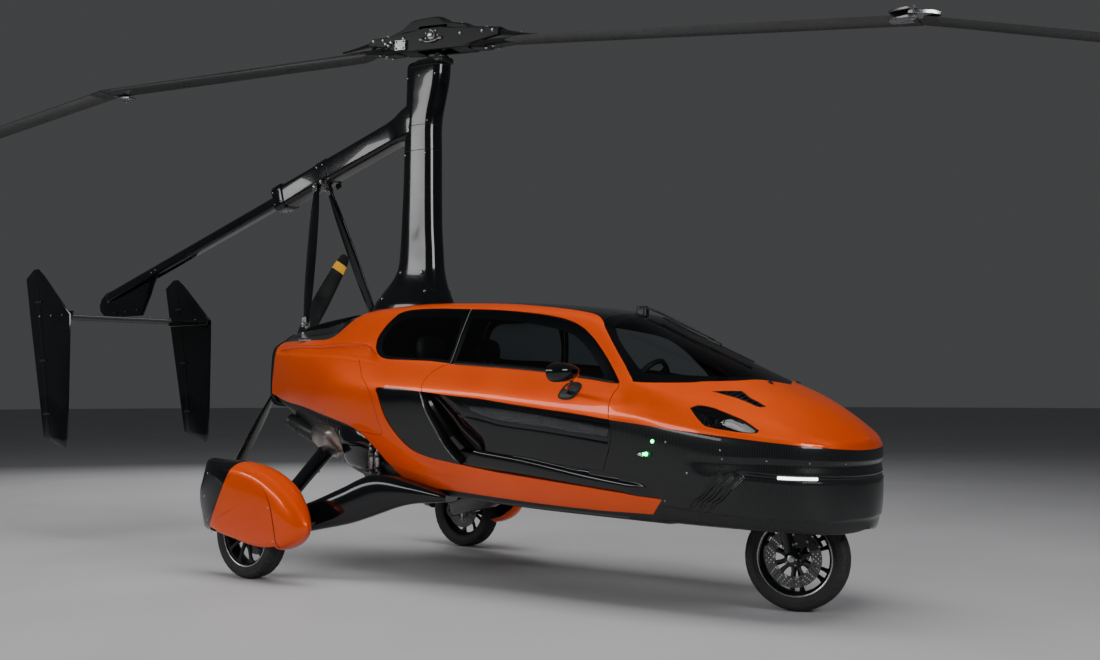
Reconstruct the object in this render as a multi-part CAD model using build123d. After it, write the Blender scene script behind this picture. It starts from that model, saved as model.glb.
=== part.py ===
from build123d import *
import math
import os

os.makedirs("parts", exist_ok=True)

# Roadable two-seat gyrocopter parked on its three wheels.
# Millimetres.  +X to the nose, +Y to the left, +Z up.
# Origin on the floor, under the middle of the whole vehicle's box.

# ---------------------------------------------------------------- sizes
WALL = 30.0            # thickness of body panels and doors
GLASS = 6.0            # thickness of windows
GAP = 7.0              # gap all round a door

WHEEL_R = 245.0        # tyre outside radius
TYRE_W = 118.0         # tyre width
RIM_R = 178.0          # rim outside radius (13 inch)
RIM_W = 96.0
REAR_X, REAR_Y = -580.0, 887.0
FRONT_X = 2262.0
AXLE_R = 14.0
RUN = 0.05             # radial running clearance of a pin in its bore

STEER_RAKE = 15.0      # degrees, top leaning back
STEER_REST = 11.0      # degrees the parked wheel is turned to the left

JACK_X, JACK_Y, JACK_Z, JACK_R = 700.0, 300.0, 440.0, 35.0   # jacking pads under the floor
TIE_R = 9.0            # tie-down ring bore
TOW_R = 6.5            # bore through the front axle for a tow bar's pin
PIVOT = (-14.0, 0.0, 3085.0)   # teeter bolt
ROTOR_YAW = 8.0        # parked blade line, towards +Y at the front
ROTOR_TILT = 3.2       # spin axis leans forward
ROTOR_R = 5375.0
BLADE_IN, BLADE_FOLD = 480.0, 2800.0
DROOP_IN, DROOP_OUT = 2.2, 10.6

PROP_X, PROP_Z, PROP_R = -1300.0, 1195.0, 876.0
PROP_ANGLE = 56.3      # blade line in the disc, from +Y up

BOOM_AXIS_X, BOOM_AXIS_Z = -1410.0, 2250.0   # a point on the boom's axis
BOOM_SLOPE = 16.3
BOOM_STROKE = 850.0

# Body sections, half of each.  Columns:
#  x,  zbot, w1, w2, z2 (sill), w3, z3 (waist line), w4, z4 (belt), w5, z5 (cant rail), ztop
BODY = [
    (2620, 398, 60, 100, 500, 108, 756, 95, 785, 45, 800, 804),
    (2560, 389, 250, 300, 490, 308, 768, 268, 806, 140, 848, 864),
    (2450, 396, 360, 420, 490, 428, 783, 378, 845, 205, 917, 944),
    (2210, 403, 420, 485, 510, 500, 808, 436, 905, 240, 1030, 1062),
    (1900, 410, 430, 505, 535, 532, 850, 460, 985, 360, 1062, 1203),
    (1650, 417, 430, 510, 550, 550, 885, 502, 1062, 478, 1090, 1312),
    (1420, 424, 430, 510, 558, 555, 920, 502, 1088, 388, 1372, 1414),
    (1100, 434, 430, 505, 570, 560, 962, 502, 1112, 390, 1428, 1465),
    (700, 452, 425, 500, 580, 560, 1000, 502, 1142, 385, 1462, 1497),
    (200, 482, 400, 500, 600, 560, 1030, 500, 1175, 380, 1475, 1515),
    (-250, 500, 330, 470, 710, 530, 1050, 480, 1225, 355, 1455, 1500),
    (-600, 590, 250, 410, 800, 460, 1080, 420, 1262, 300, 1352, 1470),
    (-900, 740, 190, 325, 875, 370, 1105, 340, 1282, 235, 1342, 1436),
    (-1180, 925, 150, 245, 945, 258, 1150, 235, 1280, 150, 1332, 1380),
]


def half(row, t=0.0):
    x, zb, w1, w2, z2, w3, z3, w4, z4, w5, z5, zt = row
    pts = [
        (0.0, zb + t),
        (w1 - 0.5 * t, zb + t),
        (w2 - t, z2 + 0.25 * t),
        (w3 - t, z3),
        (w4 - t, z4 - 0.3 * t),
        (w5 - 0.75 * t, z5 - 0.9 * t),
        ((w5 - 0.75 * t) * 0.55, z5 + (zt - z5) * 0.80 - t),
        (0.0, zt - t),
    ]
    return pts


def ring_at(x, pts):
    full = [(x, y, z) for y, z in pts] + [(x, -y, z) for y, z in reversed(pts[1:-1])]
    return Wire.make_polygon([Vector(*p) for p in full], close=True)


def hull(t, x_front, x_back):
    rows = [r for r in BODY if x_back <= r[0] <= x_front]
    wires = [ring_at(r[0], half(r, t)) for r in rows]
    if rows[0][0] < x_front:
        front = BODY[BODY.index(rows[0]) - 1]
        wires.insert(0, ring_at(x_front, blend(front, rows[0], x_front, t)))
    if rows[-1][0] > x_back:
        back = BODY[BODY.index(rows[-1]) + 1]
        wires.append(ring_at(x_back, blend(back, rows[-1], x_back, t)))
    return Solid.make_loft(wires, ruled=True)


def blend(a, b, x, t):
    k = (x - a[0]) / (b[0] - a[0])
    pa, pb = half(a, t), half(b, t)
    return [(p[0] + (q[0] - p[0]) * k, p[1] + (q[1] - p[1]) * k) for p, q in zip(pa, pb)]


def prism_y(xz, y0, y1):
    f = Face(Wire.make_polygon([Vector(x, y0, z) for x, z in xz], close=True))
    return Solid.extrude(f, Vector(0, y1 - y0, 0))


def prism_z(xy, z0, z1):
    f = Face(Wire.make_polygon([Vector(x, y, z0) for x, y in xy], close=True))
    return Solid.extrude(f, Vector(0, 0, z1 - z0))


def box(x0, x1, y0, y1, z0, z1):
    return Solid.make_box(x1 - x0, y1 - y0, z1 - z0).moved(Location((x0, y0, z0)))


def rod(p, q, r, r2=None):
    p, q = Vector(*p), Vector(*q)
    pl = Plane(origin=p, z_dir=(q - p).normalized())
    if r2 is None or r2 == r:
        return Solid.make_cylinder(r, (q - p).length, pl)
    return Solid.make_cone(r, r2, (q - p).length, pl)


def octo(cx, cy, cz, w, h, axis="x", k=0.29):
    # eight-sided section of width w and height h
    a, b = w / 2, h / 2
    c, d = a * (1 - 2 * k), b * (1 - 2 * k)
    uv = [(-c, -b), (c, -b), (a, -d), (a, d), (c, b), (-c, b), (-a, d), (-a, -d)]
    if axis == "x":
        pts = [(cx, cy + u, cz + v) for u, v in uv]
    else:
        pts = [(cx + u, cy + v, cz) for u, v in uv]
    return Wire.make_polygon([Vector(*p) for p in pts], close=True)


def parts_of(shape):
    return [s for s in shape.solids() if s.volume > 500.0]


NODES = {}


def put(name, *shapes):
    solids = []
    for s in shapes:
        solids += parts_of(s)
    NODES[name] = solids[0] if len(solids) == 1 else Compound(solids)


def both(shape):
    return [shape, shape.mirror(Plane.XZ)]


# ---------------------------------------------------------------- body shell
outer = hull(0.0, 2620, -1180)
inner = hull(WALL, 2585, -1150)
inner_glass = hull(GLASS, 2610, -1170)
shell = outer - inner
thin = outer - inner_glass

# windscreen outline seen from above
WINDSCREEN = [(1420, 352), (1540, 418), (1650, 462), (1760, 436), (1900, 356), (2040, 240), (2150, 120), (2212, 30)]
ws_plan = WINDSCREEN + [(x, -y) for x, y in reversed(WINDSCREEN)]
ws_prism = prism_z(ws_plan, 1040, 1500)

# door outline and glass outline seen from the side
DOOR = [(1528, 640), (1586, 796), (1590, 850), (1577, 950), (1602, 1050), (1512, 1180), (1405, 1285), (1264, 1365),
        (1056, 1410), (783, 1438), (579, 1444), (532, 1163), (421, 1122), (380, 1045), (395, 1010), (528, 916), (620, 805),
        (732, 705), (898, 695), (1278, 665)]
DOOR_GLASS = [(1530, 1098), (1462, 1185), (1385, 1255), (1195, 1352), (925, 1398), (625, 1416), (600, 1178), (1000, 1138)]
QUARTER_GLASS = [(498, 1180), (534, 1434), (356, 1448), (200, 1448), (78, 1434), (30, 1398), (-12, 1350), (-42, 1300), (-42, 1266), (0, 1234), (60, 1204)]


def grow(pts, d):
    # moves every side of an anticlockwise or clockwise outline outwards by d
    n = len(pts)
    area = sum(pts[i][0] * pts[(i + 1) % n][1] - pts[(i + 1) % n][0] * pts[i][1] for i in range(n))
    s = 1.0 if area > 0 else -1.0
    out = []
    for i in range(n):
        (ax, az), (bx, bz), (cx, cz) = pts[i - 1], pts[i], pts[(i + 1) % n]
        l1, l2 = math.hypot(bx - ax, bz - az), math.hypot(cx - bx, cz - bz)
        n1 = (s * (bz - az) / l1, -s * (bx - ax) / l1)
        n2 = (s * (cz - bz) / l2, -s * (cx - bx) / l2)
        m = (n1[0] + n2[0], n1[1] + n2[1])
        q = d / max(0.3, (1 + n1[0] * n2[0] + n1[1] * n2[1]))
        out.append((bx + m[0] * q, bz + m[1] * q))
    return out


right_door_cut = prism_y(grow(DOOR, GAP), -700, -250)
right_door_prism = prism_y(DOOR, -700, -250)
door_glass_prism = prism_y(DOOR_GLASS, -700, -250)
quarter_prism = prism_y(QUARTER_GLASS, -700, -250)

side_cuts = right_door_cut + quarter_prism
frame = shell - ws_prism
frame = frame - side_cuts
frame = frame - side_cuts.mirror(Plane.XZ)

put("windscreen", thin & ws_prism)
door_panel = (shell & right_door_prism) - door_glass_prism
put("right_door", door_panel)
put("left_door", door_panel.mirror(Plane.XZ))
door_pane = thin & door_glass_prism
put("right_door_glass", door_pane)
put("left_door_glass", door_pane.mirror(Plane.XZ))
quarter = thin & quarter_prism
put("quarter_windows", *both(quarter))

# front body: hood above the waist line, cowl below it
WAIST = [(1612, 886), (1650, 884), (1900, 848), (2210, 810), (2450, 783), (2560, 768), (2700, 748)]
hood_prism = prism_y(WAIST + [(2700, 1300), (1612, 1300)], -800, 800)
cowl_prism = prism_y([(1612, 300)] + WAIST + [(2700, 300)], -800, 800)
hood_zone = hood_prism & prism_z([(1612, -800), (2700, -800), (2700, 800), (1612, 800)], 300, 1074)

LAMP = [(1968, 942), (2016, 960), (2115, 938), (2225, 896), (2312, 852), (2300, 834), (2200, 838), (2080, 856), (2020, 892)]
lamp_prism = prism_y(LAMP, -700, -200)
lamp_both = lamp_prism + lamp_prism.mirror(Plane.XZ)
thick_lamp = outer - hull(18.0, 2590, -1160)

hood = (frame & hood_zone) - lamp_both
put("hood", hood)
put("headlamps", *parts_of(thick_lamp & lamp_both))

wheel_well = prism_z([(1960, -180), (2060, -270), (2400, -270), (2500, -180), (2500, 180), (2400, 270), (2060, 270), (1960, 180)], 300, 470)
front_open = prism_z([(1930, -300), (2470, -300), (2540, -120), (2540, 120), (2470, 300), (1930, 300)], 380, 470)
cowl = (frame & cowl_prism) - wheel_well
put("nose_cowl", cowl)
rest = frame - hood_zone
rest = rest - cowl_prism

# floor and belly between the nose cowl and the engine bay
belly_prism = prism_y([(-250, 300), (1612, 300), (1612, 500), (1100, 520), (200, 540), (-250, 560)], -800, 800)
floor = rest & belly_prism
rest = rest - belly_prism

# roof panel between the cant rails, then the louvred deck behind the mast
roof_prism = prism_z([(130, -290), (1430, -300), (1430, 300), (130, 290)], 1380, 1600)
put("roof_panel", rest & roof_prism)
rest = rest - roof_prism
DECK = [(130, 290), (-230, 300), (-330, 312), (-410, 350), (-486, 372), (-764, 305), (-1133, 185), (-1185, 165)]
deck_prism = prism_z([(x, -y) for x, y in DECK] + DECK[::-1], 1285, 1600)
put("rear_deck", rest & deck_prism)
rest = rest - deck_prism

# lower engine cowl, under the edge of the painted side panels
cowl_edge = [(185, 400), (185, 525), (143, 568), (93, 628), (32, 689), (-46, 740), (-120, 793), (-203, 829), (-500, 890),
             (-742, 930), (-965, 958), (-1140, 1000), (-1140, 1340), (-1300, 1340), (-1300, 400)]
engine_cowl_prism = prism_y(cowl_edge, -800, 800)
engine_cowl = (rest & engine_cowl_prism) - rod((-1300, 0, PROP_Z), (-1000, 0, PROP_Z), 70)
rest = rest - engine_cowl_prism
put("right_side_frame", rest & box(-1400, 2700, -900, -0.01, 0, 2000))
put("left_side_frame", rest & box(-1400, 2700, 0.01, 900, 0, 2000))

# cabin tub: floor, bulkhead behind the seats, bulkhead ahead of the pedals, two jacking pads
cavity = hull(WALL, 2585, -1150)
tub = floor + (cavity & box(-250, -220, -600, 600, 300, 1600)) + (cavity & box(1780, 1810, -600, 600, 300, 960))
for sy in (-1, 1):
    tub = tub + rod((JACK_X, sy * JACK_Y, JACK_Z), (JACK_X, sy * JACK_Y, 505), JACK_R)

# ---------------------------------------------------------------- engine bay
drive = rod((-420, 0, PROP_Z), (-1345, 0, PROP_Z), 25)
put("engine_block", box(-880, -330, -165, 165, 790, 1240) + box(-600, -330, -150, 150, 640, 790) + drive)


def muffler(d):
    # columns: x, y, z, width, height
    rows = [(-960 - d, -262, 812, 80, 80), (-890, -272, 775, 130, 120), (-740, -293, 692, 150, 130), (-668 + d, -304, 652, 90, 80)]
    return Solid.make_loft([octo(x, y, z, w + 2 * d, h + 2 * d) for x, y, z, w, h in rows], ruled=True)


put("exhaust_muffler", muffler(0.0))
put("engine_cowl", engine_cowl - muffler(6.0))

# ---------------------------------------------------------------- undercarriage
# rear arm sections, columns: x, y, z, width, height
ARM = [(-610, 772, 262, 60, 110), (-300, 668, 330, 100, 150), (50, 530, 402, 130, 150), (400, 395, 455, 190, 84)]
arm = Solid.make_loft([octo(x, -y, z, w, h) for x, y, z, w, h in ARM], ruled=True)
spindle = rod((REAR_X, -760, WHEEL_R), (REAR_X, -(REAR_Y + 20), WHEEL_R), AXLE_R)
arm = arm - outer
ring = rod((-462, -720, 190), (-448, -720, 190), 24) + box(-462, -448, -740, -700, 190, 285)
ring = ring - rod((-480, -720, 190), (-430, -720, 190), TIE_R)
put("rear_arms", *both(arm + spindle + ring))
leg = rod((-600, -300, 690), (-584, -735, 330), 46)
put("rear_struts", *both(leg - arm - outer))

# wheel fairing, open below and inboard.  Side view outline and width
SPAT = [(-110, 300), (-190, 430), (-330, 560), (-520, 640), (-700, 662), (-850, 645), (-960, 560), (-1030, 455),
        (-985, 330), (-860, 232), (-625, 168), (-400, 160), (-225, 195)]
spat_out = prism_y(SPAT, -985, -805)
spat_in = prism_y(grow(SPAT, -14), -967, -780)
tyre_slot = prism_y([(-860, 0), (-860, 252), (-310, 252), (-310, 0)], -985, -780)
under = prism_y([(-850, 100), (-850, 262), (-625, 202), (-400, 192), (-300, 205), (-300, 100)], -967, -780)
spat = spat_out - spat_in - under
put("wheel_spats", *both(spat))


def wheel(side_y, hub_x, hub_z, turn=None):
    # profile columns: radius, half-width sign y
    ty = [(RIM_R - 2, -42), (RIM_R + 4, -46), (RIM_R + 26, -58), (WHEEL_R - 16, -57), (WHEEL_R - 3, -40), (WHEEL_R, -12),
          (WHEEL_R, 12), (WHEEL_R - 3, 40), (WHEEL_R - 16, 57), (RIM_R + 26, 58), (RIM_R + 4, 46), (RIM_R - 2, 42)]
    rim = [(AXLE_R + RUN, -34), (42, -34), (46, -20), (138, -2), (160, -38), (RIM_R - 2, -42), (RIM_R - 2, 42), (160, 38),
           (150, 12), (46, 8), (42, 24), (AXLE_R + RUN, 24)]

    def spin(prof):
        f = Face(Wire.make_polygon([Vector(r, y, 0) for r, y in prof], close=True))
        return Solid.revolve(f, 360, Axis((0, 0, 0), (0, 1, 0)))

    return spin(ty), spin(rim)


tyre, rim = wheel(0, 0, 0)
for side, sy in (("right", -1), ("left", 1)):
    place = Location((REAR_X, sy * REAR_Y, WHEEL_R))
    flip = Location((0, 0, 0), (0, 0, 180)) if sy > 0 else Location()
    put(side + "_rear_tyre", tyre.moved(place))
    put(side + "_rear_rim", rim.moved(place * flip))

# front fork, wheel and steering head, built upright and then raked and turned
rake = math.radians(STEER_RAKE)
hub = Vector(FRONT_X, 0, WHEEL_R)
steer_axis = Vector(-math.sin(rake), 0, math.cos(rake))
raked = Location((FRONT_X, 0, WHEEL_R), (0, -STEER_RAKE, 0))
turned = Location((0, 0, 0), (0, 0, STEER_REST))

fork_leg = Solid.make_loft([octo(0, -92, 0, 60, 26, "z"), octo(0, -92, 180, 74, 30, "z"), octo(0, -80, 300, 90, 50, "z")], ruled=True)
lug = rod((0, -79, 0), (0, -105, 0), 34)
crown = box(-60, 60, -105, 105, 285, 335)
stem = rod((0, 0, 330), (0, 0, 600), 30)
axle = rod((0, -110, 0), (0, 110, 0), AXLE_R)
tow = rod((0, -120, 0), (0, 120, 0), TOW_R)
fork = fork_leg + fork_leg.mirror(Plane.XZ) + lug + lug.mirror(Plane.XZ) + crown + stem + axle
disc = rod((0, -72, 0), (0, -66, 0), 135) - rod((0, -80, 0), (0, -60, 0), 40)
disc_hat = rod((0, -66.5, 0), (0, -34, 0), 44) - rod((0, -80, 0), (0, -20, 0), AXLE_R + RUN)
disc = rod((0, -72, 0), (0, -66, 0), 135) - rod((0, -80, 0), (0, -60, 0), AXLE_R + RUN) + disc_hat

upright = Location((0, 0, 0), (0, STEER_RAKE, 0))   # keeps the wheel's own axes level in the fork
pose = raked * turned
drop = min((tyre.moved(pose)).bounding_box().min.Z, 0.0)
lift = -(tyre.moved(pose)).bounding_box().min.Z
pose = Location((0, 0, lift)) * pose
put("front_fork", (fork - tow).moved(pose))
put("front_tyre", tyre.moved(pose))
put("front_rim", rim.moved(pose))
put("front_brake_disc", disc.moved(pose))
hub_z = WHEEL_R + lift
print("front hub height", round(hub_z, 2))

rake_only = Location((FRONT_X, 0, hub_z), (0, -STEER_RAKE, 0))
head = rod((0, 0, 360), (0, 0, 560), 55) - rod((0, 0, 350), (0, 0, 620), 30 + RUN)
beam = box(-420, -50, -60, 60, 390, 450) + box(-420, -50, -60, 60, 480, 540)
head_w = (head + (beam - rod((0, 0, 350), (0, 0, 620), 54))).moved(rake_only)
put("steering_head", head_w - box(1000, 1810, -500, 500, 0, 2000))

# ---------------------------------------------------------------- mast, boom and tail
# mast sections, columns: z, x centre, chord, width
MAST = [(1452, -212, 560, 300), (1530, -212, 560, 300), (1625, -195, 440, 220), (1740, -160, 345, 175),
        (2250, -115, 335, 160), (2900, -98, 335, 160), (2930, -98, 300, 140)]
mast = Solid.make_loft([octo(x, 0, z, c, w, "z", 0.2) for z, x, c, w in MAST], ruled=True)

tilt = math.radians(ROTOR_TILT)
yaw = math.radians(ROTOR_YAW)
spin_dir = Vector(math.sin(tilt) * math.cos(yaw), math.sin(tilt) * math.sin(yaw), math.cos(tilt))
span_dir = Vector(math.cos(tilt) * math.cos(yaw), math.cos(tilt) * math.sin(yaw), -math.sin(tilt))
head_plane = Plane(origin=Vector(*PIVOT), x_dir=span_dir, z_dir=spin_dir)
HEAD = head_plane.location

put("cabin_tub", tub - mast)
put("rear_deck", NODES["rear_deck"] - mast)
spindle_pin = rod((0, 0, -150), (0, 0, -35), 22).moved(HEAD)
head_plate = box(-150, 50, -60, 60, 2930, 2952)
put("mast", mast + head_plate + spindle_pin)

slope = math.radians(BOOM_SLOPE)
boom_dir = Vector(math.cos(slope), 0, math.sin(slope))     # up and forward
boom_plane = Plane(origin=Vector(BOOM_AXIS_X, 0, BOOM_AXIS_Z), x_dir=Vector(0, 1, 0), z_dir=boom_dir)
BOOM = boom_plane.location


def rounded(w, h, r, z0, z1):
    sk = Plane.XY.offset(z0) * RectangleRounded(w, h, r)
    return Solid.extrude(sk.faces()[0], Vector(0, 0, z1 - z0))


sleeve = rounded(124, 150, 30, 0, 1160) + rounded(144, 172, 34, 0, 90)
sleeve = (sleeve - rounded(74, 78, 20, -5, 1100)).moved(BOOM) - mast
put("boom_sleeve", sleeve)
tube = rounded(70, 74, 18, -1980, 150).moved(BOOM)

# pylon and tailplane, side view
PYLON = [(-2720, 1868), (-3334, 1722), (-3440, 1660), (-3415, 1590), (-3330, 1556), (-2890, 1556), (-2790, 1700)]
pylon = prism_y(PYLON, -26, 26)
put("tail_boom", (tube - prism_y([(-3700, 1400), (-3700, 2000), (-3300, 2000), (-3300, 1400)], -100, 100)) + pylon)
TAILPLANE = [(-2872, 1541), (-2930, 1555), (-3080, 1555), (-3420, 1536), (-3080, 1520), (-2930, 1520)]
put("tailplane", prism_y(TAILPLANE, -562, 562))
FIN = [(-3303, 1886), (-3450, 1828), (-3189, 708), (-2912, 632), (-2883, 693), (-2872, 1541)]
put("tail_fins", *both(prism_y(FIN, -602, -562)))

# A-frame under the boom
ft = [(-1012, 45, 2300), (-812, 305, 1395)]
a_leg = rod((ft[0][0], -ft[0][1], ft[0][2]), (ft[1][0], -ft[1][1], ft[1][2]), 27)
a_leg = a_leg - (rounded(144, 172, 34, -100, 1160).moved(BOOM))
put("boom_braces", *both(a_leg - outer))

# ---------------------------------------------------------------- rotor
tower = box(-42, 42, -38, 38, -62, 34) - rod((0, 0, -80), (0, 0, -30), 22 + RUN)
bolt = rod((0, -92, 0), (0, 92, 0), 12)
put("rotor_tower", (tower + bolt).moved(HEAD))

bar = box(-450, 450, -78, 78, -26, 26) - box(-120, 120, -48, 48, -60, 60)
bar = bar - rod((0, -100, 0), (0, 100, 0), 12 + RUN)
cap = box(-120, 120, -78, 78, 60, 96) + box(-120, -98, -78, 78, 20, 61) + box(98, 120, -78, 78, 20, 61)
grip = box(330, 560, -70, 70, -60, 20)
bar = bar + cap + grip + grip.moved(Location((0, 0, 0), (0, 0, 180)))
put("rotor_hub", bar.moved(HEAD))


def foil(x, z, c_front, c_back, th, dz=0.0):
    # blade section across the span, nose towards +Y
    pts = [(c_front, z), (c_front * 0.6, z + th * 0.5), (0, z + th * 0.6), (-c_back, z + 2), (-c_back, z - 2), (0, z - th * 0.4), (c_front * 0.6, z - th * 0.35)]
    return Wire.make_polygon([Vector(x, y, zz) for y, zz in pts], close=True)


d1, d2 = math.tan(math.radians(DROOP_IN)), math.tan(math.radians(DROOP_OUT))
ROOT_Z = -64.0
z_fold = ROOT_Z - (BLADE_FOLD - BLADE_IN) * d1
z_tip = z_fold - (ROTOR_R - BLADE_FOLD) * d2
HINGE_Y = -180.0
inner_blade = Solid.make_loft([foil(BLADE_IN, ROOT_Z, 62, 150, 40), foil(BLADE_FOLD - 4, z_fold, 62, 150, 40)], ruled=True)
outer_blade = Solid.make_loft([foil(BLADE_FOLD + 4, z_fold - 1, 56, 140, 30), foil(ROTOR_R, z_tip, 56, 140, 22)], ruled=True)
eye = rod((BLADE_FOLD, HINGE_Y, z_fold + 14), (BLADE_FOLD, HINGE_Y, z_fold + 26), 24) + box(BLADE_FOLD - 120, BLADE_FOLD - 8, HINGE_Y, -90, z_fold + 14, z_fold + 26)
eye_lo = rod((BLADE_FOLD, HINGE_Y, z_fold - 26), (BLADE_FOLD, HINGE_Y, z_fold - 14), 24) + box(BLADE_FOLD - 120, BLADE_FOLD - 8, HINGE_Y, -90, z_fold - 26, z_fold - 14)
pin = rod((BLADE_FOLD, HINGE_Y, z_fold - 32), (BLADE_FOLD, HINGE_Y, z_fold + 32), 8)
inner_full = inner_blade + eye + eye_lo + pin
mid_eye = rod((BLADE_FOLD, HINGE_Y, z_fold - 9), (BLADE_FOLD, HINGE_Y, z_fold + 9), 24) + box(BLADE_FOLD + 8, BLADE_FOLD + 120, HINGE_Y, -90, z_fold - 9, z_fold + 9)
mid_eye = mid_eye - rod((BLADE_FOLD, HINGE_Y, z_fold - 40), (BLADE_FOLD, HINGE_Y, z_fold + 40), 8 + RUN)
outer_full = (outer_blade + mid_eye) - rod((BLADE_FOLD, HINGE_Y, z_fold - 40), (BLADE_FOLD, HINGE_Y, z_fold + 40), 8 + RUN)
half_turn = Location((0, 0, 0), (0, 0, 180))
for name, turn in (("front", Location()), ("rear", half_turn)):
    put(name + "_blade_root", (inner_full - grip).moved(HEAD * turn))
    put(name + "_blade_tip", outer_full.moved(HEAD * turn))

# ---------------------------------------------------------------- propeller
pa = math.radians(PROP_ANGLE)
prop_plane = Plane(origin=Vector(PROP_X, 0, PROP_Z), x_dir=Vector(0, math.cos(pa), math.sin(pa)), z_dir=Vector(1, 0, 0))
PROP = prop_plane.location
prop_hub = rod((0, 0, -45), (0, 0, 45), 75)
# columns: radius, chord, thickness, twist
BLADE = [(40, 80, 44, -50), (200, 98, 32, -40), (500, 112, 20, -24), (876, 66, 11, -14)]


def prop_section(r, c, th, tw):
    a = math.radians(tw)
    pts = [(-c / 2, 0), (-c / 4, th / 2), (c / 4, th / 2), (c / 2, 0), (c / 4, -th / 2), (-c / 4, -th / 2)]
    return Wire.make_polygon([Vector(r, u * math.cos(a) - v * math.sin(a), u * math.sin(a) + v * math.cos(a)) for u, v in pts], close=True)


blade = Solid.make_loft([prop_section(*b) for b in BLADE], ruled=True)
prop = prop_hub + blade + blade.moved(half_turn)
prop = prop - rod((0, 0, -80), (0, 0, 80), 25 + RUN)
put("propeller", prop.moved(PROP))

# ---------------------------------------------------------------- cabin
cushion = box(330, 830, 50, 430, 640, 760)
back = prism_y([(330, 700), (200, 1180), (95, 1180), (235, 640), (330, 640)], 60, 420)
headrest = prism_y([(190, 1190), (165, 1330), (95, 1330), (110, 1190)], 130, 350)
base = box(300, 800, 90, 390, 525, 635)
put("seats", *both(cushion + back + headrest + box(110, 170, 200, 280, 1170, 1200) + base))
dash = prism_y([(1780, 900), (1640, 1040), (1420, 1075), (1360, 1030), (1400, 900), (1560, 820)], -400, 400)
column = rod((1400, 235, 985), (1320, 235, 1030), 22)
put("dashboard", (dash + column) & hull(WALL + 3, 2585, -1149))
wheel_plane = Plane(origin=Vector(1290, 235, 1047), x_dir=Vector(0, 1, 0), z_dir=Vector(-0.87, 0, 0.49))
rim_ring = Solid.make_torus(150, 14)
spokes = box(-150, 150, -16, 16, -8, 8) + rod((0, 0, -22), (0, 0, 12), 45)
put("steering_wheel", (rim_ring + spokes).moved(wheel_plane.location * Location((0, 0, 0), (0, 0, 3 * STEER_REST))))

# ---------------------------------------------------------------- small outside pieces
m_head = Solid.make_loft([octo(1560, -830, 1108, 180, 80), octo(1500, -830, 1108, 210, 110), octo(1462, -830, 1108, 200, 100)], ruled=True)
m_arm = rod((1400, -548, 1030), (1480, -745, 1080), 14)
mirror_r = (m_head + m_arm)
put("right_mirror", mirror_r - outer)
put("left_mirror", mirror_r.mirror(Plane.XZ) - outer)
put("wiper", (rod((1400, 0, 1448), (2090, 0, 1140), 7) + rod((1400, 0, 1400), (1400, 0, 1452), 12)) - outer)
nav = rod((1770, -505, 736), (1770, -560, 736), 20)
put("navigation_lights", *both(nav - outer))

for name, shape in NODES.items():
    export_step(shape, "parts/" + name + ".step")
print(len(NODES), "nodes")
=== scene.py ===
import math

import bmesh
import bpy
import numpy as np
from mathutils import Matrix, Vector, geometry


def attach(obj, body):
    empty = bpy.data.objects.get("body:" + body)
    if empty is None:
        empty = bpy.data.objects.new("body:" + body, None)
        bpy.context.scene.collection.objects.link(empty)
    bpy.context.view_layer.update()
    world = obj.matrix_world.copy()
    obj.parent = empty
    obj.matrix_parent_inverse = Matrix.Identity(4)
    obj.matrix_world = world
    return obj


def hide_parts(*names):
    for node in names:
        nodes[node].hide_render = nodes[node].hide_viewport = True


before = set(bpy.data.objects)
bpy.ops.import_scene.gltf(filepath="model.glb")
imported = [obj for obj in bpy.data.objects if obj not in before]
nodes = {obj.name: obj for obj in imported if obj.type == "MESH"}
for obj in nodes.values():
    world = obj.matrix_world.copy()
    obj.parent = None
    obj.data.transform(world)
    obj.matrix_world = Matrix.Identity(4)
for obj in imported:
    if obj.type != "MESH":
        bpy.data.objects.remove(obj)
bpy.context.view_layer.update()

# Millimetres until a mesh is made.  +X to the nose, +Y to the left, +Z up.

# ------------------------------------------------------------------ materials


def _nodes(name):
    m = bpy.data.materials.new(name)
    m.use_nodes = True
    nt = m.node_tree
    return m, nt, nt.nodes["Principled BSDF"]


def _noise(nt, scale, detail=3.0, rough=0.5, coord="Object"):
    tc = nt.nodes.new("ShaderNodeTexCoord")
    n = nt.nodes.new("ShaderNodeTexNoise")
    n.inputs["Scale"].default_value = scale
    n.inputs["Detail"].default_value = detail
    n.inputs["Roughness"].default_value = rough
    nt.links.new(tc.outputs[coord], n.inputs["Vector"])
    return n.outputs["Fac"]


def _range(nt, socket, a, b, lo, hi):
    r = nt.nodes.new("ShaderNodeMapRange")
    r.inputs["From Min"].default_value = a
    r.inputs["From Max"].default_value = b
    r.inputs["To Min"].default_value = lo
    r.inputs["To Max"].default_value = hi
    nt.links.new(socket, r.inputs["Value"])
    return r.outputs["Result"]


def _mixc(nt, fac, c1, c2):
    x = nt.nodes.new("ShaderNodeMix")
    x.data_type = "RGBA"
    x.inputs["A"].default_value = (*c1, 1)
    x.inputs["B"].default_value = (*c2, 1)
    nt.links.new(fac, x.inputs["Factor"])
    return x.outputs["Result"]


def _bump(nt, bsdf, height, strength, distance):
    b = nt.nodes.new("ShaderNodeBump")
    b.inputs["Strength"].default_value = strength
    b.inputs["Distance"].default_value = distance
    nt.links.new(height, b.inputs["Height"])
    nt.links.new(b.outputs["Normal"], bsdf.inputs["Normal"])


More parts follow.
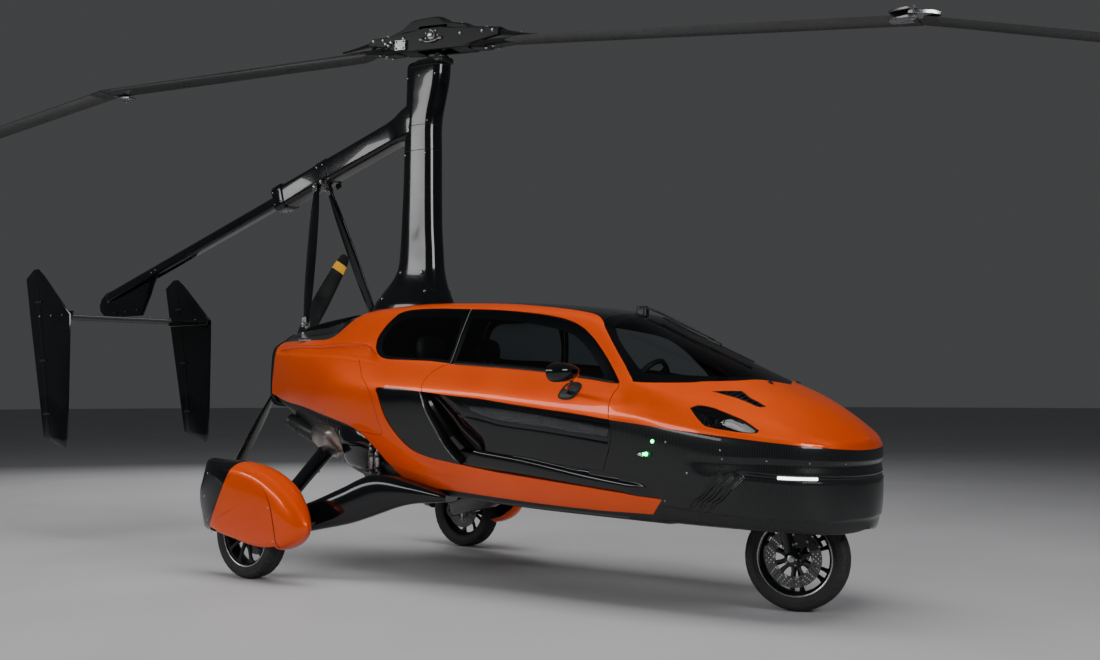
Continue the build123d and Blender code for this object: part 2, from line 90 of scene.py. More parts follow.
def mat(name, col, rough, metal=0.0, coat=0.0, var=0.08, vscale=5.0, rvar=0.05, bump=0.0, bscale=250.0, spec=0.5, detail=4.0):
    m, nt, b = _nodes(name)
    c1 = tuple(c * (1 - var) for c in col)
    c2 = tuple(min(1.0, c * (1 + var)) for c in col)
    nt.links.new(_mixc(nt, _range(nt, _noise(nt, vscale, detail), 0.35, 0.65, 0, 1), c1, c2), b.inputs["Base Color"])
    nt.links.new(_range(nt, _noise(nt, vscale * 2.3, detail), 0.3, 0.7, max(0.02, rough - rvar), rough + rvar), b.inputs["Roughness"])
    b.inputs["Metallic"].default_value = metal
    b.inputs["Specular IOR Level"].default_value = spec
    if coat:
        b.inputs["Coat Weight"].default_value = coat
        b.inputs["Coat Roughness"].default_value = 0.03
    if bump:
        _bump(nt, b, _noise(nt, bscale, 5.0, 0.6), bump, 0.001)
    return m


def mat_paint(name, col, deep):
    m, nt, b = _nodes(name)
    big = _range(nt, _noise(nt, 2.0, 2.0), 0.3, 0.7, 0.0, 0.35)
    flake = _range(nt, _noise(nt, 1600.0, 1.0), 0.35, 0.65, 0.0, 0.5)
    add = nt.nodes.new("ShaderNodeMath")
    add.operation = "ADD"
    nt.links.new(big, add.inputs[0])
    nt.links.new(flake, add.inputs[1])
    nt.links.new(_mixc(nt, add.outputs[0], deep, col), b.inputs["Base Color"])
    nt.links.new(_range(nt, _noise(nt, 900.0, 2.0), 0.3, 0.7, 0.30, 0.46), b.inputs["Roughness"])
    b.inputs["Metallic"].default_value = 0.42
    b.inputs["Coat Weight"].default_value = 0.62
    b.inputs["Specular IOR Level"].default_value = 0.2
    b.inputs["Coat Roughness"].default_value = 0.025
    return m


def mat_weave(name, dark, light, tow=0.0042, rough=0.22):
    # two-by-two twill of carbon tows under clear lacquer
    m, nt, b = _nodes(name)
    tc = nt.nodes.new("ShaderNodeTexCoord")
    mp = nt.nodes.new("ShaderNodeMapping")
    mp.inputs["Rotation"].default_value = (0, 0, math.radians(45))
    mp.inputs["Scale"].default_value = (1 / tow, 1 / tow, 1)
    nt.links.new(tc.outputs["UV"], mp.inputs["Vector"])
    sp = nt.nodes.new("ShaderNodeSeparateXYZ")
    nt.links.new(mp.outputs["Vector"], sp.inputs["Vector"])

    def math_node(op, a, c=None, value=None):
        n = nt.nodes.new("ShaderNodeMath")
        n.operation = op
        nt.links.new(a, n.inputs[0])
        if c is not None:
            nt.links.new(c, n.inputs[1])
        if value is not None:
            n.inputs[1].default_value = value
        return n.outputs[0]

    fa, fb = math_node("FLOOR", sp.outputs["X"]), math_node("FLOOR", sp.outputs["Y"])
    s = math_node("FLOORED_MODULO", math_node("ADD", fa, fb), value=4.0)
    pick = math_node("LESS_THAN", s, value=1.5)
    ra, rb = math_node("FRACT", sp.outputs["X"]), math_node("FRACT", sp.outputs["Y"])
    hump = math_node("MULTIPLY", math_node("PINGPONG", ra, value=0.5), math_node("PINGPONG", rb, value=0.5))
    nt.links.new(_mixc(nt, pick, dark, light), b.inputs["Base Color"])
    nt.links.new(_range(nt, pick, 0, 1, rough, rough + 0.16), b.inputs["Roughness"])
    _bump(nt, b, hump, 0.06, 0.0002)
    b.inputs["Specular IOR Level"].default_value = 0.2
    b.inputs["Coat Weight"].default_value = 0.5
    b.inputs["Coat Roughness"].default_value = 0.03
    return m


def mat_glass(name, tint, ior=1.45, gloss=0.02):
    m = bpy.data.materials.new(name)
    m.use_nodes = True
    nt = m.node_tree
    nt.nodes.remove(nt.nodes["Principled BSDF"])
    out = nt.nodes["Material Output"]
    tr = nt.nodes.new("ShaderNodeBsdfTransparent")
    tr.inputs["Color"].default_value = (*tint, 1)
    gl = nt.nodes.new("ShaderNodeBsdfGlossy")
    gl.inputs["Color"].default_value = (0.95, 0.97, 1.0, 1)
    nt.links.new(_range(nt, _noise(nt, 8.0, 2.0), 0.3, 0.7, gloss * 0.5, gloss * 1.5), gl.inputs["Roughness"])
    fr = nt.nodes.new("ShaderNodeFresnel")
    fr.inputs["IOR"].default_value = ior
    mx = nt.nodes.new("ShaderNodeMixShader")
    nt.links.new(fr.outputs["Fac"], mx.inputs["Fac"])
    nt.links.new(tr.outputs["BSDF"], mx.inputs[1])
    nt.links.new(gl.outputs["BSDF"], mx.inputs[2])
    nt.links.new(mx.outputs["Shader"], out.inputs["Surface"])
    return m


def mat_emit(name, col, glow, strength):
    m, nt, b = _nodes(name)
    nt.links.new(_mixc(nt, _range(nt, _noise(nt, 300.0, 2.0), 0.3, 0.7, 0, 1), col, tuple(min(1.0, c * 1.15) for c in col)), b.inputs["Base Color"])
    b.inputs["Roughness"].default_value = 0.15
    b.inputs["Emission Color"].default_value = (*glow, 1)
    b.inputs["Emission Strength"].default_value = strength
    b.inputs["Coat Weight"].default_value = 1.0
    return m


def mat_cloth(name, col, scale=900.0, rough=0.85):
    # close woven cloth with a slub
    m, nt, b = _nodes(name)
    tc = nt.nodes.new("ShaderNodeTexCoord")
    wv = nt.nodes.new("ShaderNodeTexWave")
    wv.inputs["Scale"].default_value = scale / 6
    wv.inputs["Distortion"].default_value = 1.2
    nt.links.new(tc.outputs["Object"], wv.inputs["Vector"])
    nz = _noise(nt, scale, 3.0)
    mix = nt.nodes.new("ShaderNodeMath")
    mix.operation = "MULTIPLY"
    nt.links.new(wv.outputs["Fac"], mix.inputs[0])
    nt.links.new(nz, mix.inputs[1])
    nt.links.new(_mixc(nt, mix.outputs[0], tuple(c * 0.75 for c in col), tuple(min(1, c * 1.3) for c in col)), b.inputs["Base Color"])
    nt.links.new(_range(nt, nz, 0.3, 0.7, rough - 0.08, rough + 0.06), b.inputs["Roughness"])
    b.inputs["Sheen Weight"].default_value = 0.3
    _bump(nt, b, mix.outputs[0], 0.5, 0.0006)
    return m


ORANGE = mat_paint("orange_metallic", (1.0, 0.118, 0.001), (0.74, 0.052, 0.0))
HEADB = mat("head_black", (0.0045, 0.005, 0.0055), 0.36, var=0.2, bump=0.05, bscale=700, spec=0.3)
BLACK = mat("gloss_black", (0.0035, 0.0042, 0.0050), 0.14, coat=0.55, var=0.2, rvar=0.03, spec=0.25)
CARBON = mat_weave("carbon_weave", (0.0045, 0.005, 0.0055), (0.0125, 0.0135, 0.014), tow=0.0026)
SATIN = mat("satin_black", (0.012, 0.013, 0.014), 0.42, var=0.2, bump=0.08, bscale=900)
TRIM = mat("black_trim", (0.016, 0.017, 0.018), 0.62, var=0.15, bump=0.25, bscale=1400)
LINER = mat("inner_trim", (0.035, 0.037, 0.04), 0.8, var=0.12, bump=0.3, bscale=1100)
FRIT = mat("frit_band", (0.004, 0.004, 0.005), 0.35, var=0.2, rvar=0.04)
GLASS = mat_glass("clear_glass", (0.86, 0.90, 0.90))
TINT = mat_glass("tinted_glass", (0.50, 0.54, 0.56))
STRIPG = mat_glass("strip_glass", (0.42, 0.46, 0.48), ior=1.9, gloss=0.03)
LENS = mat_glass("lamp_lens", (0.93, 0.95, 0.96))
RUBBER = mat("tyre_rubber", (0.017, 0.017, 0.018), 0.72, var=0.2, vscale=30, bump=0.25, bscale=500)
ALLOY = mat("alloy_dark", (0.022, 0.024, 0.026), 0.36, metal=0.7, var=0.1, vscale=40, bump=0.05, bscale=800)
LIP = mat("alloy_bright", (0.40, 0.41, 0.42), 0.30, metal=1.0, var=0.05, vscale=60)
STEEL = mat("bare_steel", (0.46, 0.46, 0.47), 0.30, metal=1.0, var=0.1, vscale=50, bump=0.06, bscale=900)
DISC = mat("disc_steel", (0.13, 0.13, 0.13), 0.36, metal=1.0, var=0.15, vscale=90, bump=0.1, bscale=1500)
HEATED = mat("heat_stained_steel", (0.40, 0.36, 0.33), 0.36, metal=0.95, var=0.28, vscale=9, bump=0.08, bscale=400)
CAST = mat("cast_metal", (0.20, 0.20, 0.205), 0.5, metal=0.8, var=0.15, vscale=20, bump=0.35, bscale=600)
CHROME = mat("mirror_chrome", (0.78, 0.79, 0.8), 0.05, metal=1.0, var=0.03, rvar=0.02)
SEAM = mat("seam_shadow", (0.006, 0.005, 0.005), 0.7, var=0.2)
SEAL = mat("rubber_seal", (0.010, 0.010, 0.011), 0.6, var=0.2, bump=0.1)
BLADE = mat("blade_black", (0.009, 0.0095, 0.010), 0.30, coat=0.35, var=0.2, rvar=0.06)
YELLOW = mat("tip_stripe", (0.85, 0.42, 0.02), 0.4, var=0.08)
WHITE_LED = mat_emit("white_led", (0.85, 0.87, 0.9), (1.0, 0.98, 0.94), 5.0)
GREEN_LED = mat_emit("green_led", (0.02, 0.8, 0.25), (0.0, 1.0, 0.22), 14.0)
RED_LED = mat_emit("red_led", (0.8, 0.03, 0.02), (1.0, 0.04, 0.02), 10.0)
LEATHER = mat("seat_leather", (0.030, 0.029, 0.029), 0.52, var=0.18, vscale=12, bump=0.45, bscale=420)
CLOTH = mat_cloth("seat_cloth", (0.075, 0.072, 0.070))
WEBBING = mat_cloth("belt_webbing", (0.05, 0.05, 0.052), 1500.0)
CARPET = mat_cloth("carpet", (0.028, 0.028, 0.03), 600.0, 0.92)
DISPLAY = mat("dark_screen", (0.010, 0.012, 0.016), 0.08, coat=1.0, var=0.3)
MESHM = mat("grille_mesh", (0.010, 0.010, 0.011), 0.45, var=0.2)

# ------------------------------------------------------------------ meshes


class Geo:
    def __init__(self):
        self.v, self.n, self.uv, self.f, self.m, self.k = [], [], [], [], [], 0

    def add(self, v, f, m=0, n=None, uv=None):
        v = np.asarray(v, float).reshape(-1, 3)
        k = self.k
        self.v.append(v)
        self.n.append(np.zeros_like(v) if n is None else np.asarray(n, float))
        self.uv.append(np.zeros((len(v), 2)) if uv is None else np.asarray(uv, float))
        self.f += [tuple(int(i) + k for i in q) for q in f]
        self.m += [m] * len(f) if isinstance(m, int) else list(m)
        self.k += len(v)
        return self

    def join(self, other, move=None):
        v = np.concatenate(other.v)
        n = np.concatenate(other.n)
        if move is not None:
            M = np.array(move)
            v = v @ M[:3, :3].T + M[:3, 3]
            n = n @ M[:3, :3].T
        f = other.f
        if move is not None and np.linalg.det(np.array(move)[:3, :3]) < 0:
            f = [q[::-1] for q in f]
        return self.add(v, f, list(other.m), n, np.concatenate(other.uv))

    def mirror(self):
        g = Geo()
        return g.join(self, np.diag([1.0, -1.0, 1.0, 1.0]))

    def make(self, name, body, mats, slot=None, replaces=(), sharp=38, weld=0.0, bevel=0.0, normals=False):
        v = np.concatenate(self.v) * 0.001
        me = bpy.data.meshes.new(name)
        me.from_pydata(v.tolist(), [], self.f)
        me.polygons.foreach_set("material_index", np.array(self.m, np.int32))
        for m in mats if isinstance(mats, (list, tuple)) else [mats]:
            me.materials.append(m)
        uv = np.concatenate(self.uv)
        if np.abs(uv).max() > 0:
            layer = me.uv_layers.new(name="Surface")
            loops = np.zeros(len(me.loops), np.int32)
            me.loops.foreach_get("vertex_index", loops)
            layer.data.foreach_set("uv", (uv[loops] * 0.001).astype(np.float32).ravel())
        me.update()
        if weld:
            bm = bmesh.new()
            bm.from_mesh(me)
            bmesh.ops.remove_doubles(bm, verts=bm.verts, dist=weld * 0.001)
            bmesh.ops.recalc_face_normals(bm, faces=bm.faces)
            bm.to_mesh(me)
            bm.free()
        me.shade_smooth()
        if normals:
            me.normals_split_custom_set_from_vertices(np.concatenate(self.n).tolist())
        else:
            me.set_sharp_from_angle(angle=math.radians(sharp))
        me.validate()
        o = bpy.data.objects.new(name, me)
        bpy.context.scene.collection.objects.link(o)
        if bevel:
            b = o.modifiers.new("edges", "BEVEL")
            b.width = bevel * 0.001
            b.segments = 2
            b.limit_method = "ANGLE"
            b.angle_limit = math.radians(32)
            b.harden_normals = False
        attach(o, body)
        if replaces:
            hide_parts(*replaces)
        return o


def unit(v):
    v = np.asarray(v, float)
    return v / max(np.linalg.norm(v), 1e-12)


def frame_at(z, x=None):
    # three axes, third along z
    z = unit(z)
    if x is None:
        x = (1, 0, 0) if abs(z[0]) < 0.8 else (0, 1, 0)
    x = unit(np.asarray(x, float) - z * np.dot(x, z))
    return np.column_stack([x, np.cross(z, x), z])


def place(p, z=(0, 0, 1), x=None):
    M = np.eye(4)
    M[:3, :3] = frame_at(z, x)
    M[:3, 3] = p
    return M


def loft(rings, closed=True, caps=True, m=0, uvs=True):
    """rings is a list of (n, 3) arrays, anticlockwise about the way they run"""
    g = Geo()
    R = np.array(rings, float)
    k, n = R.shape[:2]
    f = []
    last = n if closed else n - 1
    for i in range(k - 1):
        for j in range(last):
            a, b = i * n + j, i * n + (j + 1) % n
            f.append((a, b, b + n, a + n))
    uv = None
    if uvs:
        d = np.zeros((k, n))
        d[1:] = np.cumsum(np.linalg.norm(np.diff(R, axis=0), axis=2), axis=0)
        w = np.zeros((k, n))
        w[:, 1:] = np.cumsum(np.linalg.norm(np.diff(R, axis=1), axis=2), axis=1)
        uv = np.stack([w, d], 2).reshape(-1, 2)
    g.add(R.reshape(-1, 3), f, m, uv=uv)
    if caps:
        for ring, rev in ((R[0], True), (R[-1], False)):
            c = ring.mean(0)
            idx = [(j, (j + 1) % n, n) for j in range(n)]
            if rev:
                idx = [q[::-1] for q in idx]
            g.add(np.vstack([ring, c]), idx, m)
    return g


def revolve(prof, n=48, axis=(0, 0, 1), origin=(0, 0, 0), m=0, x=None, closed=False):
    """prof is (radius, height along the axis) pairs"""
    M = place(origin, axis, x)
    a = np.linspace(0, 2 * math.pi, n, endpoint=False)
    prof = list(prof)
    rings = []
    for r, h in prof:
        rings.append(np.column_stack([r * np.cos(a), r * np.sin(a), np.full(n, h)]))
    if closed:
        rings.append(rings[0])
    g = loft(rings, caps=False, m=m)
    out = Geo()
    return out.join(g, M)


def spline(pts, n=8, closed=False):
    P = np.asarray(pts, float)
    if closed:
        P = np.vstack([P[-1], P, P[:2]])
    else:
        P = np.vstack([2 * P[0] - P[1], P, 2 * P[-1] - P[-2]])
    out = []
    for i in range(1, len(P) - 2):
        p0, p1, p2, p3 = P[i - 1], P[i], P[i + 1], P[i + 2]
        d1, d2, d3 = [max(np.linalg.norm(b - a), 1e-6) ** 0.5 for a, b in ((p0, p1), (p1, p2), (p2, p3))]
        m1 = (p1 - p0) / d1 - (p2 - p0) / (d1 + d2) + (p2 - p1) / d2
        m2 = (p2 - p1) / d2 - (p3 - p1) / (d2 + d3) + (p3 - p2) / d3
        m1, m2 = m1 * d2, m2 * d2
        for u in np.arange(n) / n:
            out.append((2 * u**3 - 3 * u**2 + 1) * p1 + (u**3 - 2 * u**2 + u) * m1 + (-2 * u**3 + 3 * u**2) * p2 + (u**3 - u**2) * m2)
    if not closed:
        out.append(P[-2])
    return np.array(out)


def along(path):
    # moving axes along a path, no twist
    P = np.asarray(path, float)
    T = np.gradient(P, axis=0)
    T /= np.linalg.norm(T, axis=1, keepdims=True)
    F = [frame_at(T[0])]
    for i in range(1, len(P)):
        x = F[-1][:, 0]
        x = unit(x - T[i] * np.dot(x, T[i]))
        F.append(np.column_stack([x, np.cross(T[i], x), T[i]]))
    return P, F


def tube(path, r, n=14, m=0, caps=True, flat=None):
    P, F = along(path)
    a = np.linspace(0, 2 * math.pi, n, endpoint=False)
    rr = np.broadcast_to(np.asarray(r, float), (len(P),))
    ry = rr if flat is None else rr * flat
    rings = [p + f[:, 0] * (np.cos(a) * q)[:, None] + f[:, 1] * (np.sin(a) * w)[:, None] for p, f, q, w in zip(P, F, rr, ry)]
    return loft(rings, m=m, caps=caps)


def super_ring(a, b, power=2.6, n=40, c=(0, 0)):
    t = np.linspace(0, 2 * math.pi, n, endpoint=False)
    x = np.sign(np.cos(t)) * np.abs(np.cos(t)) ** (2 / power) * a + c[0]
    y = np.sign(np.sin(t)) * np.abs(np.sin(t)) ** (2 / power) * b + c[1]
    return np.column_stack([x, y])


def round_rect(w, h, r, k=5):
    out = []
    for cx, cy, a0 in ((w / 2 - r, h / 2 - r, 0), (-w / 2 + r, h / 2 - r, 90), (-w / 2 + r, -h / 2 + r, 180), (w / 2 - r, -h / 2 + r, 270)):
        for i in range(k + 1):
            a = math.radians(a0 + 90 * i / k)
            out.append((cx + r * math.cos(a), cy + r * math.sin(a)))
    return np.array(out)


def extrude(outline, z0, z1, M=None, m=0, bev=0.0):
    """a plate from a 2-D outline (anticlockwise), between heights z0 and z1"""
    o = np.asarray(outline, float)
    area = 0.5 * np.sum(o[:, 0] * np.roll(o[:, 1], -1) - np.roll(o[:, 0], -1) * o[:, 1])
    if area < 0:
        o = o[::-1]
    n = len(o)
    g = Geo()
    if bev:
        d = np.roll(o, -1, 0) - np.roll(o, 1, 0)
        d /= np.maximum(np.linalg.norm(d, axis=1, keepdims=True), 1e-9)
        inn = o - np.column_stack([d[:, 1], -d[:, 0]]) * bev
        layers = [(inn, z0), (o, z0 + bev), (o, z1 - bev), (inn, z1)]
    else:
        layers = [(o, z0), (o, z1)]
    V = np.vstack([np.column_stack([p, np.full(n, z)]) for p, z in layers])
    f = []
    for i in range(len(layers) - 1):
        for j in range(n):
            a, b = i * n + j, i * n + (j + 1) % n
            f.append((a, b, b + n, a + n))
    f.append(tuple(range(n))[::-1])
    f.append(tuple(range((len(layers) - 1) * n, len(layers) * n)))
    g.add(V, f, m)
    if M is not None:
        return Geo().join(g, M)
    return g


def box(x0, x1, y0, y1, z0, z1, m=0, M=None):
    v = [(x, y, z) for z in (z0, z1) for x, y in ((x0, y0), (x1, y0), (x1, y1), (x0, y1))]
    g = Geo().add(v, [(3, 2, 1, 0), (4, 5, 6, 7), (0, 1, 5, 4), (1, 2, 6, 5), (2, 3, 7, 6), (3, 0, 4, 7)], m)
    return g if M is None else Geo().join(g, M)


def bolt(p, z, r=5.0, h=4.0, m=0, hexa=True):
    g = Geo()
    g.join(revolve([(0.01, 0), (r * 1.35, 0), (r * 1.35, h * 0.25), (r * 1.2, h * 0.35)], n=16, m=m))
    prof = [(r, h * 0.3), (r, h * 0.85), (r * 0.8, h), (0.01, h)]
    g.join(revolve(prof, n=6 if hexa else 14, m=m))
    return Geo().join(g, place(p, z))

# ------------------------------------------------------------------ the body surface
# stations from the nose back: x, underside, floor half width, then half width and height
# of sill, waist, belt line, cant rail, and the top on the centre line

BODY = [
    (2628, 399, 0, 0, 500, 0, 755, 0, 785, 0, 800, 803),
    (2620, 398, 60, 100, 500, 108, 756, 95, 785, 45, 800, 804),
    (2560, 389, 250, 300, 490, 308, 768, 268, 806, 140, 848, 864),
    (2450, 396, 360, 420, 490, 428, 783, 378, 845, 205, 917, 944),
    (2210, 403, 420, 485, 510, 500, 808, 436, 905, 240, 1030, 1062),
    (1900, 410, 430, 505, 535, 532, 850, 460, 985, 360, 1062, 1203),
    (1650, 417, 430, 510, 550, 550, 885, 502, 1062, 478, 1090, 1312),
    (1420, 424, 430, 510, 558, 555, 920, 502, 1088, 388, 1372, 1414),
    (1100, 434, 430, 505, 570, 560, 962, 502, 1112, 390, 1428, 1465),
    (700, 452, 425, 500, 580, 560, 1000, 502, 1142, 385, 1462, 1497),
    (200, 482, 400, 500, 600, 560, 1030, 500, 1175, 380, 1475, 1515),
    (-250, 500, 330, 470, 710, 530, 1050, 480, 1225, 355, 1455, 1500),
    (-600, 590, 250, 410, 800, 460, 1080, 420, 1262, 300, 1352, 1470),
    (-900, 740, 190, 325, 875, 370, 1105, 340, 1282, 235, 1342, 1436),
    (-1180, 925, 150, 245, 945, 258, 1150, 235, 1280, 150, 1332, 1380),
]
NS, NT = 900, 26
BANDS = [0, 430, 550, 945, 1105, 1450, 1630, 1850]


def gauss(A, sig, ends):
    r = int(3 * sig) + 1
    k = np.exp(-0.5 * (np.arange(-r, r + 1) / sig) ** 2)
    k /= k.sum()
    out = np.empty_like(A)
    for c in range(A.shape[1]):
        a = A[:, c]
        lo = a[r:0:-1] if ends[0] == "even" else 2 * a[0] - a[r:0:-1]
        hi = a[-2 : -r - 2 : -1] if ends[1] == "even" else 2 * a[-1] - a[-2 : -r - 2 : -1]
        out[:, c] = np.convolve(np.concatenate([lo, a, hi]), k, "valid")
    return out


def body_surface():
    rows = np.array(BODY, float)[::-1]
    mir = rows[-2].copy()
    mir[[2, 3, 5, 7, 9]] *= -1
    R = np.vstack([rows, mir])
    d = np.sqrt(np.diff(R[:, 0]) ** 2 + np.diff(R[:, 5]) ** 2)
    s = np.concatenate([[0], np.cumsum(d)])
    n = len(R)
    sl = np.diff(R, axis=0) / d[:, None]
    m = np.zeros_like(R)
    for i in range(1, n - 1):
        for c in range(R.shape[1]):
            a, b = sl[i - 1, c], sl[i, c]
            if a * b > 0:
                w1, w2 = 2 * d[i] + d[i - 1], d[i] + 2 * d[i - 1]
                m[i, c] = (w1 + w2) / (w1 / a + w2 / b)
    m[0] = sl[0]
    i0 = n - 2
    m[i0] = 0
    wid = [2, 3, 5, 7, 9]
    m[i0, wid] = sl[i0 - 1, wid]
    smax = s[i0]
    q = np.linspace(0, smax, NS)
    k = np.clip(np.searchsorted(s, q, side="right") - 1, 0, i0 - 1)
    h = d[k]
    u = ((q - s[k]) / h)[:, None]
    h = h[:, None]
    V = (2 * u**3 - 3 * u**2 + 1) * R[k] + (u**3 - 2 * u**2 + u) * h * m[k] + (-2 * u**3 + 3 * u**2) * R[k + 1] + (u**3 - u**2) * h * m[k + 1]
    sig = 55.0 / (smax / (NS - 1))
    oth = [c for c in range(12) if c not in wid]
    W = V.copy()
    W[:, wid] = gauss(V[:, wid], sig, ("odd", "odd"))
    W[:, oth] = gauss(V[:, oth], sig, ("odd", "even"))
    P = np.zeros((NS, 7 * NT + 1, 3))
    for i, r in enumerate(W):
        x, zb, w1, w2, z2, w3, z3, w4, z4, w5, z5, zt = r
        Q = np.array([(0, zb), (w1, zb), (w2, z2), (w3, z3), (w4, z4), (w5, z5), (w5 * 0.55, z5 + (zt - z5) * 0.8), (0, zt)])
        D = np.diff(Q, axis=0)
        L = np.maximum(np.linalg.norm(D, axis=1), 1e-9)
        U = D / L[:, None]
        T = np.zeros_like(Q)
        for j in range(1, 7):
            t = U[j - 1] / L[j - 1] + U[j] / L[j]
            T[j] = t / max(np.linalg.norm(t), 1e-9) * min(L[j - 1], L[j])
        T[0] = (L[0], 0)
        T[-1] = (-L[-1], 0)
        c = []
        w = np.arange(NT)[:, None] / NT
        for j in range(7):
            c.append((2 * w**3 - 3 * w**2 + 1) * Q[j] + (w**3 - 2 * w**2 + w) * T[j] + (-2 * w**3 + 3 * w**2) * Q[j + 1] + (w**3 - w**2) * T[j + 1])
        c = np.concatenate(c + [Q[-1:]])
        c = np.column_stack([gauss(c[:, :1], 2.6, ("odd", "odd")), gauss(c[:, 1:], 2.6, ("even", "even"))])
        P[i, :, 0] = x
        P[i, :, 1:] = c
    return P, smax


SURF, SMAX = body_surface()
SURF[:, :, 1] *= -1  # the right side; the left is its mirror
XS = SURF[:, 0, 0]


def s_of(x):
    x = np.asarray(x, float)
    return np.interp(x, XS, np.linspace(0, SMAX, NS))


def t_to_v(t):
    return np.interp(t, np.arange(8), BANDS)


def v_to_t(v):
    return np.interp(v, BANDS, np.arange(8))


def _row(x):
    g = np.clip(s_of(x) / SMAX * (NS - 1), 0, NS - 1.0001)
    i = int(g)
    return SURF[i] * (1 - g + i) + SURF[i + 1] * (g - i)


def sd(x, z):
    """surface coordinates of a side point at station x and height z"""
    r = _row(x)
    a, b = int(1.0 * NT), int(6.2 * NT)
    zz = r[a:b, 2]
    k = np.maximum.accumulate(zz)
    t = np.interp(z, k, np.arange(a, b)) / NT
    return (float(s_of(x)), float(t_to_v(t)))


def pl(x, y):
    """surface coordinates of a top point at station x and distance y from the centre line"""
    r = _row(x)
    a = 4 * NT
    yy = -r[a:, 1][::-1]
    t = np.interp(y, np.maximum.accumulate(yy), np.arange(a, len(r))[::-1]) / NT
    return (float(s_of(x)), float(t_to_v(t)))


def bt(x, y):
    """surface coordinates of an underside point"""
    r = _row(x)
    b = int(1.3 * NT)
    yy = -r[:b, 1]
    t = np.interp(y, np.maximum.accumulate(yy), np.arange(b)) / NT
    return (float(s_of(x)), float(t_to_v(t)))


def SD(*p):
    return [sd(x, z) for x, z in p]


def PL(*p):
    return [pl(x, y) for x, y in p]


def BT(*p):
    return [bt(x, y) for x, y in p]


def surf(UV):
    UV = np.asarray(UV, float).reshape(-1, 2)
    g = np.clip(UV[:, 0] / SMAX * (NS - 1), 0, NS - 1.0001)
    h = np.clip(v_to_t(UV[:, 1]) * NT, 0, 7 * NT - 0.0001)
    i, j = g.astype(int), h.astype(int)
    a, b = (g - i)[:, None], (h - j)[:, None]
    return (SURF[i, j] * (1 - a) + SURF[i + 1, j] * a) * (1 - b) + (SURF[i, j + 1] * (1 - a) + SURF[i + 1, j + 1] * a) * b


def surf_n(UV, e=6.0):
    UV = np.asarray(UV, float).reshape(-1, 2)
    lo, hi = np.maximum(UV - (e, 0), 0), np.minimum(UV + (e, 0), (SMAX, 1850))
    du = surf(hi) - surf(lo)
    lo, hi = np.maximum(UV - (0, e), 0), np.minimum(UV + (0, e), (SMAX, 1850))
    dv = surf(hi) - surf(lo)
    n = np.cross(du, dv)
    n /= np.maximum(np.linalg.norm(n, axis=1, keepdims=True), 1e-9)
    mid = (UV[:, 1] < 0.6) | (UV[:, 1] > 1849.4) | (UV[:, 0] > SMAX - 0.6)
    n[mid, 1] = 0
    n /= np.maximum(np.linalg.norm(n, axis=1, keepdims=True), 1e-9)
    return n


def at(uv, off=0.0):
    p = surf([uv])[0]
    return p + surf_n([uv])[0] * off


def smooth_loop(pts, corners=(), n=8):
    """a closed loop with round curves between the corners, given by index"""
    P = [np.array(p, float) for p in pts]
    if not corners:
        return spline(P, n, closed=True)
    c = sorted(corners)
    out = []
    for a, b in zip(c, c[1:] + [c[0] + len(P)]):
        seg = [P[k % len(P)] for k in range(a, b + 1)]
        q = spline(seg, n) if len(seg) > 2 else np.array(seg)
        out.append(q[:-1])
    return np.concatenate(out)


def resample(loop, step):
    """even spacing that keeps sharp corners"""
    L = np.asarray(loop, float)
    d = np.diff(np.vstack([L, L[:1]]), axis=0)
    L = L[np.linalg.norm(d, axis=1) > 1e-6]
    n = len(L)
    prev, nxt = np.roll(L, 1, 0), np.roll(L, -1, 0)
    a, b = L - prev, nxt - L
    a /= np.linalg.norm(a, axis=1, keepdims=True)
    b /= np.linalg.norm(b, axis=1, keepdims=True)
    corner = [i for i in range(n) if np.dot(a[i], b[i]) < 0.86]
    if not corner:
        corner = [0]
    out = []
    for p, q in zip(corner, corner[1:] + [corner[0] + n]):
        seg = np.array([L[k % n] for k in range(p, q + 1)])
        w = np.concatenate([[0], np.cumsum(np.linalg.norm(np.diff(seg, axis=0), axis=1))])
        k = max(1, int(round(w[-1] / step)))
        g = np.linspace(0, w[-1], k + 1)[:-1]
        out.append(np.column_stack([np.interp(g, w, seg[:, 0]), np.interp(g, w, seg[:, 1])]))
    return np.concatenate(out)


def inside(pts, loop):
    pts = np.asarray(pts, float)
    x, y = pts[:, 0][:, None], pts[:, 1][:, None]
    a = np.asarray(loop, float)
    b = np.roll(a, -1, 0)
    c = (a[:, 1] > y) != (b[:, 1] > y)
    with np.errstate(divide="ignore", invalid="ignore"):
        xi = (b[:, 0] - a[:, 0]) * (y - a[:, 1]) / (b[:, 1] - a[:, 1]) + a[:, 0]
    return (np.sum(c & (x < xi), axis=1) % 2) == 1


def inset(loop, d):
    """moves a closed loop inwards by d, or outwards when d is negative"""
    L = np.asarray(loop, float)
    area = 0.5 * np.sum(L[:, 0] * np.roll(L[:, 1], -1) - np.roll(L[:, 0], -1) * L[:, 1])
    t = np.roll(L, -1, 0) - L
    t /= np.maximum(np.linalg.norm(t, axis=1, keepdims=True), 1e-9)
    n = np.column_stack([-t[:, 1], t[:, 0]]) * (1 if area > 0 else -1)
    a, b = n, np.roll(n, 1, 0)
    m = a + b
    k = np.maximum((m * m).sum(1, keepdims=True) / 2, 0.35)
    return L + m / k * d


def gap(loop, d, x=True):
    """inset, except along the centre lines"""
    L = np.asarray(loop, float)
    q = inset(L, d)
    for c in (L[:, 1] > 1849.0, L[:, 1] < 1.0):
        q[c, 1] = L[c, 1]
    far = L[:, 0] > SMAX - 1
    q[far, 0] = SMAX
    return q


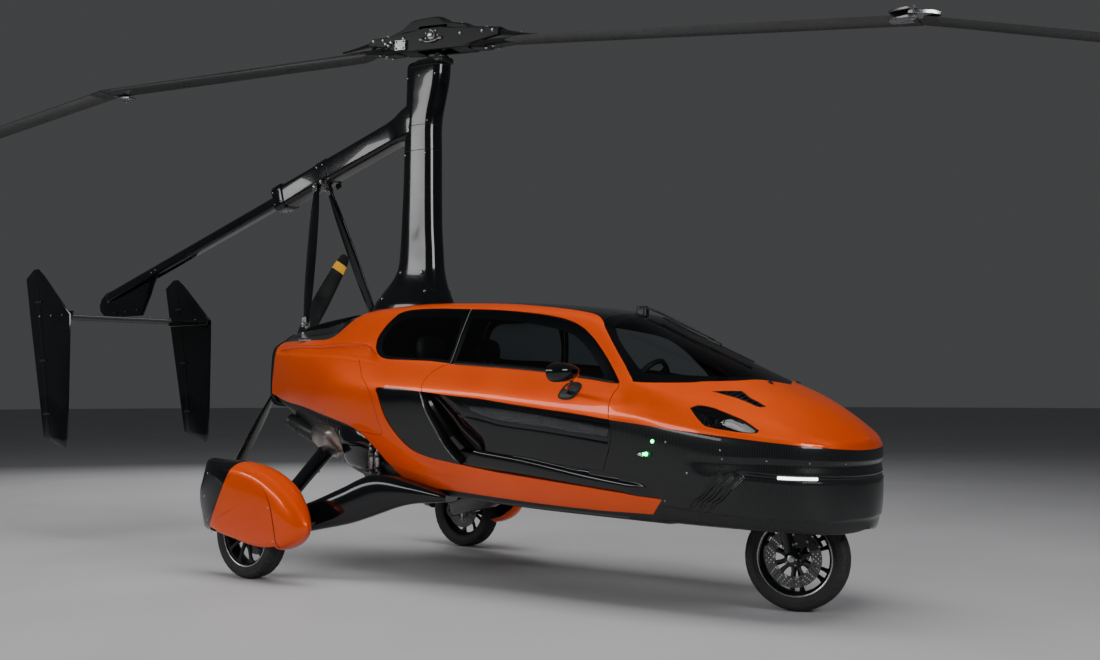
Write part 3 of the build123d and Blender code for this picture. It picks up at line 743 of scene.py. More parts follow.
def mesh2d(loops, step, extra=None, lines=()):
    """fills the first loop, less the others; returns points, triangles and each loop's indices"""
    pts, edges, idx = [], [], []
    k = 0
    for L in loops:
        n = len(L)
        pts.append(np.asarray(L))
        idx.append(np.arange(k, k + n))
        edges += [(k + i, k + (i + 1) % n) for i in range(n)]
        k += n
    B = np.concatenate(pts)
    lo, hi = loops[0].min(0), loops[0].max(0)
    gx = np.arange(lo[0] + step * 0.5, hi[0], step)
    gy = np.arange(lo[1] + step * 0.5, hi[1], step * 0.87)
    G = np.array([(x + (step / 2 if r % 2 else 0), y) for r, y in enumerate(gy) for x in gx])
    if extra is not None and len(extra):
        if len(G):
            keep = np.ones(len(G), bool)
            for e in extra:
                keep &= np.linalg.norm(G - e, axis=1) > step * 0.45
            G = G[keep]
            G = np.vstack([G, extra])
        else:
            G = np.asarray(extra)
    if len(G):
        ok = inside(G, loops[0])
        for L in loops[1:]:
            ok &= ~inside(G, L)
        G = G[ok]
    if lines and len(G):
        for q in lines:
            d, _ = dist_to(G, q)
            G = G[d > step * 0.3]
    if len(G):
        S = np.concatenate([np.asarray(L) for L in loops])
        E = np.concatenate([np.roll(np.asarray(L), -1, 0) for L in loops])
        D = E - S
        LL = np.maximum((D * D).sum(1), 1e-9)
        dist = np.full(len(G), 1e9)
        for c in range(0, len(G), 400):
            g = G[c : c + 400][:, None, :]
            w = np.clip(((g - S) * D).sum(2) / LL, 0, 1)[..., None]
            dist[c : c + 400] = np.sqrt((((g - S - D * w) ** 2).sum(2)).min(1))
        G = G[dist > step * 0.42]
    A = np.vstack([B, G]) if len(G) else B
    for q in lines:
        # feature lines are kept as edges, where they lie inside
        ok = inside(q, loops[0])
        for L in loops[1:]:
            ok &= ~inside(q, L)
        d, _ = dist_to(q, np.vstack([loops[0], loops[0][:1]]))
        ok &= d > 2.0
        for L in loops[1:]:
            d, _ = dist_to(q, np.vstack([L, L[:1]]))
            ok &= d > 2.0
        base = len(A)
        num = np.cumsum(ok) - 1 + base
        A = np.vstack([A, q[ok]])
        edges += [(int(num[i]), int(num[i + 1])) for i in range(len(q) - 1) if ok[i] and ok[i + 1]]
    res = geometry.delaunay_2d_cdt([Vector(p) for p in A], edges, [], 0, 1e-5)
    vs, fs, orig = res[0], res[2], res[3]
    V = np.array([tuple(v) for v in vs])
    F = np.array([f for f in fs if len(f) == 3], int)
    c = V[F].mean(1)
    ok = inside(c, loops[0])
    for L in loops[1:]:
        ok &= ~inside(c, L)
    F = F[ok]
    a, b, d = V[F[:, 0]], V[F[:, 1]], V[F[:, 2]]
    cr = (b[:, 0] - a[:, 0]) * (d[:, 1] - a[:, 1]) - (b[:, 1] - a[:, 1]) * (d[:, 0] - a[:, 0])
    F[cr < 0] = F[cr < 0][:, ::-1]
    back = {}
    for new, old in enumerate(orig):
        for o in old:
            back[o] = new
    idx = [np.array([back[i] for i in ids]) for ids in idx]
    return V, F, idx


def panel(loops, off=0.0, thick=12.0, push=None, step=19.0, bstep=11.0, m=(0, 0, None), lip=1.0, extra=None, point=None, lines=()):
    """a skin over the body surface.  m gives the outer, edge and inner materials"""
    point = point or (lambda uv: (surf(uv), surf_n(uv)))
    loops = [resample(L, bstep) for L in loops]
    V, F, idx = mesh2d(loops, step, extra, lines)

    def skin(uv, depth=0.0):
        p, n = point(uv)
        h = off + (push(uv) if push else 0.0)
        return p + n * (np.asarray(h).reshape(-1, 1) - depth if np.ndim(h) else h - depth), n

    p, n = skin(V)
    if push:
        e = 4.0
        a0, _ = skin(np.maximum(V - (e, 0), 0))
        a1, _ = skin(np.minimum(V + (e, 0), (SMAX, 1850)))
        b0, _ = skin(np.maximum(V - (0, e), 0))
        b1, _ = skin(np.minimum(V + (0, e), (SMAX, 1850)))
        n2 = np.cross(a1 - a0, b1 - b0)
        ln = np.linalg.norm(n2, axis=1, keepdims=True)
        n2 = np.where(ln > 1e-6, n2 / np.maximum(ln, 1e-9), n)
        mid = (V[:, 1] < 0.6) | (V[:, 1] > 1849.4) | (V[:, 0] > SMAX - 0.6)
        n2[mid, 1] = 0
        n2 /= np.maximum(np.linalg.norm(n2, axis=1, keepdims=True), 1e-9)
        n = n2
    g = Geo()
    uv = V.copy()
    g.add(p, F, m[0], n, uv)
    if m[2] is not None:
        q = p - n * thick
        g.add(q, F[:, ::-1], m[2], -n, uv)
    if lip is not None:
        for L, ids in zip(loops, idx):
            P, N = p[ids], n[ids]
            t = np.roll(P, -1, 0) - np.roll(P, 1, 0)
            t /= np.maximum(np.linalg.norm(t, axis=1, keepdims=True), 1e-9)
            o = np.cross(t, N)
            LL = V[ids]
            area = 0.5 * np.sum(LL[:, 0] * np.roll(LL[:, 1], -1) - np.roll(LL[:, 0], -1) * LL[:, 1])
            hole = L is not loops[0]
            sign = 1.0 if (area > 0) != hole else -1.0
            o = o * sign
            r1 = P + o * lip * 0.7 - N * lip * 0.3
            r2 = P + o * lip - N * lip
            r3 = P + o * lip - N * thick
            k = len(P)
            rows = np.concatenate([P, r1, r2, r3])
            nn = np.concatenate([N, N * 0.7 + o * 0.7, o, o])
            f = []
            for r in range(3):
                for i in range(k):
                    j = (i + 1) % k
                    if abs(P[i, 1]) < 1.0 and abs(P[j, 1]) < 1.0:
                        continue
                    q = (r * k + i, (r + 1) * k + i, (r + 1) * k + j, r * k + j)
                    f.append(q if sign > 0 else q[::-1])
            g.add(rows, f, m[1], nn, np.tile(uv[ids], (4, 1)))
    return g


def both(g):
    out = Geo()
    out.join(g)
    out.join(g.mirror())
    return out


def ribbon(uv_path, width, off, thick=2.0, m=0, taper=False):
    """a strip that follows the body surface"""
    uv = np.asarray(uv_path, float)
    p, n = surf(uv), surf_n(uv)
    t = np.gradient(p, axis=0)
    t /= np.linalg.norm(t, axis=1, keepdims=True)
    b = np.cross(n, t)
    w = np.broadcast_to(np.asarray(width, float), (len(p),))[:, None] / 2
    if taper:
        k = np.minimum(1, np.minimum(np.arange(len(p)), np.arange(len(p))[::-1]) / 2.0)[:, None]
        w = w * k
    rows = []
    for a, h in ((-1, off), (-0.85, off + thick), (0.85, off + thick), (1, off)):
        rows.append(p + b * w * a + n * h)
    R = np.stack(rows, 1)
    k = len(p)
    f = []
    for i in range(k - 1):
        for j in range(3):
            f.append((i * 4 + j, i * 4 + j + 1, i * 4 + j + 5, i * 4 + j + 4))
    g = Geo()
    g.add(R.reshape(-1, 3), [q[::-1] for q in f], m)
    return g


def dense(path, n=10):
    return spline([np.array(p, float) for p in path], n)


def even(path, k):
    w = np.concatenate([[0], np.cumsum(np.linalg.norm(np.diff(path, axis=0), axis=1))])
    g = np.linspace(0, w[-1], k)
    return np.column_stack([np.interp(g, w, path[:, 0]), np.interp(g, w, path[:, 1])])


def dist_to(UV, path):
    """distance of points to a line in surface coordinates, and which side they are on"""
    UV = np.asarray(UV, float)
    A = np.asarray(path, float)
    S, D = A[:-1], A[1:] - A[:-1]
    LL = np.maximum((D * D).sum(1), 1e-9)
    best = np.full(len(UV), 1e9)
    side = np.zeros(len(UV))
    for c in range(0, len(UV), 500):
        g = UV[c : c + 500][:, None, :]
        w = np.clip(((g - S) * D).sum(2) / LL, 0, 1)[..., None]
        r = g - S - D * w
        q = np.sqrt((r**2).sum(2))
        k = q.argmin(1)
        i = np.arange(len(k))
        best[c : c + 500] = q[i, k]
        side[c : c + 500] = np.sign(D[k, 0] * r[i, k, 1] - D[k, 1] * r[i, k, 0])
    return best, side

# ------------------------------------------------------------------ outlines on the body

W1 = [(56, 1041), (223, 1033), (380, 1016), (584, 996), (788, 979), (983, 955), (1173, 934), (1354, 915), (1525, 893), (1577, 887), (1641, 880), (1798, 862), (1900, 848), (2052, 832), (2236, 812), (2407, 793), (2541, 775), (2625, 757)]
STRIPE = [(33, 1025), (56, 976), (84, 906), (126, 841), (177, 786), (237, 735), (306, 697), (408, 669), (515, 654), (617, 640), (747, 623), (881, 607), (1071, 591), (1256, 575), (1437, 560), (1553, 549), (1715, 533), (1835, 524)]
LOWER = [(1761, 450), (1600, 450), (1455, 450), (1391, 452), (1154, 460), (839, 477), (501, 498), (285, 506), (205, 521), (150, 562), (93, 624), (24, 684), (-46, 740), (-120, 790), (-203, 824), (-299, 850), (-504, 892), (-741, 934), (-965, 961), (-1154, 1005)]
DLO_LOW = [(529, 1163), (385, 1178), (163, 1188), (62, 1194), (18, 1204), (-24, 1228), (-50, 1262)]
DLO_TOP = [(-50, 1262), (-54, 1310), (-23, 1368), (19, 1415), (61, 1449), (126, 1464), (204, 1467), (353, 1465), (506, 1457), (645, 1449), (784, 1440), (923, 1426), (1057, 1410), (1187, 1387), (1265, 1365), (1340, 1331), (1400, 1289), (1460, 1234), (1511, 1181), (1567, 1113), (1606, 1062)]
DLO_BELT = [(529, 1163), (640, 1156), (737, 1149), (937, 1135), (1145, 1117), (1344, 1092), (1493, 1073), (1606, 1057)]
DIVISION = [(529, 1163), (561, 1300), (578, 1380), (588, 1452)]
DOOR_REAR_TOP = [(380, 1016), (374, 1045), (390, 1091), (425, 1126), (470, 1148), (529, 1163)]
DOOR_FRONT_TOP = [(1606, 1060), (1604, 1034), (1584, 1008), (1572, 968), (1572, 925), (1577, 887)]
DOOR_FRONT_LOW = [(1577, 887), (1588, 845), (1587, 798), (1571, 745), (1550, 695), (1530, 645)]
DOOR_LOW = [(1530, 645), (1275, 664), (1089, 690), (895, 704), (733, 725)]
DOOR_REAR_LOW = [(733, 725), (677, 769), (621, 815), (566, 878), (524, 918), (478, 962), (430, 998), (380, 1016)]
SILL_FRONT = [(1530, 645), (1622, 630), (1733, 618), (1835, 524)]
RAIL = [(1432, 384), (1386, 362), (1270, 358), (1076, 352), (733, 335), (400, 322), (130, 306), (-97, 306), (-226, 306)]
DECK_EDGE = [(-226, 306), (-322, 318), (-400, 356), (-486, 376), (-764, 313), (-1133, 190)]
SCREEN_SIDE = [(1673, 492), (1655, 480), (1611, 460), (1567, 444), (1511, 426), (1460, 406), (1432, 384)]
SCREEN_BASE = [(2236, 0), (2224, 30), (2190, 110), (2099, 226), (2020, 284), (1941, 335), (1789, 438), (1673, 492)]
ROOF_FRONT = [(1432, 384), (1424, 300), (1416, 150), (1414, 0)]


def sp(points, to=SD, n=8):
    return spline(np.array(to(*points)), n)


def chain(*segs):
    out = []
    for s in segs:
        s = np.asarray(s, float)
        if out and np.linalg.norm(out[-1][-1] - s[0]) < 2.0:
            s = s[1:]
        out.append(s)
    L = np.concatenate(out)
    if np.linalg.norm(L[0] - L[-1]) < 2.0:
        L = L[:-1]
    return L


def w1(a, b):
    p = [q for q in W1 if a - 1 <= q[0] <= b + 1]
    return sp(p)


def centre(x0, x1, v, step=30.0):
    a, b = float(s_of(x0)), float(s_of(x1))
    k = max(2, int(abs(b - a) / step))
    return np.column_stack([np.linspace(a, b, k), np.full(k, v)])


NOSE_W1 = (SMAX, sd(2622, 757)[1])
SIDE_LOOP = chain(
    [NOSE_W1, (SMAX, 1850)],
    centre(2640, 2236, 1850),
    sp(SCREEN_BASE, PL),
    sp(SCREEN_SIDE, PL),
    sp(RAIL, PL),
    sp(DECK_EDGE, PL),
    SD((-1122, 1250), (-1133, 1160), (-1146, 1080), (-1154, 1005)),
    sp(LOWER[::-1]),
    SD((1761, 450), (1835, 524)),
    sp(STRIPE[::-1]),
    SD((33, 1025), (38, 1037), (56, 1041)),
    w1(56, 380),
    sp(DOOR_REAR_TOP),
    sp(DLO_LOW),
    sp(DLO_TOP),
    sp(DOOR_FRONT_TOP),
    w1(1577, 2541),
    [NOSE_W1],
)
LAMP = smooth_loop(SD((1969, 945), (1990, 955), (2020, 957), (2066, 949), (2117, 933), (2167, 916), (2227, 894), (2269, 872), (2308, 850), (2306, 839), (2283, 835), (2232, 838), (2186, 843), (2099, 856), (2066, 864), (2025, 893)), corners=(0, 8))
VENT = smooth_loop(PL((2020, 360), (2075, 328), (2140, 296), (2168, 306), (2195, 318), (2240, 324), (2284, 331), (2255, 351), (2204, 351), (2135, 350), (2085, 354)), corners=(0, 2, 6))

LEDGE_UP = dense(SD((-1100, 1279), (-1064, 1280), (-799, 1288), (-363, 1284), (-184, 1279), (-110, 1268), (-62, 1240)), 12)
LEDGE_LOW = dense(SD((-1100, 1252), (-1047, 1249), (-750, 1236), (-326, 1214), (-147, 1196), (-62, 1186), (19, 1176), (100, 1172)), 12)


def smooth01(x):
    x = np.clip(x, 0, 1)
    return x * x * (3 - 2 * x)


def groove(UV, path, width, depth, power=1.0):
    d, _ = dist_to(UV, path)
    return -depth * smooth01(1 - d / width) ** power


def side_push(UV):
    # the long recess under the ledge, which fades at both ends
    du, su = dist_to(UV, LEDGE_UP)
    dl, sl = dist_to(UV, LEDGE_LOW)
    below = smooth01(0.5 - su * du / 16.0)
    above = smooth01(0.5 + sl * dl / 26.0)
    a, b = sd(-1130, 1260)[0], sd(20, 1180)[0]
    fade = smooth01((UV[:, 0] - a) / 60) * smooth01((b - UV[:, 0]) / 120)
    h = -15.0 * below * above * fade * (UV[:, 1] < 1500)
    # a soft crown line on the waist of the front wing
    k = w1(1577, 2541)
    d, s = dist_to(UV, k)
    h = h + 2.5 * smooth01(1 - np.abs(d - 26) / 30) * (s > 0) * smooth01((UV[:, 0] - float(s_of(1560))) / 90)
    return h




def beside(line, offs, k=12.0):
    """copies of a line moved sideways, evenly divided"""
    line = np.asarray(line, float)
    w = np.linalg.norm(np.diff(line, axis=0), axis=1).sum()
    q = even(line, max(3, int(w / k)))
    t = np.gradient(q, axis=0)
    t /= np.maximum(np.linalg.norm(t, axis=1, keepdims=True), 1e-9)
    n = np.column_stack([-t[:, 1], t[:, 0]])
    return [q + n * o for o in offs]


LEDGE_LINES = beside(LEDGE_UP[:-9], (-9, -3, 3, 9)) + beside(LEDGE_LOW[:-14], (-14, -5, 5, 14))

side = panel([gap(SIDE_LOOP, 0.8), LAMP, VENT], off=0, thick=30, push=side_push, m=(0, 0, 1), lines=LEDGE_LINES)
for who, g in (("right", side), ("left", side.mirror())):
    g.make(who + "_body_side", "fuselage", [ORANGE, LINER], slot="orange_paint", replaces=[who + "_side_frame"] + (["hood"] if who == "right" else []), normals=True)

# seams and fasteners of the rear quarter
seams = Geo()
for path, w in (
    (SD((-155, 1196), (-120, 1140), (-97, 1100), (-37, 1045), (10, 962), (42, 872), (72, 790)), 2.6),
    (SD((72, 790), (20, 782), (-37, 790), (-143, 799)), 2.6),
):
    seams.join(ribbon(spline(np.array(path), 8), w, 0.10, 0.15))
both(seams).make("quarter_seams", "fuselage", SEAM, normals=False)
fast = Geo()
for x, z in ((-97, 1118), (-80, 1039), (22, 812), (-226, 860), (-360, 880), (-481, 905), (-728, 954), (-965, 981)):
    uv = sd(x, z)
    p, n = at(uv), surf_n([uv])[0]
    fast.join(revolve([(0.01, 0.9), (5.2, 0.9), (6.0, 0.2), (6.0, -1)], n=16), place(p, n))
    fast.join(revolve([(0.01, 0.35), (1.9, 0.35), (1.9, 1.25), (2.3, 1.2)], n=6, m=1), place(p, n))
both(fast).make("quarter_fasteners", "fuselage", [STEEL, SEAM])

# ------------------------------------------------------------------ doors

BAND = chain(w1(380, 1577), sp(DOOR_FRONT_TOP[::-1]), sp(DLO_BELT[::-1]), sp(DOOR_REAR_TOP[::-1]))
band = panel([gap(BAND, 4.2)], thick=28, m=(0, 0, 1))
DOOR_BLACK = chain(w1(380, 1577), sp(DOOR_FRONT_LOW), sp(DOOR_LOW), sp(DOOR_REAR_LOW))
STRIP = smooth_loop(SD((668, 966), (923, 943), (1233, 908), (1563, 872), (1568, 868), (1568, 812), (1562, 806), (1414, 820), (1173, 847), (918, 871), (765, 901), (712, 922)), corners=(0, 3, 6, 11))


def door_push(UV):
    # the rear of the door turns in toward the intake
    k = sp(DOOR_REAR_LOW)
    d, s = dist_to(UV, k)
    h = -34.0 * smooth01(1 - d / 95.0) ** 1.4
    c = dense(SD((600, 900), (765, 883), (918, 853), (1173, 829), (1414, 802), (1590, 782)), 8)
    h = h + groove(UV, c, 6.0, 1.6)
    return h


c0 = dense(SD((640, 893), (765, 883), (918, 853), (1173, 829), (1414, 802), (1560, 786)), 8)
door_low = panel([gap(DOOR_BLACK, 3.0), STRIP], thick=28, push=door_push, m=(0, 2, 1), lines=beside(c0, (-7, -3, 0, 3, 7)), step=17)
strip_glass = panel([gap(STRIP, 2.0)], off=-4, thick=4, m=(0, 0, None))
strip_frit = panel([gap(STRIP, 1.0), smooth_loop(SD((700, 952), (923, 931), (1233, 897), (1470, 871), (1483, 862), (1483, 826), (1470, 822), (1173, 857), (935, 881), (790, 905)), corners=(0, 3, 6))], off=-8.5, thick=3, m=(0, 0, 0), bstep=8, step=12)
DOOR_GLASS = chain(sp(DLO_BELT), sp([p for p in DLO_TOP if p[0] >= 640][::-1]), sp(DIVISION[::-1]))
CLEAR = smooth_loop(SD((560, 1178), (780, 1163), (1000, 1147), (1200, 1128), (1360, 1105), (1500, 1084), (1506, 1094), (1483, 1130), (1409, 1208), (1340, 1266), (1284, 1300), (1205, 1326), (1108, 1346), (960, 1372), (800, 1392), (640, 1404), (612, 1402), (592, 1310)), corners=(0, 5, 15, 16))
door_glass = panel([gap(DOOR_GLASS, 5.0)], off=-1.5, thick=5, m=(0, 0, None))
door_frit = panel([gap(DOOR_GLASS, 4.0), CLEAR], off=-6.8, thick=2.5, m=(0, 0, 0), bstep=9, step=14)
QUARTER = chain(sp(DLO_LOW), sp([p for p in DLO_TOP if p[0] <= 506] + [(588, 1453)]), sp(DIVISION[::-1]))
QCLEAR = smooth_loop(SD((508, 1182), (385, 1194), (163, 1204), (70, 1212), (30, 1224), (0, 1255), (-8, 1305), (14, 1355), (60, 1398), (126, 1420), (240, 1427), (380, 1424), (535, 1412), (538, 1300)), corners=(0, 12))
quarter_glass = panel([gap(QUARTER, 3.5)], off=-1.5, thick=5, m=(0, 0, None))
quarter_frit = panel([gap(QUARTER, 2.5), QCLEAR], off=-6.8, thick=2.5, m=(0, 0, 0), bstep=9, step=14)
belt_seal = ribbon(sp(DLO_BELT)[2:-2] + (0, 1.5), 9, -1.5, 4.5)
DIVLINE = mat("glass_joint", (0.16, 0.165, 0.17), 0.4, var=0.1)
division = ribbon(sp(DIVISION) + (0.8, 0), 2.6, -1.2, 1.5)
for who in ("right", "left"):
    f = (lambda g: g) if who == "right" else (lambda g: g.mirror())
    body = who + "_door"
    f(division).make(who + "_glass_joint", "fuselage", DIVLINE)
    f(band).make(who + "_door_upper_skin", body, [ORANGE, LINER], slot="orange_paint", replaces=[who + "_door"], normals=True)
    f(door_low).make(who + "_door_lower_skin", body, [BLACK, LINER, SEAL], slot="black_gloss", normals=True)
    f(strip_glass).make(who + "_door_strip_window", body, STRIPG, slot="window_glass", normals=True)
    f(strip_frit).make(who + "_door_strip_frit", body, FRIT, normals=True)
    f(door_glass).make(who + "_door_window", body, TINT, slot="window_glass", replaces=[who + "_door_glass"], normals=True)
    f(door_frit).make(who + "_door_window_frit", body, FRIT, normals=True)
    f(belt_seal).make(who + "_belt_seal", body, SEAL)
    f(quarter_glass).make(who + "_quarter_window", "fuselage", TINT, slot="window_glass", replaces=["quarter_windows"] if who == "right" else (), normals=True)
    f(quarter_frit).make(who + "_quarter_frit", "fuselage", FRIT, normals=True)

# ------------------------------------------------------------------ black side panel, blade and sill

BLADE_EDGE = [(372, 1018), (390, 985), (412, 926), (441, 876), (478, 818), (515, 757), (566, 697), (615, 652)]
REAR_BLACK = chain(w1(56, 380)[:-1], sp(BLADE_EDGE), sp([p for p in STRIPE if p[0] <= 620][::-1]), SD((33, 1025), (38, 1037), (56, 1041)))


def rear_push(UV):
    d, s = dist_to(UV, sp(BLADE_EDGE))
    return -6.0 + 6.0 * smooth01(1 - d / 240.0)


rear_black = panel([gap(REAR_BLACK, 0.6)], thick=9, push=rear_push, m=(0, 1, None))
SILL = chain(sp(DOOR_LOW[::-1]), sp(SILL_FRONT), sp([p for p in STRIPE if p[0] >= 617][::-1]), sp([(617, 640), (640, 652), (700, 694), (733, 725)]))
ROLL = dense(SD((600, 668), (640, 682), (756, 668), (1015, 643), (1265, 612), (1497, 584), (1640, 570), (1760, 556)), 8)


def sill_push(UV):
    d, s = dist_to(UV, ROLL)
    f = smooth01((UV[:, 0] - float(s_of(600))) / 80) * smooth01((float(s_of(1800)) - UV[:, 0]) / 160)
    return -7.0 + 16.0 * np.sqrt(np.clip(1 - (d / 42.0) ** 2, 0, 1)) * f


ROLL_IN = ROLL[(ROLL[:, 0] > float(s_of(700)))]
sill = panel([gap(SILL, 0.8)], thick=9, push=sill_push, m=(0, 0, None), lines=beside(ROLL_IN, (-42, -38, -32, -22, -10, 0, 10, 22, 32, 38, 42)), step=17)
# the intake behind the door: a deep channel
intake = Geo()
e2 = sp([(733, 725), (677, 769), (621, 815), (566, 878), (524, 918), (478, 962), (440, 992), (392, 1016)][::-1], n=6)


A, B = even(sp(BLADE_EDGE, n=6), 70), even(e2, 70)
rows = []
for f, d in ((0.0, -6), (0.02, -60), (0.25, -82), (0.6, -82), (0.85, -80), (1.0, -76), (1.15, -72)):
    q = A * (1 - f) + B * f
    rows.append(surf(q) + surf_n(q) * d)
intake.join(loft([r for r in np.array(rows)], closed=False, caps=False))
vane = Geo()
q0, q1 = A[3:-2] * 0.72 + B[3:-2] * 0.28, A[3:-2] * 0.42 + B[3:-2] * 0.58
P0, P1 = surf(q0), surf(q1)
N0, N1 = surf_n(q0), surf_n(q1)
f0 = smooth01(np.linspace(0, 1, len(q0)) / 0.15)[:, None] * smooth01((1 - np.linspace(0, 1, len(q0))) / 0.12)[:, None]
r = [P0 + N0 * -78, P0 + N0 * (-78 + 58 * f0), P0 * 0.7 + P1 * 0.3 + N0 * (-78 + 66 * f0), P1 + N1 * (-78 + 60 * f0), P1 + N1 * -78]
vane.join(loft([x for x in np.stack(r, 1)], closed=False, caps=False))
lip = Geo()
P, N = surf(A), surf_n(A)
t = np.gradient(P, axis=0)
t /= np.linalg.norm(t, axis=1, keepdims=True)
b = np.cross(N, t)
w = 4.5 * smooth01(np.linspace(0, 1, 70) / 0.12) * smooth01((1 - np.linspace(0, 1, 70)) / 0.10) + 0.6
if np.mean((P + b - P)[:, 0]) < 0:
    b = -b
sec = []
for a in np.linspace(0, 2 * math.pi, 12, endpoint=False):
    sec.append(P + b * (math.cos(a) * w * 0.7)[:, None] + N * (6 + math.sin(a) * w * 1.1)[:, None])
lip.join(loft([r for r in np.stack(sec, 1)], closed=True, caps=True))
for who in ("right", "left"):
    f = (lambda g: g) if who == "right" else (lambda g: g.mirror())
    f(rear_black).make(who + "_side_panel", "fuselage", [BLACK, SEAM], slot="black_gloss", normals=True)
    f(sill).make(who + "_sill_roll", "fuselage", BLACK, slot="black_gloss", normals=True)
    f(intake).make(who + "_side_intake", "fuselage", SEAL, weld=0.05, sharp=40)
    f(vane).make(who + "_intake_vane", "fuselage", BLACK, weld=0.05, sharp=50)
    f(lip).make(who + "_intake_blade", "fuselage", STEEL, weld=0.05, sharp=60)

# ------------------------------------------------------------------ windscreen, roof, deck

SCREEN = chain(sp(ROOF_FRONT, PL), centre(1414, 2236, 1850), sp(SCREEN_BASE, PL), sp(SCREEN_SIDE, PL))
SCLEAR = chain(
    sp([(1474, 352), (1466, 280), (1458, 150), (1456, 0)], PL),
    centre(1456, 2200, 1850),
    sp([(2200, 0), (2186, 40), (2150, 104), (2070, 205), (1990, 262), (1920, 305), (1780, 395), (1698, 437)], PL),
    sp([(1698, 437), (1655, 427), (1611, 412), (1567, 400), (1520, 384), (1474, 352)], PL),
)
screen = both(panel([gap(SCREEN, 2.0)], off=-1.5, thick=5, m=(0, 0, None)))
screen_frit = both(panel([gap(SCREEN, 0.5), SCLEAR], off=-6.8, thick=2.5, m=(0, 0, 0), bstep=10, step=15))
screen.make("windscreen_glass", "fuselage", GLASS, slot="window_glass", replaces=["windscreen"], normals=True)
screen_frit.make("windscreen_border", "fuselage", FRIT, normals=True)
ROOF = chain(centre(1414, 128, 1850), [pl(128, 0), pl(128, 306)], sp([p for p in RAIL if p[0] >= 130][::-1], PL), sp(ROOF_FRONT, PL))
roof = both(panel([gap(ROOF, 1.4)], off=-2, thick=26, m=(0, 0, 1), push=lambda q: groove(q, dense(PL((1330, 250), (900, 262), (300, 250)), 6), 26, 3.0)))
roof.make("roof_skin", "fuselage", [BLACK, LINER], slot="black_gloss", replaces=["roof_panel"], normals=True)
DECKL = chain(centre(128, -1150, 1850), [pl(-1150, 180)], sp(DECK_EDGE[::-1], PL), sp([(-226, 306), (-97, 306), (128, 306)], PL), [pl(128, 0)])
SL = chain(PL((-600, 16), (-600, 150), (-606, 205)), PL((-700, 214), (-860, 184), (-1020, 140), (-1046, 120), (-1050, 90)), PL((-1050, 16)))
SL = resample(np.array(SL), 12)
deck = both(panel([gap(DECKL, 1.4), SL], off=-2, thick=14, m=(0, 0, None), push=lambda q: groove(q, dense(PL((60, 262), (-300, 262), (-450, 300), (-760, 262), (-1080, 160)), 8), 20, 3.5), step=17))
deck.make("rear_deck_skin", "fuselage", BLACK, slot="black_gloss", replaces=["rear_deck"], normals=True)
lou = Geo()
for i, x in enumerate(np.arange(-612, -1050, -40.0)):
    wmax = float(np.interp(x, [-1050, -1020, -700, -600], [95, 132, 205, 200]))
    ys = np.linspace(-wmax, wmax, 17)
    rows = []
    for y in ys:
        p, n = at(pl(x, abs(y))), surf_n([pl(x, abs(y))])[0]
        p, n = p * (1, -np.sign(y) if y else 1, 1), n * (1, 0, 1)
        n = unit(n)
        f = unit(np.cross((0, 1, 0), n))
        if f[0] > 0:
            f = -f
        # slat leans back, its leading edge proud of the deck
        a = p + n * 4 - f * 16
        b2 = p - n * 16 + f * 24
        rows.append([a, a + n * 3.2, b2 + n * 3.2, b2])
    lou.join(loft(rows, closed=True, caps=True))
lou.make("deck_louvres", "fuselage", SATIN, weld=0.05, sharp=35)
well = panel([resample(np.array(chain(PL((-590, 0), (-590, 215)), PL((-860, 196), (-1056, 130)), PL((-1062, 0)))), 20)], off=-34, thick=3, m=(0, 0, None), step=40)
both(well).make("deck_louvre_tray", "fuselage", TRIM, normals=True)

# ------------------------------------------------------------------ nose cowl

WELL = [(2478, 0), (2470, 120), (2440, 178), (2380, 205), (2262, 212), (2140, 208), (2080, 190), (2050, 140), (2044, 0)]
NOSE = chain(
    w1(1577, 2541),
    [NOSE_W1, (SMAX, 0)],
    centre(2640, 2478, 0),
    sp(WELL[:5], BT),
    sp(WELL[4:], BT),
    centre(2044, 1790, 0),
    BT((1790, 0), (1790, 300)),
    SD((1790, 448), (1761, 450)),
    SD((1761, 450), (1835, 524)),
    sp(SILL_FRONT[::-1]),
    sp(DOOR_FRONT_LOW[::-1]),
)


def to_nose(pts):
    q = SD(*pts)
    v = q[-1][1]
    return dense(list(q) + [(SMAX - 40, v), (SMAX, v)], 8)


CREASE = to_nose(((1960, 742), (2052, 734), (2241, 728), (2369, 727), (2530, 717), (2619, 708)))
LEDG = to_nose(((2200, 658), (2287, 653), (2399, 644), (2538, 638), (2619, 630)))
STEP = to_nose(((1793, 505), (1960, 491), (2126, 478), (2306, 464), (2469, 458), (2600, 454)))
GILLS = [dense(SD(*p), 8) for p in (((1985, 492), (2040, 540), (2095, 593), (2144, 640)), ((2033, 489), (2088, 540), (2145, 596), (2195, 645)), ((2083, 486), (2136, 538), (2192, 595), (2241, 641)))]


def nose_push(UV):
    h = np.zeros(len(UV))
    d, s = dist_to(UV, CREASE)
    fade = smooth01((UV[:, 0] - float(s_of(1940))) / 160)
    # hollow below the crease, down to the light strip
    h -= 9.0 * smooth01(d / 34.0) * (s < 0) * smooth01(1 - d / 110.0) * fade * 1.6
    d, s = dist_to(UV, LEDG)
    f = smooth01((UV[:, 0] - float(s_of(2190))) / 120)
    h -= 11.0 * smooth01(1 - np.abs(d) / 17.0) * f
    d, s = dist_to(UV, STEP)
    f = smooth01((UV[:, 0] - float(s_of(1793))) / 60)
    h -= 7.0 * smooth01(np.minimum(d, 14) / 14.0) * (s < 0) * f
    for g in GILLS:
        d, s = dist_to(UV, g)
        h -= 10.0 * smooth01(1 - d / 15.0) * np.where(s > 0, 1.0, 0.9)
    return h


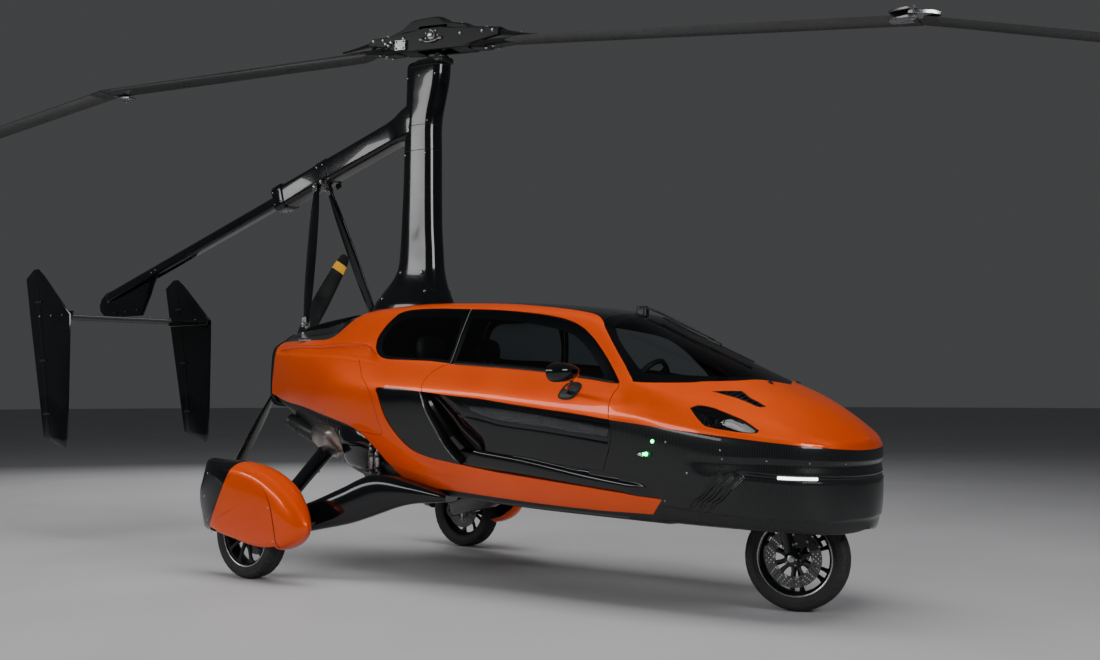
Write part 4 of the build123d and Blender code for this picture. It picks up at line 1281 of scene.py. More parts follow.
NL = beside(CREASE, (-34, -22, -10, -2, 4)) + beside(LEDG, (-18, -13, -7, 0, 7, 13, 18)) + beside(STEP, (-15, -10, -5, 0, 4))
for g in GILLS:
    NL += beside(g, (-15, -10, -5, 0, 5, 10, 15), 8.0)
nose = both(panel([gap(NOSE, 1.0)], thick=12, push=nose_push, m=(0, 0, None), lines=NL, step=17))
nose.make("nose_cowl_skin", "fuselage", CARBON, slot="black_gloss", replaces=["nose_cowl"], normals=True)
led = Geo()
k = dense(SD((2399, 644), (2470, 641), (2538, 638)), 12)
led.join(ribbon(k, 13, -9.5, 5.5))
both(led).make("nose_led", "fuselage", WHITE_LED, slot="lamp_glass", sharp=50)
bez = Geo()
k = dense(SD((2215, 657), (2287, 653), (2399, 645)), 8)
bez.join(ribbon(k, 9, -10.0, 3.0))
k = to_nose(((2538, 638), (2580, 634), (2619, 630)))
bez.join(ribbon(k, 9, -10.0, 3.0))
both(bez).make("nose_led_bezel", "fuselage", SATIN, sharp=50)
sc = Geo()
for x, z in ((1983, 653), (2158, 722), (2356, 718), (2515, 708), (2602, 700), (1850, 520), (1880, 790), (2150, 760)):
    uv = sd(x, z)
    p, n = at(uv) , surf_n([uv])[0]
    h = float(nose_push(np.array([uv]))[0])
    M = place(p + n * h, n)
    sc.join(revolve([(0.01, 0.8), (3.4, 0.8), (4.6, 0.2), (4.8, -1)], n=14), M)
    sc.join(revolve([(0.01, 0.75), (1.6, 0.75), (1.6, 1.0), (1.9, 1.0)], n=6, m=1), M)
both(sc).make("nose_screws", "fuselage", [STEEL, SEAM])
# slats inside the gills
gs = Geo()
for g in GILLS:
    k = g[2:-2]
    gs.join(ribbon(k, 12, -9.0, 1.0))
both(gs).make("nose_gill_mesh", "fuselage", MESHM)

# ------------------------------------------------------------------ headlamps

lens = panel([gap(LAMP, 3.0)], off=-1.0, thick=4, m=(0, 0, None), step=14, bstep=8)
lrim = panel([gap(LAMP, 0.5), inset(resample(LAMP, 8), 9.0)], off=-4.0, thick=18, m=(0, 0, 0), step=9, bstep=7)
LC = resample(LAMP, 8)


def bowl_push(UV):
    d, _ = dist_to(UV, np.vstack([LC, LC[:1]]))
    return -12 - 30.0 * smooth01(d / 36.0)


bowl = panel([gap(LAMP, 1.0)], off=0, thick=2, push=bowl_push, m=(0, 0, None), step=10, bstep=8)
li = Geo()


def lamp_at(x, z, depth):
    uv = sd(x, z)
    return at(uv, depth), surf_n([uv])[0]


for (x, z), r in (((2062, 902), 25), ((2112, 893), 19)):
    p, n = lamp_at(x, z, -34)
    d = unit(np.array([0.86, n[1] * 0.45, 0.1]) + n * 0.35)
    # projector: ring, barrel and glass
    li.join(revolve([(r, -10), (r + 3, -4), (r + 4.5, 4), (r + 3.5, 10), (r, 11), (r - 2, 6), (r - 3, -2)], n=36, axis=d, origin=p, m=3))
    li.join(revolve([(r - 2, 4), (r * 0.8, 9), (r * 0.5, 13), (0.01, 15)], n=32, axis=d, origin=p, m=2))
    li.join(revolve([(r + 4, 6), (r + 11, 12), (r + 13, 13)], n=36, axis=d, origin=p, m=1))
# silver reflector: a ridge from the bulb to the tip, with a facet above and one below. The facets get a pale, mostly
# diffuse grey that paints in the bright reflection a chrome reflector would show
kr = even(dense(SD((2134, 889), (2167, 884), (2195, 877), (2223, 865), (2260, 855), (2290, 845)), 8), 40)
rid, rn = surf(kr), surf_n(kr)
ku = dense(SD((2134, 898), (2158, 903), (2186, 903), (2218, 895), (2255, 877), (2290, 854)), 8)
kd = dense(SD((2138, 878), (2177, 864), (2204, 856), (2236, 848), (2264, 843), (2290, 841)), 8)
ku, kd = even(ku, 40), even(kd, 40)
top = surf(ku) + surf_n(ku) * -14
bot = surf(kd) + surf_n(kd) * -13
mid = rid + rn * -6.5
q1 = top * 0.45 + mid * 0.55 - rn * 1.5
li.join(loft([r for r in np.stack([top, q1, mid], 1)], closed=False, caps=False, m=4))
li.join(loft([r for r in np.stack([mid, bot * 0.5 + mid * 0.5 + rn * -1.5, bot], 1)], closed=False, caps=False, m=4))
p, n = lamp_at(2132, 889, -18)
d = unit(np.array([-0.9, -0.3, 0.1]))
li.join(revolve([(0.01, 6), (7, 5), (9, 2), (9, -6), (12, -8), (13, -14), (0.01, -14)], n=28, axis=d, origin=p, m=0))
# lip along the upper edge and a small parking light
k = dense(SD((1995, 947), (2060, 940), (2140, 915), (2230, 882)), 10)
P, N = surf(k), surf_n(k)
a, b = P + N * -9, P + N * -26 + (0, 0, -9)
li.join(loft([r for r in np.stack([a, b, b + (0, 0, 3), a + (0, 0, 3)], 1)], closed=True, m=1))
p, n = lamp_at(2075, 874, -20)
li.join(revolve([(0.01, 8), (5, 7), (8, 3), (9, -4), (9, -10)], n=24, axis=n, origin=p, m=0))
both(lens).make("headlamp_lens", "fuselage", LENS, slot="lamp_glass", replaces=["headlamps"], normals=True)
both(lrim).make("headlamp_rim", "fuselage", SATIN, normals=True)
both(bowl).make("headlamp_bowl", "fuselage", mat("lamp_bowl", (0.05, 0.052, 0.055), 0.3, metal=0.6, var=0.1), normals=True)
# the last material, a pale mostly diffuse grey on the reflector facets, is a painted reflection in place of chrome
both(li).make("headlamp_internals", "fuselage", [CHROME, SATIN, LENS, STEEL, mat("reflector_painted_reflection", (0.72, 0.71, 0.68), 0.34, metal=0.25, var=0.10, vscale=30)], sharp=35)

# hood vents: a frame, a dark tray under it and slats across
vent = panel([gap(VENT, 0.8), inset(resample(VENT, 7), 6.0)], off=0.6, thick=14, m=(0, 0, 0), bstep=6, step=8)
both(vent).make("hood_vent_frame", "fuselage", SATIN, normals=True)
vm = panel([gap(VENT, 3)], off=-12, thick=2, m=(0, 0, None), step=12)
both(vm).make("hood_vent_tray", "fuselage", SEAM, normals=True)
vs = Geo()
IV = inset(resample(VENT, 4), 5.0)
for i in range(9):
    a, b = np.array(pl(2040 + 26 * i, 372)), np.array(pl(2075 + 28 * i, 290))
    q = a + (b - a) * np.linspace(0, 1, 80)[:, None]
    q = q[inside(q, IV)]
    if len(q) > 4:
        q = even(q, 12)
        P, N = surf(q), surf_n(q)
        t = unit(P[-1] - P[0])
        f = np.cross(N, t)
        r = [P + N * -2 - f * 2, P + N * -2 + f * 1.2, P + N * -10 + f * 7, P + N * -10 + f * 4]
        vs.join(loft([x for x in np.stack(r, 1)], closed=True, caps=True))
both(vs).make("hood_vent_slats", "fuselage", TRIM, weld=0.02, sharp=35)
nz = Geo()
for y in (139,):
    uv = pl(2204, y)
    p, n = at(uv), surf_n([uv])[0]
    M = place(p, n, (1, 0, 0))
    nz.join(loft([np.column_stack([super_ring(a, b, 2.4, 20), np.full(20, h)]) for a, b, h in ((13, 9, -2), (13, 9, 2), (11.5, 7.5, 6), (8, 5, 8.5), (2, 1, 9.2))]), M)
both(nz).make("washer_nozzles", "fuselage", SATIN, weld=0.02, sharp=40)

# ------------------------------------------------------------------ floor skin and engine cowl

FLOORL = chain(centre(300, 1788, 0), BT((1788, 0), (1788, 300)), SD((1788, 448), (1761, 449)), sp([p for p in LOWER if p[0] >= 285]), [sd(290, 506)], BT((290, 280), (290, 0)))


def floor_push(UV):
    h = np.zeros(len(UV))
    for y in (95, 285):
        d, s = dist_to(UV, dense(BT((380, y), (900, y), (1500, y), (1700, y)), 4))
        h -= 7.0 * smooth01(1 - d / 26.0)
    for x in (520, 980, 1240, 1640):
        d, s = dist_to(UV, np.array(BT((x, 0), (x, 330))))
        h -= 5.0 * smooth01(1 - d / 22.0)
    return h


floor_skin = both(panel([gap(FLOORL, 0.8)], off=-1, thick=6, push=floor_push, m=(0, 0, None), step=20))
floor_skin.make("floor_skin", "fuselage", SATIN, slot="black_trim", normals=True)
COWL = chain(centre(-1150, 288, 0), BT((288, 0), (288, 280)), [sd(288, 506)], sp([p for p in LOWER if p[0] <= 285]), [sd(-1150, 1000)], )
COWL = resample(np.array(COWL), 16)


def cowl_push(UV):
    edge = sp([p for p in LOWER if p[0] <= 285])
    d, s = dist_to(UV, edge)
    h = -10.0 - 26.0 * smooth01(d / 60.0)
    # ribs stand up from the cowl, one every 46 mm
    f = smooth01((d - 10) / 22) * smooth01((104 - d) / 30) * smooth01((float(s_of(-250)) - UV[:, 0]) / 90) * smooth01((UV[:, 0] - 40) / 60)
    return h + 9.0 * f * np.clip(np.cos(UV[:, 0] * 2 * math.pi / 46.0), -0.2, 1)


gx = np.arange(12, float(s_of(110)), 46 / 6.0)
gy = np.arange(8, 1000, 17.0)
ex = np.array([(x, y) for x in gx for y in gy])
cowl = panel([gap(COWL, 1.0)], thick=5, push=cowl_push, m=(0, 0, None), extra=ex, step=19, bstep=9)
both(cowl).make("engine_cowl_skin", "fuselage", SATIN, slot="black_trim", replaces=["engine_cowl"], normals=True)
tail_cap = Geo()
ring = SURF[1].copy()
ring = np.vstack([ring, (SURF[1] * (1, -1, 1))[::-1][1:-1]])
ring = ring[::3]
c0 = ring.mean(0)
rows = []
for f, dx in ((1.0, 0), (0.985, -3), (0.96, 6), (0.93, 14), (0.6, 16), (0.2, 18), (0.01, 18)):
    q = (ring - c0) * (1, f, f) + c0
    q[:, 0] = ring[:, 0] + dx * 1.0
    rows.append(q)
tail_cap.join(loft(rows, closed=True, caps=False))
tail_cap.make("rear_bulkhead_skin", "fuselage", SATIN, weld=0.05, sharp=30)

# ------------------------------------------------------------------ wheels


def tyre_geo():
    prof = [(176.5, -44), (180, -47.5), (188, -52), (200, -56.5), (204, -58.3), (207, -57.6), (216, -58.5), (225, -57.2), (229.5, -55), (230.2, -53.6),
            (235, -50.5), (239.3, -45), (242.2, -38.5), (243.2, -34.5), (240.4, -34), (240.4, -30.2), (243.8, -29.7), (244.6, -22), (244.9, -16.2),
            (241.4, -15.7), (241.4, -11.9), (245, -11.4), (245, -5), (245, 0)]
    prof = prof + [(r, -y) for r, y in prof[-2::-1]]
    prof += [(172, 40), (172, -40)]
    n = 180
    a = np.linspace(0, 2 * math.pi, n, endpoint=False)
    rings = []
    for i, t in enumerate(a):
        row = []
        for r, y in prof:
            rr, yy = r, y
            ay = abs(y)
            if 37 < ay < 54 and r > 229.8 and i % 5 == 0:
                rr = r - 4.2
            if 17 < ay < 29.9 and r > 242 and (i + (2 if y > 0 else 0)) % 5 == 1:
                rr = r - 3.2
            if ay < 11 and r > 243 and (i + 3) % 5 == 1:
                rr = r - 2.8
            if 205 < r < 226 and ay > 56 and i % 3 == 0:
                yy = y * 0.996
            row.append((rr * math.cos(t), yy, rr * math.sin(t)))
        rings.append(row)
    rings.append(rings[0])
    g = loft(rings, closed=True, caps=False, uvs=False)
    return g


def barrel(lip=True):
    g = Geo()
    out = [(177, 45), (177.5, 30), (172, 28), (168, 20), (168, -26), (172, -32), (177.5, -34), (177.5, -46)]
    face = [(177.5, -46), (180.5, -47.5), (181, -49), (178, -50), (174, -48.5), (171.5, -44), (170.5, -38)]
    inn = [(170.5, -38), (163, -33), (158.5, -24), (157.5, 0), (158.5, 20), (165, 34), (172, 43), (177, 45)]
    ax = (0, 1, 0)
    g.join(revolve(out, n=96, axis=ax, m=0))
    g.join(revolve(face, n=96, axis=ax, m=1))
    g.join(revolve(inn, n=96, axis=ax, m=0))
    return g


def spoke_wheel():
    """a ten-spoke alloy wheel, face towards -Y"""
    g = barrel()
    for i in range(10):
        a = 2 * math.pi * i / 10
        M = np.eye(4)
        M[:3, :3] = np.column_stack([(math.cos(a), 0, math.sin(a)), (0, 1, 0), (-math.sin(a), 0, math.cos(a))])
        rows = []
        for r, w, y, th in ((30, 15, -26, 34), (48, 12, -29, 30), (75, 10, -33, 20), (105, 9.5, -35, 16), (135, 11, -37, 16), (152, 15, -38, 20), (163, 24, -38, 26)):
            ring = super_ring(w, th / 2, 3.0, 16)
            rows.append([(r, y + th / 2 - 8 + q[1], q[0]) for q in ring])
        rows = [spline(np.array([row[k] for row in rows]), 3) for k in range(16)]
        rows = np.transpose(np.array(rows), (1, 0, 2))
        g.join(loft(rows, m=0), M)
        # sections for a second, finer leg of each spoke, which are not added to the wheel
        b = a + math.radians(18)
        M2 = np.eye(4)
        M2[:3, :3] = np.column_stack([(math.cos(b), 0, math.sin(b)), (0, 1, 0), (-math.sin(b), 0, math.cos(b))])
        rows = []
        for r, w, y, th in ((118, 5, -28, 10), (140, 6, -32, 11), (163, 9, -34, 14)):
            ring = super_ring(w, th / 2, 3.0, 12)
            rows.append([(r, y + q[1], q[0]) for q in ring])
    ax = (0, 1, 0)
    g.join(revolve([(0.01, -36), (16, -36), (19, -34), (20, -30), (36, -29), (44, -25), (47, -17), (47, 22), (40, 26), (14.5, 26)], n=48, axis=ax, m=0))
    for i in range(5):
        a = 2 * math.pi * (i + 0.5) / 5
        g.join(bolt((30 * math.cos(a), -29, 30 * math.sin(a)), (0, -1, 0), 5.5, 7, m=2))
    a = math.radians(200)
    g.join(tube([(150 * math.cos(a), -30, 150 * math.sin(a)), (156 * math.cos(a), -40, 156 * math.sin(a)), (157 * math.cos(a), -46, 157 * math.sin(a))], 3.2, 8, m=3))
    return g


def disc_geo(r0, r1, y0, y1, holes, m=0):
    """a brake disc about the Y axis with rows of holes"""
    loops = [np.array([(r1 * math.cos(t), r1 * math.sin(t)) for t in np.linspace(0, 2 * math.pi, 97)[:-1]])]
    loops.append(np.array([(r0 * math.cos(t), r0 * math.sin(t)) for t in np.linspace(0, 2 * math.pi, 73)[:-1]]))
    for r, n, d, tw in holes:
        for i in range(n):
            a = 2 * math.pi * (i + tw) / n
            c = np.array([r * math.cos(a), r * math.sin(a)])
            loops.append(np.array([c + (d * math.cos(t), d * math.sin(t)) for t in np.linspace(0, 2 * math.pi, 9)[:-1]]))
    V, F, idx = mesh2d(loops, 9.0)
    g = Geo()
    A = np.column_stack([V[:, 0], np.full(len(V), y0), V[:, 1]])
    B = np.column_stack([V[:, 0], np.full(len(V), y1), V[:, 1]])
    g.add(A, F, m)
    g.add(B, F[:, ::-1], m)
    for k, ids in enumerate(idx):
        n = len(ids)
        rows = np.concatenate([A[ids], B[ids]])
        f = [(i, n + i, n + (i + 1) % n, (i + 1) % n) for i in range(n)]
        g.add(rows, [q[::-1] for q in f] if k == 0 else f, m)
    return g


TYRE = tyre_geo()
for who, sy in (("right", -1), ("left", 1)):
    M = np.eye(4)
    M[:3, 3] = (-580, sy * 887, 245)
    if sy > 0:
        M[:3, :3] = np.diag([-1, -1, 1])
    body = who + "_rear_wheel"
    Geo().join(TYRE, M).make(who + "_rear_tyre_tread", body, RUBBER, slot="tyre_rubber", replaces=[who + "_rear_tyre"], weld=0.02, sharp=28)
    Geo().join(spoke_wheel(), M).make(who + "_rear_alloy", body, [ALLOY, LIP, STEEL, RUBBER], slot="alloy_wheel", replaces=[who + "_rear_rim"], sharp=32)
    d = disc_geo(62, 122, 34, 39, ((78, 20, 3.2, 0), (92, 24, 3.2, 0.3), (106, 28, 3.2, 0.6)))
    d.join(revolve([(14.5, 26), (58, 28), (64, 34), (64, 39), (56, 40), (14.5, 40)], n=40, axis=(0, 1, 0), m=1))
    Geo().join(d, M).make(who + "_rear_disc", body, [DISC, SATIN], sharp=32)

# front wheel, fork and steering, in the fork's own axes
CY, SY = math.cos(math.radians(-15)), math.sin(math.radians(-15))
RY = np.array([[CY, 0, SY], [0, 1, 0], [-SY, 0, CY]])
c11, s11 = math.cos(math.radians(11)), math.sin(math.radians(11))
RZ = np.array([[c11, -s11, 0], [s11, c11, 0], [0, 0, 1]])
MF = np.eye(4)
MF[:3, :3] = RY @ RZ
MF[:3, 3] = (2262, 0, 245.29)
Geo().join(TYRE, MF).make("front_tyre_tread", "front_wheel", RUBBER, slot="tyre_rubber", replaces=["front_tyre"], weld=0.02, sharp=28)
g = barrel()
for i in range(6):
    a = 2 * math.pi * (i + 0.25) / 6
    M = np.eye(4)
    M[:3, :3] = np.column_stack([(math.cos(a), 0, math.sin(a)), (0, 1, 0), (-math.sin(a), 0, math.cos(a))])
    for off in (-0.18, 0.18):
        rows = []
        for r, w, y, th in ((34, 9, -6, 30), (70, 7.5, -4, 22), (110, 8, 0, 18), (140, 10, 2, 20), (163, 16, 4, 28)):
            z0 = math.sin(off) * r * 0.9
            ring = super_ring(w, th / 2, 3.0, 14)
            rows.append([(r, y + q[1], z0 + q[0]) for q in ring])
        g.join(loft(rows, m=0), M)
g.join(revolve([(14.5, -34), (30, -34), (42, -30), (46, -22), (46, 22), (42, 30), (30, 34), (14.5, 34)], n=48, axis=(0, 1, 0), m=0))
Geo().join(g, MF).make("front_alloy", "front_wheel", [ALLOY, LIP], slot="alloy_wheel", replaces=["front_rim"], sharp=32)
d = disc_geo(84, 135, -72, -66.5, ((96, 26, 3.4, 0), (107, 30, 3.4, 0.4), (118, 34, 3.4, 0.8), (128, 38, 2.6, 0.2)))
# floating carrier with ten arms and bobbins
for i in range(10):
    a = 2 * math.pi * i / 10
    M = np.eye(4)
    M[:3, :3] = np.column_stack([(math.cos(a), 0, math.sin(a)), (0, 1, 0), (-math.sin(a), 0, math.cos(a))])
    rows = [[(r, y + q[1], q[0]) for q in super_ring(w, 3.2, 3.0, 12)] for r, w, y in ((40, 11, -62), (60, 7, -66), (80, 8, -69.5), (90, 10, -69.5))]
    d.join(loft(rows, m=1), M)
    c, s = math.cos(a + 0.31) * 87, math.sin(a + 0.31) * 87
    d.join(revolve([(0.01, 0), (6, 0), (7, 1), (7, 3), (4, 3.6), (0.01, 3.0)], n=14, axis=(0, -1, 0), origin=(c, -71.5, s), m=2))
d.join(revolve([(14.5, -36), (36, -36), (44, -44), (44, -64), (40, -68), (26, -69), (14.5, -69)], n=40, axis=(0, 1, 0), m=1))
for i in range(6):
    a = 2 * math.pi * (i + 0.5) / 6
    d.join(bolt((34 * math.cos(a), -68.6, 34 * math.sin(a)), (0, -1, 0), 4.2, 5, m=2))
Geo().join(d, MF).make("front_disc", "front_wheel", [DISC, SATIN, STEEL], slot="steel", replaces=["front_brake_disc"], sharp=32)


def sect_loft(rows, m=0, n=28, power=2.8, k=4, axis="z"):
    """rows: centre (x, y, z), half sizes a and b in the plane square to the axis"""
    R = np.array([(*c, a, b) for c, a, b in rows], float)
    R = spline(R, k) if k > 1 else R
    out = []
    for x, y, z, a, b in R:
        q = super_ring(a, b, power, n)
        if axis == "z":
            out.append([(x + u, y + v, z) for u, v in q])
        elif axis == "y":
            out.append([(x + u, y, z - v) for u, v in q])
        else:
            out.append([(x, y + u, z + v) for u, v in q])
    return loft(out, m=m)


f = Geo()
for s in (-1, 1):
    f.join(sect_loft([((0, s * 91, -26), 17, 9), ((0, s * 91, -16), 27, 11.5), ((0, s * 91, 0), 31, 13), ((2, s * 92, 24), 29, 12), ((4, s * 92, 70), 30, 12), ((4, s * 91, 180), 36, 14.5), ((2, s * 86, 260), 42, 20), ((0, s * 80, 306), 46, 25)]))
    f.join(revolve([(0.01, 0), (17, 0), (19, 2), (19, 7), (16, 9), (9, 9.5), (8, 12), (0.01, 12)], n=6, axis=(0, s, 0), origin=(0, s * 103, 0), m=1))
    f.join(revolve([(14, -3), (29, -3), (31, -1), (31, 2), (24, 3), (14, 3)], n=36, axis=(0, s, 0), origin=(0, s * 103, 0), m=0))
    f.join(revolve([(14, 0), (24, 0), (26, 4), (22, 9), (14, 9)], n=30, axis=(0, -s, 0), origin=(0, s * 79.5, 0), m=1))
    for x, z in ((-22, -10), (22, -10), (-24, 60), (26, 60)):
        f.join(bolt((x, s * (104 if abs(z) < 30 else 103.6), z), (0, s, 0), 4.5, 5, m=1))
f.join(tube([(0, -104, 0), (0, 104, 0)], 13.9, 24, m=1))
f.join(extrude(round_rect(128, 216, 26), 286, 334, bev=5))
f.join(tube([(0, 0, 330), (0, 0, 598)], 29.5, 32, m=1))
# caliper: two halves over the disc, with pistons, bolts and a bridge
def arc(r0, r1, a0, a1, k=10):
    t = np.radians(np.linspace(a0, a1, k))
    return np.vstack([np.column_stack([r1 * np.cos(t), r1 * np.sin(t)]), np.column_stack([r0 * np.cos(t), r0 * np.sin(t)])[::-1]])


def xz(outline, y0, y1, m=0, bev=0.0):
    # an outline in x and z, thick along y
    M = np.eye(4)
    M[:3, :3] = np.column_stack([(1, 0, 0), (0, 0, 1), (0, -1, 0)])
    return extrude(outline, -y1, -y0, M, m=m, bev=bev)


cal = Geo()
cal.join(xz(arc(92, 149, 8, 58), -94, -78, bev=3))
cal.join(xz(arc(96, 149, 10, 56), -61, -49, bev=3))
cal.join(xz(arc(140, 149.5, 8, 20), -80, -58, bev=1))
cal.join(xz(arc(140, 149.5, 46, 58), -80, -58, bev=1))
cal.join(xz(arc(140, 149.5, 28, 38), -80, -58, bev=1))
for a in (20, 46):
    t = math.radians(a)
    cal.join(revolve([(0.01, 6), (13, 6), (15, 4), (16, 0), (16, -3)], n=28, axis=(0, -1, 0), origin=(120 * math.cos(t), -92, 120 * math.sin(t))))
for a in (11, 33, 55):
    t = math.radians(a)
    cal.join(bolt((143 * math.cos(t), -94, 143 * math.sin(t)), (0, -1, 0), 4.5, 5, m=1))
cal.join(xz(np.array([(30, 40), (96, 34), (110, 70), (88, 122), (40, 128), (18, 100)]), -97, -91, bev=2))
for x, z in ((38, 62), (36, 104), (92, 60), (84, 108)):
    cal.join(bolt((x, -97, z), (0, -1, 0), 5, 5, m=1))
cal.join(tube(spline([(92, -92, 100), (80, -97, 150), (50, -100, 200), (20, -98, 262), (10, -96, 300)], 8), 3.6, 8, m=2))
Geo().join(f, MF).make("front_fork_legs", "front_fork", [BLACK, STEEL], slot="black_gloss", replaces=["front_fork"], sharp=35)
Geo().join(cal, MF).make("front_caliper", "front_fork", [SATIN, STEEL, SEAL], sharp=35)

# steering head: boxed tubes behind the fork
MH = np.eye(4)
MH[:3, :3] = RY
MH[:3, 3] = (2262, 0, 245.29)
h = Geo()
h.join(revolve([(30.3, 360), (52, 360), (55, 364), (55, 380), (50, 384), (50, 536), (55, 540), (55, 556), (52, 560), (30.3, 560)], n=40))
for z0, z1 in ((392, 448), (482, 538)):
    rows = [[(x, q[0], (z0 + z1) / 2 + q[1]) for q in round_rect(w, z1 - z0, 8, 3)] for x, w in ((-46, 96), (-120, 110), (-300, 118), (-420, 120))]
    h.join(loft([np.array(r)[::-1] for r in rows]))
h.join(xz(np.array([(-60, 446), (-60, 484), (-410, 484), (-410, 446)]), -30, -24))
h.join(xz(np.array([(-60, 446), (-60, 484), (-410, 484), (-410, 446)]), 24, 30))
Geo().join(h, MH).make("steering_head_weldment", "fuselage", SATIN, slot="black_trim", replaces=["steering_head"], sharp=35, weld=0.02)

# ------------------------------------------------------------------ rear arms, struts and wheel fairings

arms = Geo()
R = spline(np.array([(-612, -774, 258, 26, 50), (-585, -768, 262, 34, 60), (-480, -733, 290, 44, 68), (-300, -668, 339, 54, 80), (-120, -600, 400, 58, 100), (50, -532, 468, 62, 106), (220, -462, 478, 76, 66), (400, -396, 462, 90, 34), (440, -382, 457, 90, 26)], float), 6)
rings = []
for i, (x, y, z, a, b) in enumerate(R):
    d = unit(R[min(i + 1, len(R) - 1)][:3] - R[max(i - 1, 0)][:3])
    s = unit(np.cross((0, 0, 1), d))
    u = np.cross(d, s)
    rings.append([np.array((x, y, z)) + s * q[0] + u * q[1] for q in super_ring(a, b, 2.7, 32)])
arms.join(loft(rings, m=0))
arms.join(tube([(-580, -758, 245), (-580, -906, 245)], 13.9, 24, m=1))
arms.join(revolve([(0.01, 0), (15, 0), (17, 2), (17, 9), (14, 11), (0.01, 11)], n=6, axis=(0, -1, 0), origin=(-580, -906, 245), m=1))
arms.join(revolve([(13.9, -44), (36, -44), (42, -38), (44, -26), (40, -16), (30, -12), (13.9, -12)], n=36, axis=(0, -1, 0), origin=(-580, -776, 245), m=0))
# brake caliper on the arm
cal = Geo()
cal.join(xz(arc(88, 132, 95, 150), 32 - 22, 31, bev=3))
cal.join(xz(arc(88, 132, 95, 150), 42, 55, bev=3))
cal.join(xz(arc(126, 134, 95, 150), 28, 46, bev=1))
M = np.eye(4)
M[:3, 3] = (-580, -887, 245)
M2 = M.copy()
arms.join(cal, M2)
arms.join(xz(np.array([(-560, 255), (-600, 262), (-690, 300), (-686, 330), (-640, 356), (-600, 340), (-556, 300)]), -826, -818, bev=2), None)
arms.join(tube([(-640, -818, 300), (-600, -780, 290)], 14, 12))
arms.join(tube([(-455, -720, 178), (-455, -720, 179)], 4, 6))
# tie-down ring
ring = np.array([(0, -720 + 19 * math.cos(t), 190 + 19 * math.sin(t)) for t in np.linspace(0, 2 * math.pi, 29)])
a = np.linspace(0, 2 * math.pi, 11)[:-1]
rr = []
for t in np.linspace(0, 2 * math.pi, 41):
    c = np.array([-455, -720 + 16.5 * math.cos(t), 190 + 16.5 * math.sin(t)])
    o = np.array([0, math.cos(t), math.sin(t)])
    rr.append([c + o * 6.2 * math.cos(b) + np.array([1, 0, 0]) * 6.2 * math.sin(b) for b in a])
arms.join(loft(rr, caps=False, m=1))
arms.join(box(-462, -448, -739, -701, 210, 284, m=1))
# pivots and bolts along the arm
for x, y, z, n in ((-505, -776, 318, (0, -1, 0.25)), (-455, -768, 322, (0, -1, 0.25)), (300, -508, 470, (0, -1, 0.3)), (380, -480, 476, (0, -1, 0.3)), (-570, -806, 300, (0, -1, 0)), (-560, -804, 250, (0, -1, 0))):
    arms.join(bolt((x, y, z), n, 7, 7, m=1))
st = Geo()
A0, B0 = np.array((-600, -296, 694.0)), np.array((-585, -738, 326.0))
d = unit(B0 - A0)
L = np.linalg.norm(B0 - A0)
rows = []
for t, r in ((0, 40), (0.02, 46), (0.10, 47), (0.12, 44), (0.5, 41), (0.86, 43), (0.88, 47), (0.98, 47), (1.0, 42)):
    c = A0 + d * L * t
    F = frame_at(d, (1, 0, 0))
    rows.append([c + F[:, 0] * q[0] * 1.12 + F[:, 1] * q[1] * 0.92 for q in super_ring(r, r, 2.2, 28)])
st.join(loft(rows))
for t in (0.06, 0.92):
    c = A0 + d * L * t
    F = frame_at(d, (1, 0, 0))
    for k in (-1, 1):
        st.join(bolt(c + F[:, 0] * k * 52, F[:, 0] * k, 7, 7, m=1))
        st.join(bolt(c + F[:, 1] * k * 42, F[:, 1] * k, 6, 6, m=1))
for f in (0.30, 0.62):
    c = A0 + d * L * f
    F = frame_at(d, (1, 0, 0))
    st.join(tube([c - F[:, 0] * 20 - F[:, 1] * 42, c + F[:, 0] * 20 - F[:, 1] * 42], 5, 8, m=1))
both(arms).make("swing_arms", "fuselage", [BLACK, STEEL], slot="black_gloss", replaces=["rear_arms"], sharp=35)
both(st).make("arm_struts", "fuselage", [BLACK, STEEL], slot="black_gloss", replaces=["rear_struts"], sharp=35)

SPAT = np.array([(-112, 300), (-140, 366), (-190, 430), (-255, 497), (-330, 546), (-420, 589), (-520, 617), (-610, 630), (-700, 636), (-790, 640), (-870, 643), (-905, 643), (-932, 636), (-962, 584), (-1000, 510), (-1024, 452), (-1020, 390), (-990, 318), (-957, 250), (-860, 232), (-760, 214), (-625, 190), (-500, 168), (-400, 162), (-300, 172), (-225, 194), (-150, 242)], float)
SP = resample(spline(SPAT, 6, closed=True), 18)
cs = np.array([-560.0, 405.0])
YC = -895.0


def taper(r):
    """Plan shape of a fairing: a round nose, and sides that meet in a thin tail."""
    r = np.array(r, float)
    s = np.clip((-100 - r[:, 0]) / 260.0, 0, 1)
    t = np.clip((-745 - r[:, 0]) / 285.0, 0, 1)
    w = np.sqrt(np.clip(1 - (1 - s) ** 2, 0.0, 1)) * (1 - 0.88 * t ** 1.35)
    r[:, 1] = YC + (r[:, 1] - YC) * w
    return r


rows = []
q26 = inset(SP, 26)
for y, d in ((-806, 24), (-811, 17), (-828, 8), (-855, 2), (-893, 0), (-918, 2), (-938, 7), (-954, 15), (-966, 26)):
    q = inset(SP, d) if d else SP
    rows.append(taper(np.column_stack([q[:, 0], np.full(len(q), y), q[:, 1]])))
for y, f in ((-974, 0.955), (-979.5, 0.895), (-983, 0.80), (-985, 0.62), (-986, 0.35), (-986, 0.00015)):
    q = (q26 - cs) * f + cs
    rows.append(taper(np.column_stack([q[:, 0], np.full(len(q), y), q[:, 1]])))
inn = []
q30 = inset(SP, 30)
for y, d in ((-806, 24), (-812, 20), (-850, 6), (-915, 5.5), (-948, 18), (-961, 30)):
    q = inset(SP, d)
    inn.append(taper(np.column_stack([q[:, 0], np.full(len(q), y), q[:, 1]])))
for y, f in ((-973, 0.88), (-979, 0.6), (-980, 0.00015)):
    q = (q30 - cs) * f + cs
    inn.append(taper(np.column_stack([q[:, 0], np.full(len(q), y), q[:, 1]])))


